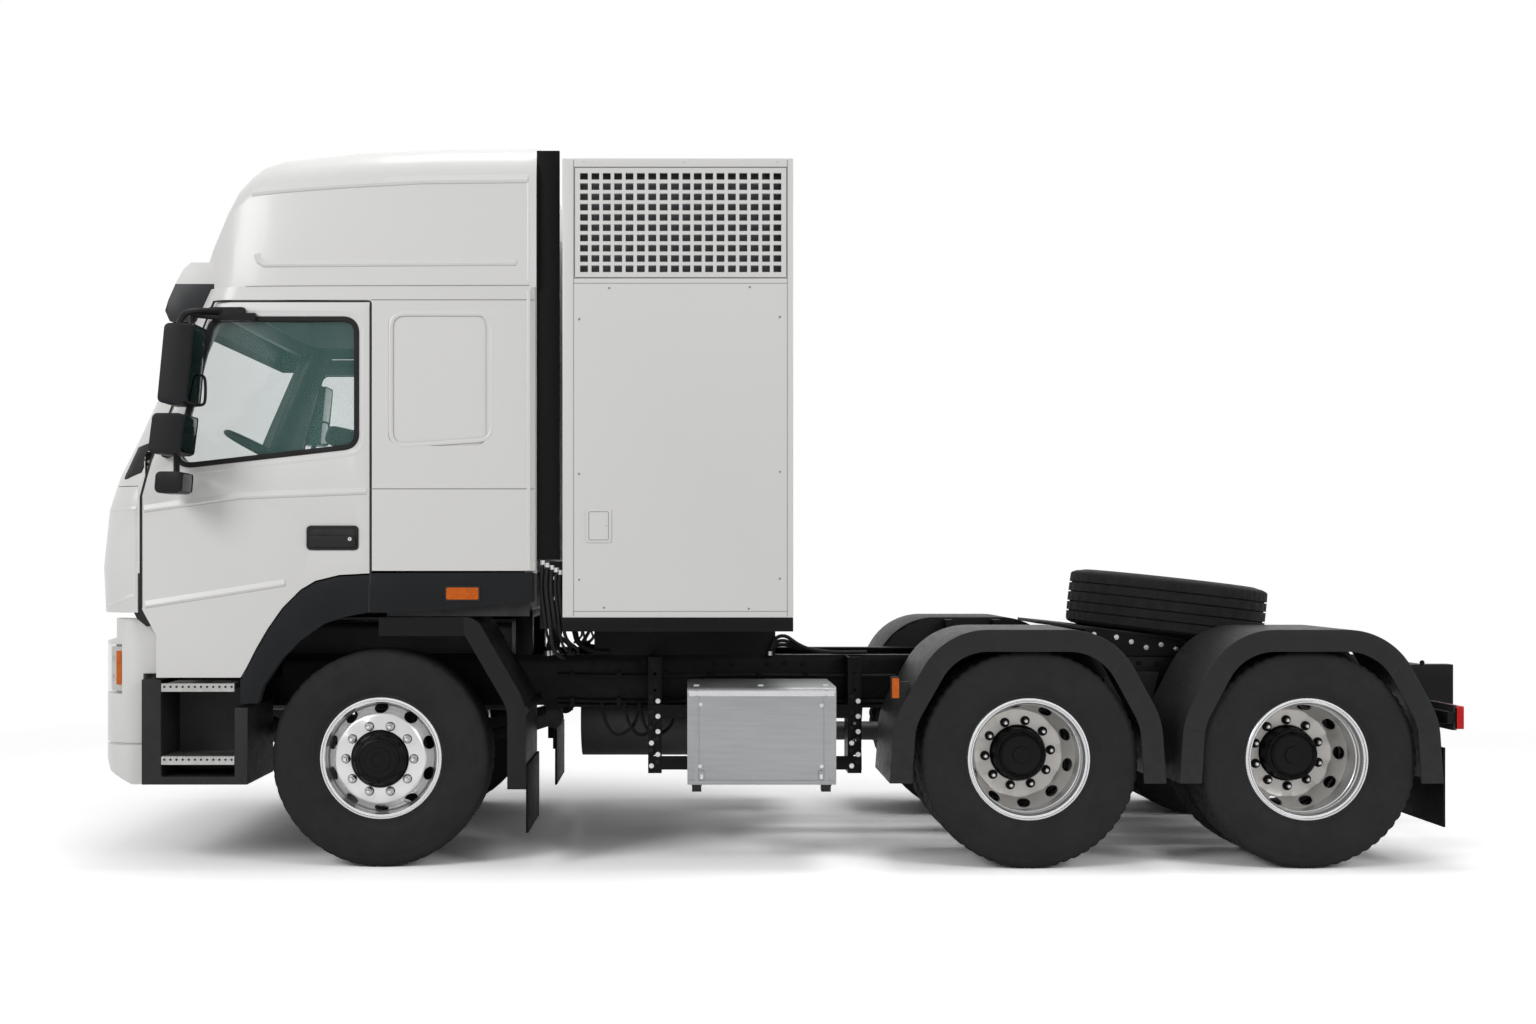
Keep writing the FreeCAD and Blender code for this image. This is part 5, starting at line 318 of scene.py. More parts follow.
class Form:
    """Points and faces of one piece, gathered in millimetres."""

    def __init__(self):
        self.points, self.faces, self.kinds = [], [], []

    def add(self, points, faces, kind=0):
        base = len(self.points)
        self.points += [tuple(p) for p in points]
        self.faces += [tuple(base + i for i in face) for face in faces]
        self.kinds += [kind] * len(faces)

    def sheet(self, rows, kind=0, loop=True, closed=False, capped=False):
        """Faces between rows of points: loop joins the two ends of each row, closed joins the last row
        to the first, and capped fills the first and last rows."""
        n, count = len(rows[0]), len(rows)
        faces = []
        for i in range(count if closed else count - 1):
            here, there = i * n, (i + 1) % count * n
            for j in range(n if loop else n - 1):
                k = (j + 1) % n
                faces.append((here + j, here + k, there + k, there + j))
        if capped:
            faces += [tuple(range(n))[::-1], tuple(range((count - 1) * n, count * n))]
        self.add([p for row in rows for p in row], faces, kind)

    def block(self, x0, x1, y0, y1, z0, z1, kind=0):
        self.prism([(x0, y0), (x1, y0), (x1, y1), (x0, y1)], "xy", z0, z1, kind)

    def prism(self, outline, plane, start, end, kind=0):
        """Outline of (a, b) in plane xz, yz or xy carried from one level to another."""
        self.sheet([[flat_point(plane, a, b, level) for a, b in outline] for level in (start, end)], kind,
                   capped=True)

    def turned(self, profile, centre, axis="y", sides=48, kind=0, closed=True, start=0.0, kinds=None):
        """Profile of (radius, distance along) turned about an axis through the centre."""
        x, y, z = centre
        rows = []
        for i in range(sides):
            a = math.radians(start + 360.0 * i / sides)
            ring = [(radius * math.cos(a), radius * math.sin(a), along) for radius, along in profile]
            rows.append([{"y": (x + u, y + along, z + w), "x": (x + along, y + u, z + w),
                          "z": (x + u, y + w, z + along)}[axis] for u, w, along in ring])
        self.sheet(rows, kind, loop=closed, closed=True)
        if kinds:
            self.kinds[-sides * len(kinds):] = kinds * sides

    def disc(self, centre, radius, axis, rise, sides=12, kind=0):
        """Short round plate that stands out from its centre."""
        self.turned([(0, 0), (radius, 0), (radius, rise), (0, rise)], centre, axis, sides, kind)

    def tube(self, route, radius, sides=10, kind=0):
        """Round tube along points, capped at both ends."""
        spine = [Vector(p) for p in route]
        normal, rows = None, []
        for i, p in enumerate(spine):
            run = (spine[min(i + 1, len(spine) - 1)] - spine[max(i - 1, 0)]).normalized()
            if normal is None:
                normal = run.cross(Vector((0, 0, 1)) if abs(run.z) < 0.9 else Vector((1, 0, 0))).normalized()
            normal = (normal - run * normal.dot(run)).normalized()
            other = run.cross(normal)
            angles = [2 * math.pi * j / sides for j in range(sides)]
            rows.append([p + (normal * math.cos(a) + other * math.sin(a)) * radius for a in angles])
        self.sheet(rows, kind, capped=True)

    def flipped(self):
        """The same piece for the other side of the vehicle."""
        other = Form()
        other.points = [(x, -y, z) for x, y, z in self.points]
        other.faces = [face[::-1] for face in self.faces]
        other.kinds = list(self.kinds)
        return other

    def mirror(self):
        """Adds the same on the other side of the vehicle."""
        other = self.flipped()
        kinds = self.kinds + other.kinds
        self.add(other.points, other.faces)
        self.kinds = kinds

    def mesh(self, name, materials, sharp=32.0, local=False):
        """Mesh in metres, about the vehicle's origin or, where it is local, about the piece's own."""
        mesh = bpy.data.meshes.new(name)
        mesh.from_pydata([Vector(p) / 1000 if local else at(*p) for p in self.points], [], self.faces)
        for material in materials:
            mesh.materials.append(material)
        for polygon, kind in zip(mesh.polygons, self.kinds):
            polygon.material_index = kind
            polygon.use_smooth = True
        mesh.validate()
        clean(mesh)
        mesh.set_sharp_from_angle(angle=math.radians(sharp))
        return mesh


def clean(mesh):
    """Joins points that meet and turns every face outwards."""
    work = bmesh.new()
    work.from_mesh(mesh)
    bmesh.ops.remove_doubles(work, verts=work.verts, dist=1e-5)
    bmesh.ops.dissolve_degenerate(work, edges=work.edges, dist=1e-6)
    bmesh.ops.recalc_face_normals(work, faces=work.faces)
    work.to_mesh(mesh)
    work.free()


WELD_GAP = 0.00002
BEVEL_ANGLE = math.radians(35)
SMOOTH_ANGLE = math.radians(28)


def soften(piece, bevel):
    edge = piece.modifiers.new("edges", "BEVEL")
    edge.width, edge.segments, edge.limit_method = bevel / 1000, 2, "ANGLE"
    edge.angle_limit = BEVEL_ANGLE
    return edge


def placed(name, mesh, body, replaced=(), matrix=None, bevel=0.0):
    """Object of a mesh that rides on a body and may stand for CAD nodes."""
    piece = bpy.data.objects.new(name, mesh)
    SCENE.collection.objects.link(piece)
    if matrix is not None:
        piece.matrix_world = matrix
    if bevel:
        soften(piece, bevel).harden_normals = True
    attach(piece, body)
    if replaced:
        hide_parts(*replaced)
    return piece


def shaped(form, materials, name, body, bevel=0.0, replaced=(), sharp=32.0):
    return placed(name, form.mesh(name, materials, sharp), body, replaced, None, bevel)


def both_sides(form, materials, name, bodies):
    """The left-hand piece and its mirror image, each on its own body."""
    for (side, word), body in zip(SIDES, bodies):
        shaped(form if side < 0 else form.flipped(), materials, "%s_%s" % (name, word), body)


def smooth_group():
    """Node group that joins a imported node's split points and shades it smooth up to an angle."""
    group = bpy.data.node_groups.new("smooth_by_angle", "GeometryNodeTree")
    for way in ("INPUT", "OUTPUT"):
        group.interface.new_socket("Geometry", in_out=way, socket_type="NodeSocketGeometry")
    start = add_node(group, "NodeGroupInput").outputs[0]
    bare = add_node(group, "GeometryNodeRemoveAttribute",
                    {"Geometry": start, "Name": "custom_normal"}).outputs[0]
    weld = add_node(group, "GeometryNodeMergeByDistance", {"Geometry": bare, "Distance": WELD_GAP}).outputs[0]
    faces = add_node(group, "GeometryNodeSetShadeSmooth", {"Geometry": weld, "Shade Smooth": True},
                     domain="FACE").outputs[0]
    angle = add_node(group, "GeometryNodeInputMeshEdgeAngle").outputs["Unsigned Angle"]
    test = add_node(group, "FunctionNodeCompare", {"A": angle, "B": SMOOTH_ANGLE}, data_type="FLOAT",
                    operation="GREATER_THAN").outputs["Result"]
    edges = add_node(group, "GeometryNodeSetShadeSmooth",
                     {"Geometry": faces, "Selection": test, "Shade Smooth": False}, domain="EDGE").outputs[0]
    add_node(group, "NodeGroupOutput", {0: edges})
    return group


SMOOTH = smooth_group()


def dress(name, material, bevel=0.0):
    """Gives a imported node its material, smooth curves and softened edges."""
    node = NODES[name]
    node.data.materials.clear()
    node.data.materials.append(material)
    if bevel:
        weld = node.modifiers.new("weld", "WELD")
        weld.merge_threshold = WELD_GAP
        soften(node, bevel)
    smooth = node.modifiers.new("smooth", "NODES")
    smooth.node_group = SMOOTH


# Wheels and tyres

TREAD_RIBS = (-128, -84, -76, -32, -24, 24, 32, 76, 84, 128)
TREAD_DEPTH = 13.0
TREAD_FROM_R, CASING_R, SHOULDER_R = 515, 520, 522
TYRE_SIDES = 180
HUB_R, DISC_R, CONE_R = 141.0, 226.0, 268.0
BOLT_CIRCLE_R = 167.5
BOLTS = 10
RIM_HALF = 127.0
PATCH_ACROSS, PATCH_UP = 8, 4
DISC_SIDES = BOLTS * PATCH_ACROSS
FIRST_PATCH = -18.0
FRONT_FACE, TWIN_FACE, SPARE_FACE = 150, 12, 126


def groove_drop(i, r, y, blocks):
    """Depth of the cross groove at one step round the tyre, for a driven or a steered axle."""
    if r <= TREAD_FROM_R:
        return 0.0
    if blocks and abs(y) > 78 and i % 3 == 0:
        return 6.0 if r > SHOULDER_R else 2.0
    if blocks and abs(y) <= 78 and (i + (2 if y > 0 else 0)) % 5 == 2:
        return 6.0
    if not blocks and abs(y) > 118 and i % 4 == 0:
        return 3.0
    return 0.0


def tyre_mesh(name, blocks, centres=(0.0,)):
    """Tyres about the Y axis at one or more centres; blocks grooves the tread as on a driven axle."""
    half = [(291, 112), (300, 121), (312, 127), (318, 127), (322, 131), (340, 142), (352, 146), (356, 149),
            (362, 150), (400, 156.5), (430, 157.5), (455, 156), (462, 157), (470, 155.5), (498, 148),
            (505, 148.5), (510, 146), (522, 141), (530, 137), (534.5, 131)]
    tread = []
    for index, y in enumerate(TREAD_RIBS[::-1]):
        crown = TYRE_R - 0.000144 * y * y
        if index % 2 == 1:
            tread += [(crown, y), (crown - TREAD_DEPTH, y - 1.5)]
        elif index > 0:
            tread += [(crown - TREAD_DEPTH, y + 1.5), (crown, y)]
        else:
            tread += [(crown, y)]
    profile = half + tread + [(r, -y) for r, y in reversed(half)] + [(289, -100), (289, 100)]
    pairs = zip(profile, profile[1:] + profile[:1])
    kinds = [int(min(here[0], after[0]) > TREAD_FROM_R) for here, after in pairs]
    form = Form()
    for centre in centres:
        rows = []
        for i in range(TYRE_SIDES):
            angle = 2 * math.pi * i / TYRE_SIDES
            row = []
            for r, y in profile:
                low = r - groove_drop(i, r, y, blocks)
                low = max(low, CASING_R) if r > CASING_R else low
                row.append((low * math.cos(angle), centre + y, low * math.sin(angle)))
            rows.append(row)
        form.sheet(rows, closed=True)
    form.kinds = kinds * TYRE_SIDES * len(centres)
    return form.mesh(name, [RUBBER, TREAD], sharp=38, local=True)


def holed_patch(form, corners, centre, half, place, depth, kind=0):
    """Patch with one oval hole: corners (u0, u1, v0, v1), hole centre and half sizes in the same units.

    Its edges are evenly divided, so that it meets its neighbours point to point."""
    u0, u1, v0, v1 = corners
    wide, high = u1 - u0, v1 - v0
    outer = [(u0 + wide * i / PATCH_ACROSS, v0) for i in range(PATCH_ACROSS)]
    outer += [(u1, v0 + high * i / PATCH_UP) for i in range(PATCH_UP)]
    outer += [(u1 - wide * i / PATCH_ACROSS, v1) for i in range(PATCH_ACROSS)]
    outer += [(u0, v1 - high * i / PATCH_UP) for i in range(PATCH_UP)]
    inner = []
    for u, v in outer:
        angle = math.atan2((v - centre[1]) / high, (u - centre[0]) / wide)
        inner.append((centre[0] + half[0] * math.cos(angle), centre[1] + half[1] * math.sin(angle)))
    middle = [((a[0] + b[0]) / 2, (a[1] + b[1]) / 2) for a, b in zip(outer, inner)]
    rings = [[place(u, v, 0) for u, v in ring] for ring in (outer, middle, inner)]
    form.sheet(rings + [[place(u, v, depth) for u, v in inner]], kind)


def profile_place(profile):
    """Turns (angle in degrees, share along the profile) into a point, with depth behind the sheet."""
    runs = [0.0]
    for a, b in zip(profile, profile[1:]):
        runs.append(runs[-1] + math.dist(a, b))

    def place(angle, share, depth):
        want = share * runs[-1]
        i = next(i for i in range(len(runs) - 1) if want <= runs[i + 1] + 1e-9)
        t = (want - runs[i]) / (runs[i + 1] - runs[i])
        r, y = [a + (b - a) * t for a, b in zip(profile[i], profile[i + 1])]
        return (r * math.cos(math.radians(angle)), y - depth, r * math.sin(math.radians(angle)))
    return place


def rim_lip(form, centre, kind, bright):
    """Rim with its rolled edges, seen from both sides."""
    half = RIM_HALF
    edge = [(276, half - 3), (279, half + 1), (285, half + 1), (287, half - 5), (291, half - 5),
            (293, half + 1), (300, half + 2), (305, half - 2), (307, half - 7)]
    well = [(304, half - 13), (295, half - 14), (289, half - 20), (287, half - 40), (280, 40), (280, -40),
            (287, -half + 40), (289, -half + 20), (295, -half + 14)]
    back = [(304, -half + 13), (307, -half + 7), (304, -half + 1), (296, -half - 2), (283, -half - 1),
            (276, -half + 3)]
    inside = [(274, -half + 24), (271, -60), (269, 0), (269, 52), (264, 55), (264, 63), (268, 67),
              (268, half - 34), (272, half - 30), (274, half - 20)]
    kinds = [bright] * len(edge) + [kind] * len(well) + [bright] * len(back) + [kind] * len(inside)
    form.turned([(r, centre + y) for r, y in edge + well + back + inside], (0, 0, 0), "y", 96, kinds=kinds)


def ring_sheet(form, profile, kind):
    """Open turned sheet whose points line up with the patches of a disc."""
    form.turned(profile, (0, 0, 0), "y", DISC_SIDES, kind, closed=False, start=FIRST_PATCH)


def disc_sheet(form, flat, cone, thick, kind=0):
    """Disc facing +Y: flat ring from the hub, then a cone with ten oval hand holes between the bolts."""
    back = [(r, y - thick) for r, y in cone]
    step = 360.0 / BOLTS
    for i in range(BOLTS):
        a = FIRST_PATCH + step * (i + 0.5)
        for profile, depth in ((cone, thick), (back, 0)):
            holed_patch(form, (a, a + step, 0.0, 1.0), (a + step / 2, 0.52), (8.0, 0.38),
                        profile_place(profile), depth, kind)
    ring_sheet(form, [(HUB_R, flat - thick), (HUB_R, flat - 3), (HUB_R + 3, flat), cone[0]], kind)
    ring_sheet(form, [(HUB_R, flat - thick), back[0]], kind)


def fitted(form, count, radius, parts):
    """Turned parts (profile, sides, kind) at even steps round the wheel's axis."""
    for i in range(count):
        a = 2 * math.pi * i / count
        for profile, sides, kind in parts:
            form.turned(profile, (radius * math.cos(a), 0, radius * math.sin(a)), "y", sides, kind)


def front_wheel_mesh():
    form = Form()
    rim_lip(form, 0, 0, 1)
    face = FRONT_FACE
    disc_sheet(form, face, [(DISC_R - 14, face), (DISC_R - 6, 148), (DISC_R + 2, 138), (CONE_R - 4, 88),
                            (CONE_R + 3, 74), (CONE_R + 8, 68)], 12)
    fitted(form, BOLTS, BOLT_CIRCLE_R, [
        ([(0, face), (23, face), (23, 152), (0, 152)], 24, 3),
        ([(0, 152), (20, 152), (20, 155), (18, 170), (15, 174), (0, 174)], 18, 2),
        ([(0, 174), (12, 174), (12, 182), (8, 187), (0, 189)], 16, 2)])
    hub = [(52.4, 40), (136, 40), (136, 156), (133, 160), (126, 161), (124, 186), (118, 194), (104, 197),
           (102, 204), (92, 209), (89, 205), (62, 205), (60, 208), (34, 208), (32, 205), (0, 205)]
    form.turned(hub, (0, 0, 0), "y", 64, 3, closed=False)
    form.turned([(136, 137), (HUB_R + 2, 137)], (0, 0, 0), "y", 64, 3, closed=False)
    fitted(form, 8, 111, [([(0, 192), (7, 192), (7, 201), (5, 203), (0, 203)], 6, 3)])
    return form.mesh("front_wheel", [ALLOY, BRIGHT, SCREW, GLOSS_BLACK], sharp=35, local=True)


def twin_wheel_mesh():
    """Pair of rims; +Y faces outwards and the origin is midway between them."""
    form = Form()
    for centre in (TWIN_SPREAD, -TWIN_SPREAD):
        rim_lip(form, centre, 5, 1)
    face = TWIN_FACE
    disc_sheet(form, face, [(DISC_R - 6, face), (DISC_R, 14), (DISC_R + 5, 22), (CONE_R - 6, 88),
                            (CONE_R + 2, 104), (CONE_R + 8, 112)], 24)
    fitted(form, BOLTS, BOLT_CIRCLE_R, [
        ([(0, face), (24, face), (24, 16), (0, 16)], 24, 3),
        ([(0, 16), (15.5, 16), (15.5, 32), (13, 36), (0, 36)], 6, 4),
        ([(0, 36), (10.5, 36), (10.5, 44), (7, 48), (0, 49)], 14, 2)])
    hub = [(52.4, -12), (136, -12), (136, 16), (132, 26), (130, 88), (124, 98), (112, 102), (110, 112),
           (98, 120), (96, 116), (44, 116), (42, 121), (0, 121)]
    form.turned(hub, (0, 0, 0), "y", 64, 3, closed=False)
    fitted(form, 10, 118, [([(0, 98), (7.5, 98), (7.5, 106), (5, 108), (0, 108)], 6, 3)])
    return form.mesh("twin_wheel", [SATIN, BRIGHT, SCREW, GLOSS_BLACK, STEEL, ALLOY], sharp=35, local=True)


def spare_wheel_mesh():
    form = Form()
    rim_lip(form, 0, 0, 1)
    face = SPARE_FACE
    disc_sheet(form, face, [(DISC_R - 8, face), (DISC_R, 124), (DISC_R + 7, 117), (CONE_R - 6, 82),
                            (CONE_R + 2, 70), (CONE_R + 8, 66)], 12)
    return form.mesh("spare_wheel_mesh", [ALLOY, BRIGHT], sharp=35, local=True)


def make_wheels():
    steer = tyre_mesh("steer_tyre", False)
    pair = tyre_mesh("drive_pair", True, (TWIN_SPREAD, -TWIN_SPREAD))
    front, twin = front_wheel_mesh(), twin_wheel_mesh()
    for side, word in SIDES:
        turn = Matrix.Rotation(math.pi if side < 0 else 0, 4, "Z")
        place = Matrix.Translation(at(0, side * WHEEL_Y, TYRE_R)) @ turn
        body = "front_%s_wheel" % word
        placed("steer_tyre_" + word, steer, body, ["front_tyre_" + word], place)
        placed("steer_wheel_" + word, front, body, ["front_wheel_" + word], place)
        for number, x, lean in (("first", FIRST_AXLE, 5), ("second", SECOND_AXLE, 19)):
            where = "%s_%s" % (number, word)
            place = Matrix.Translation(at(x, side * TWIN_Y, TYRE_R)) @ turn
            for label, base, slot in (("tyres", pair, "tyre_rubber"), ("wheels", twin, "polished_wheel")):
                spun = base.copy()
                spun.transform(Matrix.Rotation(math.radians(lean), 4, "Y"))
                placed("drive_%s_%s" % (label, where), spun, where + "_twins",
                       ["twin_%s_%s" % (label, where)], place)


SPARE_TILT = 6.5
PLATE_PIVOT = (3860, 0, 1095)
SPARE_FORWARD = 324.0
SPARE_LEVEL = 44.0 + 0.4 + 157.5


def make_spare():
    """Spare wheel lying on the coupling plate, leaning as the plate does."""
    tilt = Matrix.Rotation(math.radians(SPARE_TILT), 4, "Y")
    lying = Matrix.Rotation(math.radians(90), 4, "X")
    lift = Matrix.Translation(Vector((SPARE_FORWARD / 1000, 0, SPARE_LEVEL / 1000)))
    place = Matrix.Translation(at(*PLATE_PIVOT)) @ tilt @ lift @ lying
    placed("spare_tyre_dressed", tyre_mesh("drive_tyre", True), "spare", ["spare_tyre"], place)
    placed("spare_wheel_dressed", spare_wheel_mesh(), "spare", ["spare_wheel"], place)


# Tools that follow a packed surface

class Skin:
    """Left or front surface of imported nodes, read by rays along one axis."""

    def __init__(self, *names, front=False):
        self.front = front
        self.trees = []
        for name in names:
            data = NODES[name].data
            faces = [tuple(p.vertices) for p in data.polygons]
            self.trees.append(BVHTree.FromPolygons([v.co for v in data.vertices], faces))

    def spot(self, a, z):
        """Nearest surface point at (x, z), or at (y, z) from the front, and the way it faces."""
        start = at(-3000, a, z) if self.front else at(a, -2500, z)
        way = Vector((1, 0, 0)) if self.front else Vector((0, 1, 0))
        hits = [tree.ray_cast(start, way) for tree in self.trees]
        hits = [(reach, hit, normal) for hit, normal, _, reach in hits if hit is not None]
        if not hits:
            return None
        _, hit, normal = min(hits, key=lambda found: found[0])
        return Vector((hit.x * 1000 - FRONT_AXLE, hit.y * 1000, hit.z * 1000)), normal


class Plain:
    """Flat side surface at one level."""

    front = False

    def __init__(self, y):
        self.y = y

    def spot(self, x, z):
        return Vector((x, self.y, z)), Vector((0, -1, 0))


def dense(route, step, closed):
    """Points along a route no further apart than a step."""
    points = []
    for a, b in zip(route, route[1:] + route[:1] if closed else route[1:]):
        count = max(1, math.ceil(math.dist(a, b) / step))
        points += [(a[0] + (b[0] - a[0]) * i / count, a[1] + (b[1] - a[1]) * i / count) for i in range(count)]
    return points if closed else points + [route[-1]]


def rounded(corners, radius, parts=5):
    """Closed outline with rounded corners."""
    points = []
    for i, corner in enumerate(corners):
        p = Vector(corner)
        before, after = Vector(corners[i - 1]) - p, Vector(corners[(i + 1) % len(corners)]) - p
        half = before.angle(after) / 2
        back = min(radius / math.tan(half), before.length / 2, after.length / 2)
        a, b = p + before.normalized() * back, p + after.normalized() * back
        for k in range(parts + 1):
            t = k / parts
            points.append(tuple(a * (1 - t) ** 2 + p * 2 * t * (1 - t) + b * t * t))
    return points


def box_outline(x0, x1, z0, z1, radius):
    return rounded([(x0, z0), (x1, z0), (x1, z1), (x0, z1)], radius)


def shrunk(outline, share, middle):
    """Outline drawn towards a middle point."""
    return [(middle[0] + (a - middle[0]) * share, middle[1] + (b - middle[1]) * share) for a, b in outline]


def ridge(form, skin, route, profile, kind=0, closed=False, step=30.0):
    """Moulding along (x, z) points of a surface; its profile is (across, out) pairs, across upwards
    where the route runs to the rear and inwards where it goes round against the clock."""
    points = dense(route, step, closed)
    last = len(points) - 1
    rows = []
    for i, (a, z) in enumerate(points):
        found = skin.spot(a, z)
        if found is None:
            continue
        p, out = found
        before = points[i - 1] if i or closed else points[0]
        after = points[i + 1] if i < last else points[0 if closed else last]
        da, dz = after[0] - before[0], after[1] - before[1]
        run = Vector((0, da, dz)) if skin.front else Vector((da, 0, dz))
        run = (run - out * run.dot(out)).normalized()
        across = out.cross(run)
        rows.append([p + across * u + out * w for u, w in profile])
    if len(rows) > 1:
        form.sheet(rows, kind, closed=closed, capped=not closed)


def line_profile(width, rise, sink=2.0):
    return [(-width / 2, -sink), (-width / 2, rise), (width / 2, rise), (width / 2, -sink)]


def swage(width, rise):
    """Soft crease: a gentle slope above a short one."""
    return [(-width * 0.3, -2), (-width * 0.3, 0.1), (-width * 0.09, rise * 0.8), (0, rise),
            (width * 0.2, rise * 0.75), (width * 0.7, 0.1), (width * 0.7, -2)]


def crease(form, skin, route, width, rise, below, line, shade):
    """Swage with a thin shaded line under it."""
    ridge(form, skin, route, swage(width, rise))
    ridge(form, skin, [(x, z - below) for x, z in route], line, shade)


def slab(form, skin, outline, rise, kind=0, sink=2.0, crown=0.0):
    """Thin plate with a given outline that follows a surface."""
    points = dense(outline, 25.0, True)
    middle = (sum(p[0] for p in points) / len(points), sum(p[1] for p in points) / len(points))
    centre = skin.spot(*middle)
    if centre is None:
        return
    levels = ((1.0, -sink), (1.0, rise * 0.7), (0.97, rise), (0.55, rise + crown), (0.15, rise + crown))
    rings = []
    for share, lift in levels:
        found = [skin.spot(*p) or centre for p in shrunk(points, share, middle)]
        rings.append([p + out * lift for p, out in found])
    form.sheet(rings, kind, capped=True)


def bolt(form, x, y, z, radius, kind, out=-1, thick=7.0):
    """Hexagon head on a round washer, facing the left or right side."""
    form.disc((x, y, z), radius * 1.5, "y", out * thick * 0.3, 14, kind)
    form.disc((x, y + out * thick * 0.3, z), radius, "y", out * thick * 0.7, 6, kind)


def bolts(form, places, y, radius, kind, out=-1, thick=7.0):
    for x, z in places:
        bolt(form, x, y, z, radius, kind, out, thick)


def ring_frame(form, outer, inner, y_outer, y_inner, back, kind):
    """Closed ring between two outlines with equal numbers of points, on the left side."""
    levels = ((outer, back), (outer, y_outer), (inner, y_inner), (inner, back))
    form.sheet([[(a, y, b) for a, b in outline] for outline, y in levels], kind, closed=True)


def stack(form, levels, kind):
    """Solid through (outline, y) levels on the left side."""
    form.sheet([[(a, y, b) for a, b in outline] for outline, y in levels], kind, capped=True)


def curve(points, parts=4):
    """Smooth run through points, for fixed pipes and arms."""
    result = []
    last = len(points) - 1
    for i in range(last):
        p0, p1, p2, p3 = [Vector(points[min(max(i + k, 0), last)]) for k in (-1, 0, 1, 2)]
        for t in [k / parts for k in range(parts)]:
            bend = (2 * p0 - 5 * p1 + 4 * p2 - p3) * t * t + (3 * p1 - p0 - 3 * p2 + p3) * t ** 3
            result.append(0.5 * (2 * p1 + (p2 - p0) * t + bend))
    return result + [Vector(points[-1])]


def fixed_pipe(form, points, radius, sides=10, kind=0):
    form.tube(curve(points), radius, sides, kind)


# Doors

DOOR_SIDE = Plain(-HALF)
WINDOW = rounded([(-985, 1985), (-110, 2085), (-110, 2690), (-800, 2690)], 60, 8)
WINDOW_FOLD = rounded([(-1040, 1930), (-66, 2040), (-66, 2740), (-805, 2740)], 95, 8)[:34]
DOOR_LINE = [(-1155, 1285), (-1155, 1830), (-1108, 2010), (-800, 2785), (-34, 2785), (-34, 1403)]
HANDLE_FACE = -1252
MIRROR_HEADS = ((2636, 376, -808, 36, 1557), (2212, 191, -850, 24, 1557), (1940, 103, -875, 8, 1502))
MIRROR_INNER = 1338


def door_handle(form, dark, plastic, screw):
    plate, mouth = box_outline(-345, -91, 1568, 1688, 24), box_outline(-329, -107, 1582, 1675, 15)
    ring_frame(form, plate, mouth, -1250, HANDLE_FACE, -1243, plastic)
    # The mouth's floor and walls take the dark seam colour, darker than the plastic plate: painted shade in
    # the recess.
    floor, slope = shrunk(mouth, 0.9, (-218, 1630)), shrunk(mouth, 0.96, (-217.5, 1625))
    stack(form, [(floor, -1227), (slope, -1230), (mouth, -1249)], dark)
    edge = box_outline(-338, -98, 1575, 1681, 20)
    ridge(form, Plain(HANDLE_FACE), edge, line_profile(3.0, 1.2), dark, True, 60)
    lever = box_outline(-332, -104, 1583, 1636, 13)
    stack(form, [(lever, -1228), (lever, -1255), (shrunk(lever, 0.99, (-220, 1600)), -1261),
                 (shrunk(lever, 0.9, (-218, 1620)), -1262)], plastic)
    form.disc((-131, -1261, 1622), 9.5, "y", -2.5, 20, screw)
    form.block(-132.2, -129.8, -1264.5, -1263, 1617, 1627, dark)


def door_fittings():
    form = Form()
    rubber = [(-22, -4), (-22, 3), (-17, 6.5), (-5, 7.5), (3, 4), (5, -9), (5, -14), (-6, -14)]
    ridge(form, DOOR_SIDE, WINDOW, rubber, 1, True, 60)
    ridge(form, DOOR_SIDE, WINDOW_FOLD, [(-9, -2), (-9, 0.1), (-3, 1.6), (3, 1.6), (9, 0.1), (9, -2)])
    for route in ([(-1139, 1765), (-670, 1829), (-54, 1853)], [(-1134, 1296), (-817, 1345), (-450, 1403)]):
        crease(form, DOOR_SIDE, route, 34, 6.0, 12, line_profile(4.0, 0.6), 5)
    door_handle(form, 3, 2, 4)
    both_sides(form, [DOOR_WHITE, RUBBER, PLASTIC, GROOVE, SCREW, CREASE], "door_fittings", DOOR_BODIES)


def mirror_plates():
    """Glass, rim and arm of the mirrors, which look to the rear."""
    form = Form()
    for top, height, rear, lean, outer in MIRROR_HEADS:
        middle = (-(outer + MIRROR_INNER) / 2, top - height / 2)
        edge = box_outline(-outer, -MIRROR_INNER, top - height + 9, top - 9, 22)
        glass = [[(rear - lean * (top - z) / height + out, y, z) for y, z in shrunk(edge, share, middle)]
                 for share, out in ((1.0, -6), (1.0, 1.0), (0.95, 2.2))]
        form.sheet(glass, capped=True)
        rim = []
        for grow, out in ((1.0, -5), (1.0, 4.0), (1.035, 4.0), (1.05, -5)):
            row = zip(edge, shrunk(edge, grow, middle))
            rim.append([(rear - lean * (top - z) / height + out, y2, z2) for (y, z), (y2, z2) in row])
        form.sheet(rim, 1, closed=True)
    grip = [(-838, 2262), (-806, 2268), (-797, 2300), (-797, 2370), (-806, 2402), (-836, 2410)]
    fixed_pipe(form, [(x, -1400, z) for x, z in grip], 7, 10, 1)
    arm = [(-905, -1450, 2622), (-903, -1450, 2662), (-878, -1436, 2700), (-838, -1385, 2718),
           (-790, -1300, 2730), (-762, -1258, 2733)]
    fixed_pipe(form, arm, 15, 14, 1)
    slab(form, DOOR_SIDE, box_outline(-824, -642, 2715, 2755, 15), 24, 1, 1)
    both_sides(form, [MIRROR, HEAD], "mirror_plates", DOOR_BODIES)


# Cab sides, roof and front

REAR_EDGE_X = 741
REAR_EDGE = [(-9, -2), (-9, 0.2), (-3, 3.2), (4, 3.2), (9, 0.2), (9, -2)]
LAMP_XS = (-1392, -1372, -1350, -1328, -1306, -1284)
LAMP_ZS = (872, 930, 980, 1035, 1090)


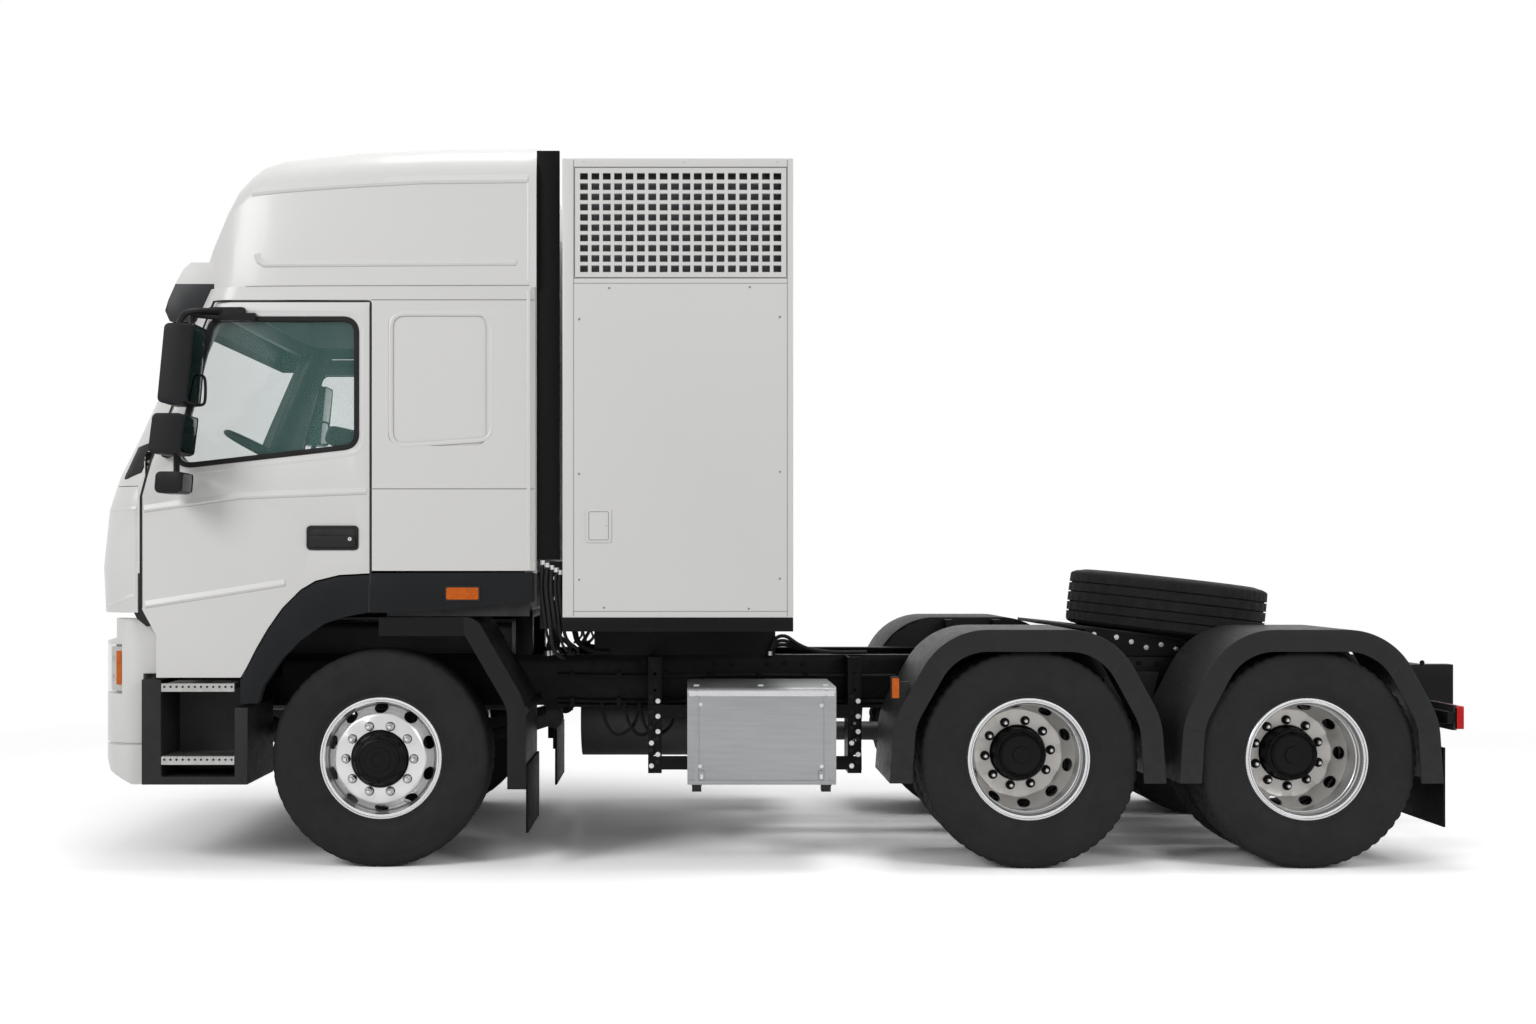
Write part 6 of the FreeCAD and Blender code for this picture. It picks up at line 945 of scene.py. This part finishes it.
def cab_mouldings():
    body, roof, corner = Plain(-HALF), Skin("high_roof"), Skin("corner_panels", "cab_shell")
    form = Form()
    upper = [(-620, 3319), (-465, 3334), (-156, 3357), (210, 3377), (735, 3383)]
    lower = [(-600, 3020), (-590, 2985), (-560, 2968), (-300, 2969), (680, 2976)]
    for route, width, rise in ((upper, 40, 7.0), (lower, 34, 6.0)):
        crease(form, roof, route, width, rise, width * 0.34, line_profile(4.5, 0.9), 2)
    ridge(form, roof, [(-650, 2862), (-200, 2864), (745, 2866)], line_profile(4.5, 0.7), 1)
    for z in (2793, 1868):
        ridge(form, body, [(-30, z), (770, z)], line_profile(4.0, 0.6), 1)
    ridge(form, body, [(REAR_EDGE_X, 1470), (REAR_EDGE_X, 2840)], REAR_EDGE)
    ridge(form, roof, [(REAR_EDGE_X, 2880), (REAR_EDGE_X, 3370)], REAR_EDGE)
    ridge(form, corner, [(-1325, 1762), (-1240, 1766), (-1180, 1768)], swage(22, 3.5))
    ridge(form, corner, [(-1184, 1350), (-1184, 1755)],
          [(-8, -2), (-8, 0.2), (-2, 3.6), (3, 3.4), (12, 0.2), (12, -2)])
    ridge(form, corner, [(-1385, 1292), (-1300, 1300), (-1180, 1345)], swage(26, 3.5))
    panel = rounded([(67, 2078), (560, 2112), (560, 2724), (67, 2724)], 70, 8)
    ridge(form, body, panel, [(-12, -2), (-12, 0.1), (-5, 3.4), (2, 3.0), (9, -1.5), (9, -3)], 0, True, 60)
    form.mirror()
    shaped(form, [WHITE, SHADE, CREASE], "cab_mouldings", "cab")


def cab_seals():
    form = Form()
    ridge(form, Plain(-HALF), DOOR_LINE, line_profile(8.0, 0.35, 3.0))
    wedge = [(-1193, 1262), (-1178, 1232), (-1130, 1193), (-1090, 1203), (-1100, 1242), (-1149, 1296)]
    form.prism(wedge, "xz", -1238, -1180, 1)
    pillar = rounded([(-1262, 1908), (-1112, 1964), (-1062, 2012), (-1112, 2096), (-1190, 2074)], 12, 3)
    slab(form, Skin("corner_panels", "cab_shell"), pillar, 2.5, 1, 4.0)
    form.block(40, 742, -1200, -1190, 1243, 1335)
    form.mirror()
    shaped(form, [GROOVE, PLASTIC], "cab_seals", "cab")


def side_markers():
    form = Form()
    ridge(form, Plain(-HALF), [(-39, 1262), (-39, 1403)], line_profile(5.0, 0.6), 2)
    edge, lens = box_outline(330, 506, 1318, 1393, 12), box_outline(339, 497, 1326, 1385, 8)
    ring_frame(form, edge, lens, -1251, -1252, -1240, 1)
    front = [(a * 0.97 + 12.5, b * 0.97 + 40.7) for a, b in lens]
    stack(form, [(lens, -1240), (lens, -1254), (front, -1257)], 0)
    for x in (366, 392, 444, 470):
        form.block(x - 1.2, x + 1.2, -1258.2, -1256, 1334, 1377)
    form.mirror()
    shaped(form, [ORANGE, PLASTIC, GROOVE], "side_markers", "cab")


def lamp_insides():
    """Housing and reflectors behind the headlamp glass, with the orange side lens."""
    lens = Skin("headlamps")
    form = Form()
    rows = []
    for x in LAMP_XS:
        found = [lens.spot(x, z) or (Vector((x, -1150, z)), Vector((0, -1, 0))) for z in LAMP_ZS]
        rows.append([p - out * 16 for p, out in found])
    form.sheet(rows, loop=False)
    form.sheet([[p + Vector((6, 6, 0)) for p in row[::-1]] for row in rows], loop=False)
    form.mirror()
    shaped(form, [SATIN], "lamp_housings", "chassis")
    form = Form()
    bowl = [(0, 30), (16, 28), (30, 18), (36, 4), (38, 0), (34, 1), (14, 22), (0, 25)]
    for z in (1032, 935):
        p, out = lens.spot(-1362, z) or (Vector((-1362, -1110, z)), Vector((-1, 0, 0)))
        form.turned(bowl, p - out * 20 + Vector((8, 14, 0)), "x", 28)
    slab(form, lens, box_outline(-1308, -1279, 903, 1071, 8), 1.2, 1, 3)
    form.mirror()
    shaped(form, [BRIGHT, ORANGE], "lamp_reflectors", "chassis")


def slots(form, skin, half_width, levels, half_height, rise):
    for z in levels:
        slab(form, skin, [(-half_width, z - half_height), (half_width, z - half_height),
                          (half_width, z + half_height), (-half_width, z + half_height)], rise)


def front_grilles():
    bumper = Skin("front_bumper", "headlamps", front=True)
    form = Form()
    slots(form, bumper, 430, (640, 676, 712, 748), 11, 0.9)
    slab(form, bumper, box_outline(-262, 262, 800, 912, 8), 1.0, 1)
    shaped(form, [GROOVE, WHITE], "bumper_grille", "chassis")
    hatch = Skin("front_hatch", "corner_panels", "cab_shell", front=True)
    form = Form()
    slots(form, hatch, 560, (1345, 1395, 1445), 13, 0.8)
    ridge(form, hatch, box_outline(-640, 640, 1300, 1840, 30), line_profile(5, 0.5), 1, True, 60)
    shaped(form, [GROOVE, SHADE], "hatch_grille", "hatch")


def wipers():
    screen = Skin("windscreen", "cab_shell", front=True)
    form = Form()
    for y0, y1 in ((-960, -330), (-300, 330), (360, 990)):
        shares = [i / 10 for i in range(11)]
        arm = [screen.spot(y0 + (y1 - y0) * t, 1990 + 24 * math.sin(math.pi * t)) for t in shares]
        form.tube([p + out * 14 for p, out in arm], 5.5, 8)
        form.tube([p + out * 5 for p, out in arm], 4.0, 6, 1)
        p, out = arm[0]
        form.tube([p + out * 2 + Vector((0, 0, -40)), p + out * 24 + Vector((0, 0, -20)), p + out * 14], 9)
    shaped(form, [PLASTIC, RUBBER], "wipers", "cab")


# Cabinet and side box

def cabinet_fittings():
    side, thin = Plain(-CABINET_Y), line_profile(3.6, 0.5)
    form = Form()
    for x in (961, 2008):
        ridge(form, side, [(x, 1245), (x, 3480)], thin)
    for z in (1268, 2875, 2900, 3444):
        ridge(form, side, [(961, z), (2008, z)], thin)
    for x, z in ((1135, 2851), (1824, 2856), (988, 2699), (1971, 2709), (988, 1941), (1971, 1951),
                 (988, 1423), (1971, 1428), (1110, 1286), (1819, 1281)):
        form.disc((x, -CABINET_Y, z), 8, "y", -2.0, 14, 1)
        form.disc((x, -CABINET_Y - 1.5, z), 4, "y", -2.0, 6, 2)
    slab(form, side, box_outline(1022, 1146, 1604, 1770, 12), 7.0, 3, 2.0, 1.0)
    ridge(form, side, box_outline(1036, 1132, 1618, 1756, 8), line_profile(3, 8.6, -4), 0, True, 40)
    form.disc((1120, -1247, 1688), 6, "y", -3, 12, 1)
    for x in (1010, 1500, 1960):
        form.disc((x, -CABINET_Y, 3468), 5, "y", -2, 8, 1)
    form.mirror()
    for y in (-600, 0, 600):
        form.block(2036.2, 2037.6, y - 2, y + 2, 1260, 3470)
    for z in (1268, 2000, 2730, 3460):
        form.block(2036.2, 2037.6, -1215, 1215, z - 2, z + 2)
    for y in range(-1140, 1141, 120):
        for z in (1300, 2030, 2760, 3430):
            form.disc((2036.5, y, z), 7, "x", 1.0, 10, 1)
    shaped(form, [SHADE, SCREW, GROOVE, WHITE], "cabinet_fittings", "chassis")


def cabinet_skirts():
    """Dark plates that close the sides between the cabinet's base and the frame."""
    form = Form()
    form.block(1017, 1990, -431.5, -427, 1009, 1170)
    for x0, x1 in ((1105, 1415), (1520, 1830)):
        form.block(x0, x1, -435, -431, 1030, 1150)
    form.mirror()
    shaped(form, [STEEL], "cabinet_skirts", "chassis")


def side_box_fittings():
    face = Plain(-BOX_Y)
    form = Form()
    for x, inner in ((1563, 1577), (2199, 2185)):
        ridge(form, face, [(x, 424), (x, 880)], [(-9, -2), (-9, 0.8), (-5, 2.6), (5, 2.6), (9, 0.8), (9, -2)])
        ridge(form, face, [(inner, 424), (inner, 880)], line_profile(2.5, 0.4), 2)
        form.block(x - 22, x + 24, -1215, -1150, 381, 418, 3)
        form.prism([(x - 26, 418), (x + 28, 418), (x + 20, 400), (x - 18, 400)], "xz", -1225, -1140, 3)
    ridge(form, face, [(1526, 868), (2240, 868)],
          [(-16, -2), (-16, 0.4), (-12, 3), (8, 3), (12, 0.4), (12, -2)], 1)
    ridge(form, face, [(1526, 430), (2240, 430)], [(-6, -2), (-6, 2.0), (8, 2.0), (8, -2)])
    bolts(form, ((1584, 812), (2176, 807), (1580, 509), (2176, 509)), -BOX_Y, 6.5, 4, -1, 6)
    for x in (1588, 2174):
        form.block(x - 11, x + 11, -1240, -1233, 442, 486)
        form.block(x - 7, x + 7, -1244, -1240, 448, 470, 4)
    for x in (1563, 1880, 2199):
        form.block(x - 14, x + 14, -1180, -1150, 896, 905, 4)
    shaped(form, [SILVER, BRIGHT, SHADE, PLASTIC, SCREW], "side_box_fittings", "chassis", 0.6)


# Frame, fenders and rear

def rail_fixings():
    form = Form()
    for side, _ in SIDES:
        for x in range(1000, 5560, 95):
            if x // 95 % 4 != 3:
                shift = 6 if x // 95 % 2 else 0
                bolts(form, ((x, 788 + shift), (x, 962 + shift)), side * RAIL_Y, 9, 0, side, 11)
        for x in (3540, 3600, 3700, 3760, 3900, 3960, 4080, 4140, 4200):
            bolt(form, x, side * RAIL_Y, 880 + 20 * (x // 20 % 2), 10, 0, side, 14)
        for x in (3560, 3640, 3800, 3980, 4060, 4160):
            bolt(form, x, side * 428, 1050, 9, 1, side, 9)
    shaped(form, [STEEL, SCREW], "rail_fixings", "chassis")


def front_hoses(form):
    """Four pipes that rise behind the cab and run back onto the frame."""
    for shift, radius in ((0, 13), (34, 11), (70, 12), (104, 9)):
        fixed_pipe(form, [
            (770 + shift * 0.4, -470 + shift, 1015), (790 + shift * 0.5, -475 + shift, 1120 + shift * 0.7),
            (850, -470 + shift, 1190 + shift * 0.8), (905, -460 + shift, 1150 + shift * 0.3),
            (930, -460 + shift, 1080), (1000, -455 + shift, 1035 + shift * 0.2),
            (1100, -450 + shift, 1024 + shift * 0.15)], radius, 12)
        form.disc((770 + shift * 0.4, -470 + shift, 1008), radius + 5, "z", 26, 12, 1)


def rear_hoses(form):
    """Three pipes that bend down behind the cabinet."""
    for y, rise in ((-452, 96), (-440, 70), (-425, 48)):
        fixed_pipe(form, [
            (1960, y, 1016), (1985, y, 1016 + rise * 0.8), (2040, y, 1016 + rise),
            (2110, y, 1016 + rise * 0.55), (2180, y, 1040), (2300, y + 8, 1024),
            (2480, y + 10, 1024)], 10, 12)
        form.disc((1960, y, 1008), 15, "z", 22, 12, 1)


CORNER_HOSES = ((806, 1198, 1090), (828, 1204, 1050), (852, 1196, 1120), (874, 1206, 1070),
                (892, 1198, 1100))


def corner_hoses(form, side):
    """Bracket and pipes in the corner between the cab and the cabinet."""
    near, far = sorted((side * 1190, side * 1150))
    form.prism([(792, 1180), (902, 1180), (902, 1512), (836, 1512), (792, 1440)], "xz", near, far, 2)
    for i, (x, y, low) in enumerate(CORNER_HOSES):
        fixed_pipe(form, [
            (x, side * y, 1500 - 12 * i), (x - 6, side * (y + 4), 1380), (x + 10, side * y, 1240),
            (x + 26, side * (y - 60), low + 30), (x + 60, side * (y - 300), low - 30),
            (x + 40, side * 520, 1030)], 7 + i % 3 * 2)
        form.disc((x, side * y, 1496 - 12 * i), 14, "z", 22, 10, 1)
    for z in (1230, 1330, 1430):
        form.disc((862, side * 1190, z), 9, "y", side * 6, 6, 1)


def frame_pipes():
    form = Form()
    front_hoses(form)
    rear_hoses(form)
    for y, z in ((-446, 742), (-446, 768), (-452, 905)):
        fixed_pipe(form, [(820, y, z), (1300, y - 6, z - 8), (1800, y, z), (2420, y - 4, z - 6),
                          (2900, y, z)], 9)
    for x in range(900, 2900, 250):
        form.block(x - 12, x + 12, -462, -430, 730, 780, 2)
        form.block(x - 12, x + 12, -466, -430, 892, 918, 2)
    for side, _ in SIDES:
        corner_hoses(form, side)
    for x in (1060, 1180, 1260):
        fixed_pipe(form, [(x, -520, 760), (x + 30, -560, 650), (x + 90, -540, 590), (x + 170, -520, 640),
                          (x + 200, -500, 740)], 9)
    shaped(form, [RUBBER, SCREW, STEEL], "frame_pipes", "chassis")


def hanger_fixings():
    form = Form()
    for x in (1345, 2395):
        for z in (440, 500, 560, 620, 700, 780):
            shift = 18 if z % 40 else -16
            form.disc((x + shift, -652, z), 13, "y", -1.5, 16, 1)
            bolt(form, x - shift, -652, z + 22, 8, 0, -1, 8)
    form.mirror()
    shaped(form, [CAST, SCREW], "hanger_fixings", "chassis")


def spoke(middle_x, degrees, radius):
    """Point (x, z) on a spoke of the wheel below a fender."""
    a = math.radians(degrees)
    return middle_x + radius * math.cos(a), TYRE_R + radius * math.sin(a)


def under_fender(fender, middle_x, degrees):
    """Point just inside the fender's outer edge along a spoke of its wheel."""
    hits = [r - 6 for r in range(600, 736, 4) if fender.spot(*spoke(middle_x, degrees, r))]
    return spoke(middle_x, degrees, max([632] + hits))


def fender_fittings():
    """Side lamps, seams and inner plates of the rear fenders."""
    fender = Skin("rear_fenders")
    form = Form()
    form.prism(box_outline(2521, 2555, 844, 941, 7), "xz", -1244, -1212)
    form.prism(box_outline(2515, 2561, 838, 947, 9), "xz", -1226, -1206, 1)
    form.block(2540, 2610, -1216, -1200, 862, 922, 1)
    for z in (858, 880, 905, 928):
        form.block(2524, 2552, -1245, -1243, z - 1.2, z + 1.2)
    for middle_x in (FIRST_AXLE, SECOND_AXLE):
        for degrees in (134, 47):
            near = [spoke(middle_x, degrees, r) for r in range(560, 760, 8)]
            found = [(p, fender.spot(*p)) for p in near]
            hits = [p for p, hit in found if hit and abs(hit[0].y + HALF) < 3]
            if len(hits) > 2:
                ridge(form, Plain(-HALF), [hits[0], hits[-1]], line_profile(4.5, 0.6, 3), 2)
        arc = [under_fender(fender, middle_x, a) for a in range(34, 147, 8)]
        low = [spoke(middle_x, a, 470) for a in range(146, 33, -8)]
        form.prism(arc + low, "xz", -552, -547, 1)
    form.mirror()
    shaped(form, [ORANGE, PLASTIC, GROOVE], "fender_fittings", "chassis")


def fifth_wheel_brackets():
    form = Form()
    plate = [(3640, 1005), (4330, 1005), (4327, 1060), (4200, 1074), (3900, 1128), (3700, 1158), (3655, 1150)]
    form.prism(plate, "xz", -441, -432)
    bolts(form, ((3700, 1120), (3760, 1060), (3820, 1105), (3900, 1080), (3980, 1050), (4060, 1065),
                 (4140, 1042), (4220, 1050), (4290, 1032), (3680, 1040)), -441, 9, 1, -1, 9)
    form.mirror()
    shaped(form, [STEEL, SCREW], "fifth_wheel_brackets", "chassis", 1.0)


def tail_lamp_mounts():
    form = Form()
    for side, _ in SIDES:
        y0, y1 = sorted((side * 860, side * 1233))
        form.prism(box_outline(y0, y1, 684, 808, 12), "yz", 5274, 5290)
        for share in (0.33, 0.66):
            y = y0 + (y1 - y0) * share
            form.block(5325.5, 5327.5, y - 2, y + 2, 694, 798)
    shaped(form, [PLASTIC], "tail_lamp_mounts", "chassis")


def step_grips():
    """Ribs on top of the step treads and round marks on their edges."""
    form = Form()
    for low, high in ((884, 912), (526, 556)):
        for i in range(24):
            x = -1056 + i * 15
            form.prism([(x, high), (x + 10, high), (x + 8, high + 3), (x + 2, high + 3)], "xz", -1232, -1080)
        for i in range(12):
            form.disc((-1045 + i * 30, -1235, (low + high) / 2), 6, "y", -1.2, 12, 1)
    form.mirror()
    shaped(form, [TREADPLATE, GROOVE], "step_grips", "chassis")


# Seats and bunk

PAD_RINGS, PAD_AROUND = 22, 44


def signed_power(value, exponent):
    return math.copysign(abs(value) ** exponent, value)


def cushion(name, middle, half, lean=0.0, crown=0.12, channels=(), tight=0.28):
    """Crowned closed pad: half sizes along x, y, z, leaning back about its middle, with sewn channels
    across its top at shares of its width."""
    cos_lean, sin_lean = math.cos(lean), math.sin(lean)
    rows = []
    for i in range(PAD_RINGS + 1):
        v = -math.pi / 2 + math.pi * i / PAD_RINGS
        girth, row = signed_power(math.cos(v), tight), []
        for j in range(PAD_AROUND):
            u = 2 * math.pi * j / PAD_AROUND
            x, y = girth * signed_power(math.cos(u), tight), girth * signed_power(math.sin(u), tight)
            z = signed_power(math.sin(v), tight) * (1 + crown * (1 - x * x) * (1 - y * y))
            x *= 1 + 0.03 * (1 - z * z)
            for share, axis in channels:
                gap = abs((x if axis == "x" else y) - share)
                if z > 0.2 and gap < 0.09:
                    z -= 0.14 * (1 - gap / 0.09) ** 2
            px, py, pz = x * half[0], y * half[1], z * half[2]
            row.append((middle[0] + px * cos_lean + pz * sin_lean, middle[1] + py,
                        middle[2] - px * sin_lean + pz * cos_lean))
        rows.append(row)
    form = Form()
    form.sheet(rows)
    shaped(form, [SEAT], name, "cab", sharp=60)


def make_seats():
    frames = Form()
    for side, word in SIDES:
        y = side * 620
        cushion("seat_pad_" + word, (-300, y, 1712), (250, 240, 58), 0.03, 0.16,
                [(-0.55, "y"), (0.55, "y"), (0.0, "x")])
        cushion("seat_back_" + word, (-28, y, 2075), (330, 238, 55), math.radians(-163), 0.16,
                [(-0.5, "y"), (0.5, "y"), (-0.25, "x"), (0.35, "x")])
        cushion("head_rest_" + word, (62, y, 2432), (70, 135, 38), math.radians(-73), 0.2)
        frames.prism([(-525, 1640), (-70, 1640), (-45, 1668), (-520, 1668)], "xz", y - 225, y + 225)
        for z in range(1372, 1640, 38):
            frames.block(-398, -202, y - 140, y + 140, z, z + 26, 1)
        frames.block(-385, -215, y - 128, y + 128, 1352, 1640)
        frames.prism([(-40, 1660), (-10, 1660), (88, 2400), (66, 2400)], "xz", y - 170, y + 170)
    frames.block(134, 715, -1175, 1175, 1352, 1790)
    for y in (-590, 0, 590):
        frames.block(130.5, 134.5, y - 270, y + 270, 1400, 1740, 1)
    shaped(frames, [INTERIOR, PLASTIC], "seat_frames", "cab", replaced=["seats_and_bunk"])
    cushion("bunk_mattress", (425, 0, 1868), (282, 1160, 72), 0.0, 0.10,
            [(v / 6, "y") for v in range(-5, 6, 2)], tight=0.2)


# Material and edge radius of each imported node

DRESSING = (
    (STEEL, 2, "cabinet_base cross_members fender_arms fifth_wheel_base frame_rail_left frame_rail_right"),
    (STEEL, 1, "side_hangers"), (STEEL, 0, "air_tanks"), (CASE, 4, "battery_block"),
    (CAST, 2, "bogie_springs fifth_wheel_plate front_springs knuckle_left knuckle_right"),
    (CAST, 3, "drive_axles front_axle_beam"), (CAST, 1, "tie_rod"), (DRIVE, 3, "drive_units"),
    (TRIM, 6, "cab_dark_trims"), (CAB_WHITE, 0, "cab_shell"), (WHITE, 0, "cabinet_grilles high_roof"),
    (WHITE, 5, "cabinet_shell front_bumper"), (WHITE, 3, "corner_panels front_hatch"),
    (INTERIOR, 4, "dashboard"), (GLASS, 0, "door_glass_left door_glass_right windscreen"),
    (DOOR_WHITE, 3, "door_left door_right"), (GUARD, 3, "front_mudguards"), (LENS, 1, "headlamps"),
    (HEAD, 13, "mirror_left mirror_right"), (FLAP, 1.5, "mud_flaps"), (PLASTIC, 2, "rear_fenders"),
    (SEAT, 0, "seats_and_bunk"), (SILVER, 5, "side_box"), (PLASTIC, 6, "step_boxes"),
    (TREADPLATE, 2, "step_treads"), (VISOR, 2, "sun_visor"), (RED, 4, "tail_lamps"),
    (RUBBER, 0, "front_tyre_left front_tyre_right spare_tyre twin_tyres_first_left twin_tyres_first_right"),
    (RUBBER, 0, "twin_tyres_second_left twin_tyres_second_right"),
    (ALLOY, 0, "front_wheel_left front_wheel_right spare_wheel twin_wheels_first_left"),
    (ALLOY, 0, "twin_wheels_first_right twin_wheels_second_left twin_wheels_second_right"),
)

bpy.context.scene.view_settings.view_transform = "Standard"
make_camera()
make_world()
make_floor()
for light in LIGHTS:
    soft_light(*light)
for material, bevel, names in DRESSING:
    for name in names.split():
        dress(name, material, bevel)
for make in (make_wheels, make_spare, door_fittings, mirror_plates, cab_mouldings, cab_seals, side_markers,
             lamp_insides, front_grilles, wipers, cabinet_fittings, cabinet_skirts, side_box_fittings,
             rail_fixings, frame_pipes, hanger_fixings, fender_fittings, fifth_wheel_brackets,
             tail_lamp_mounts, step_grips, make_seats):
    make()
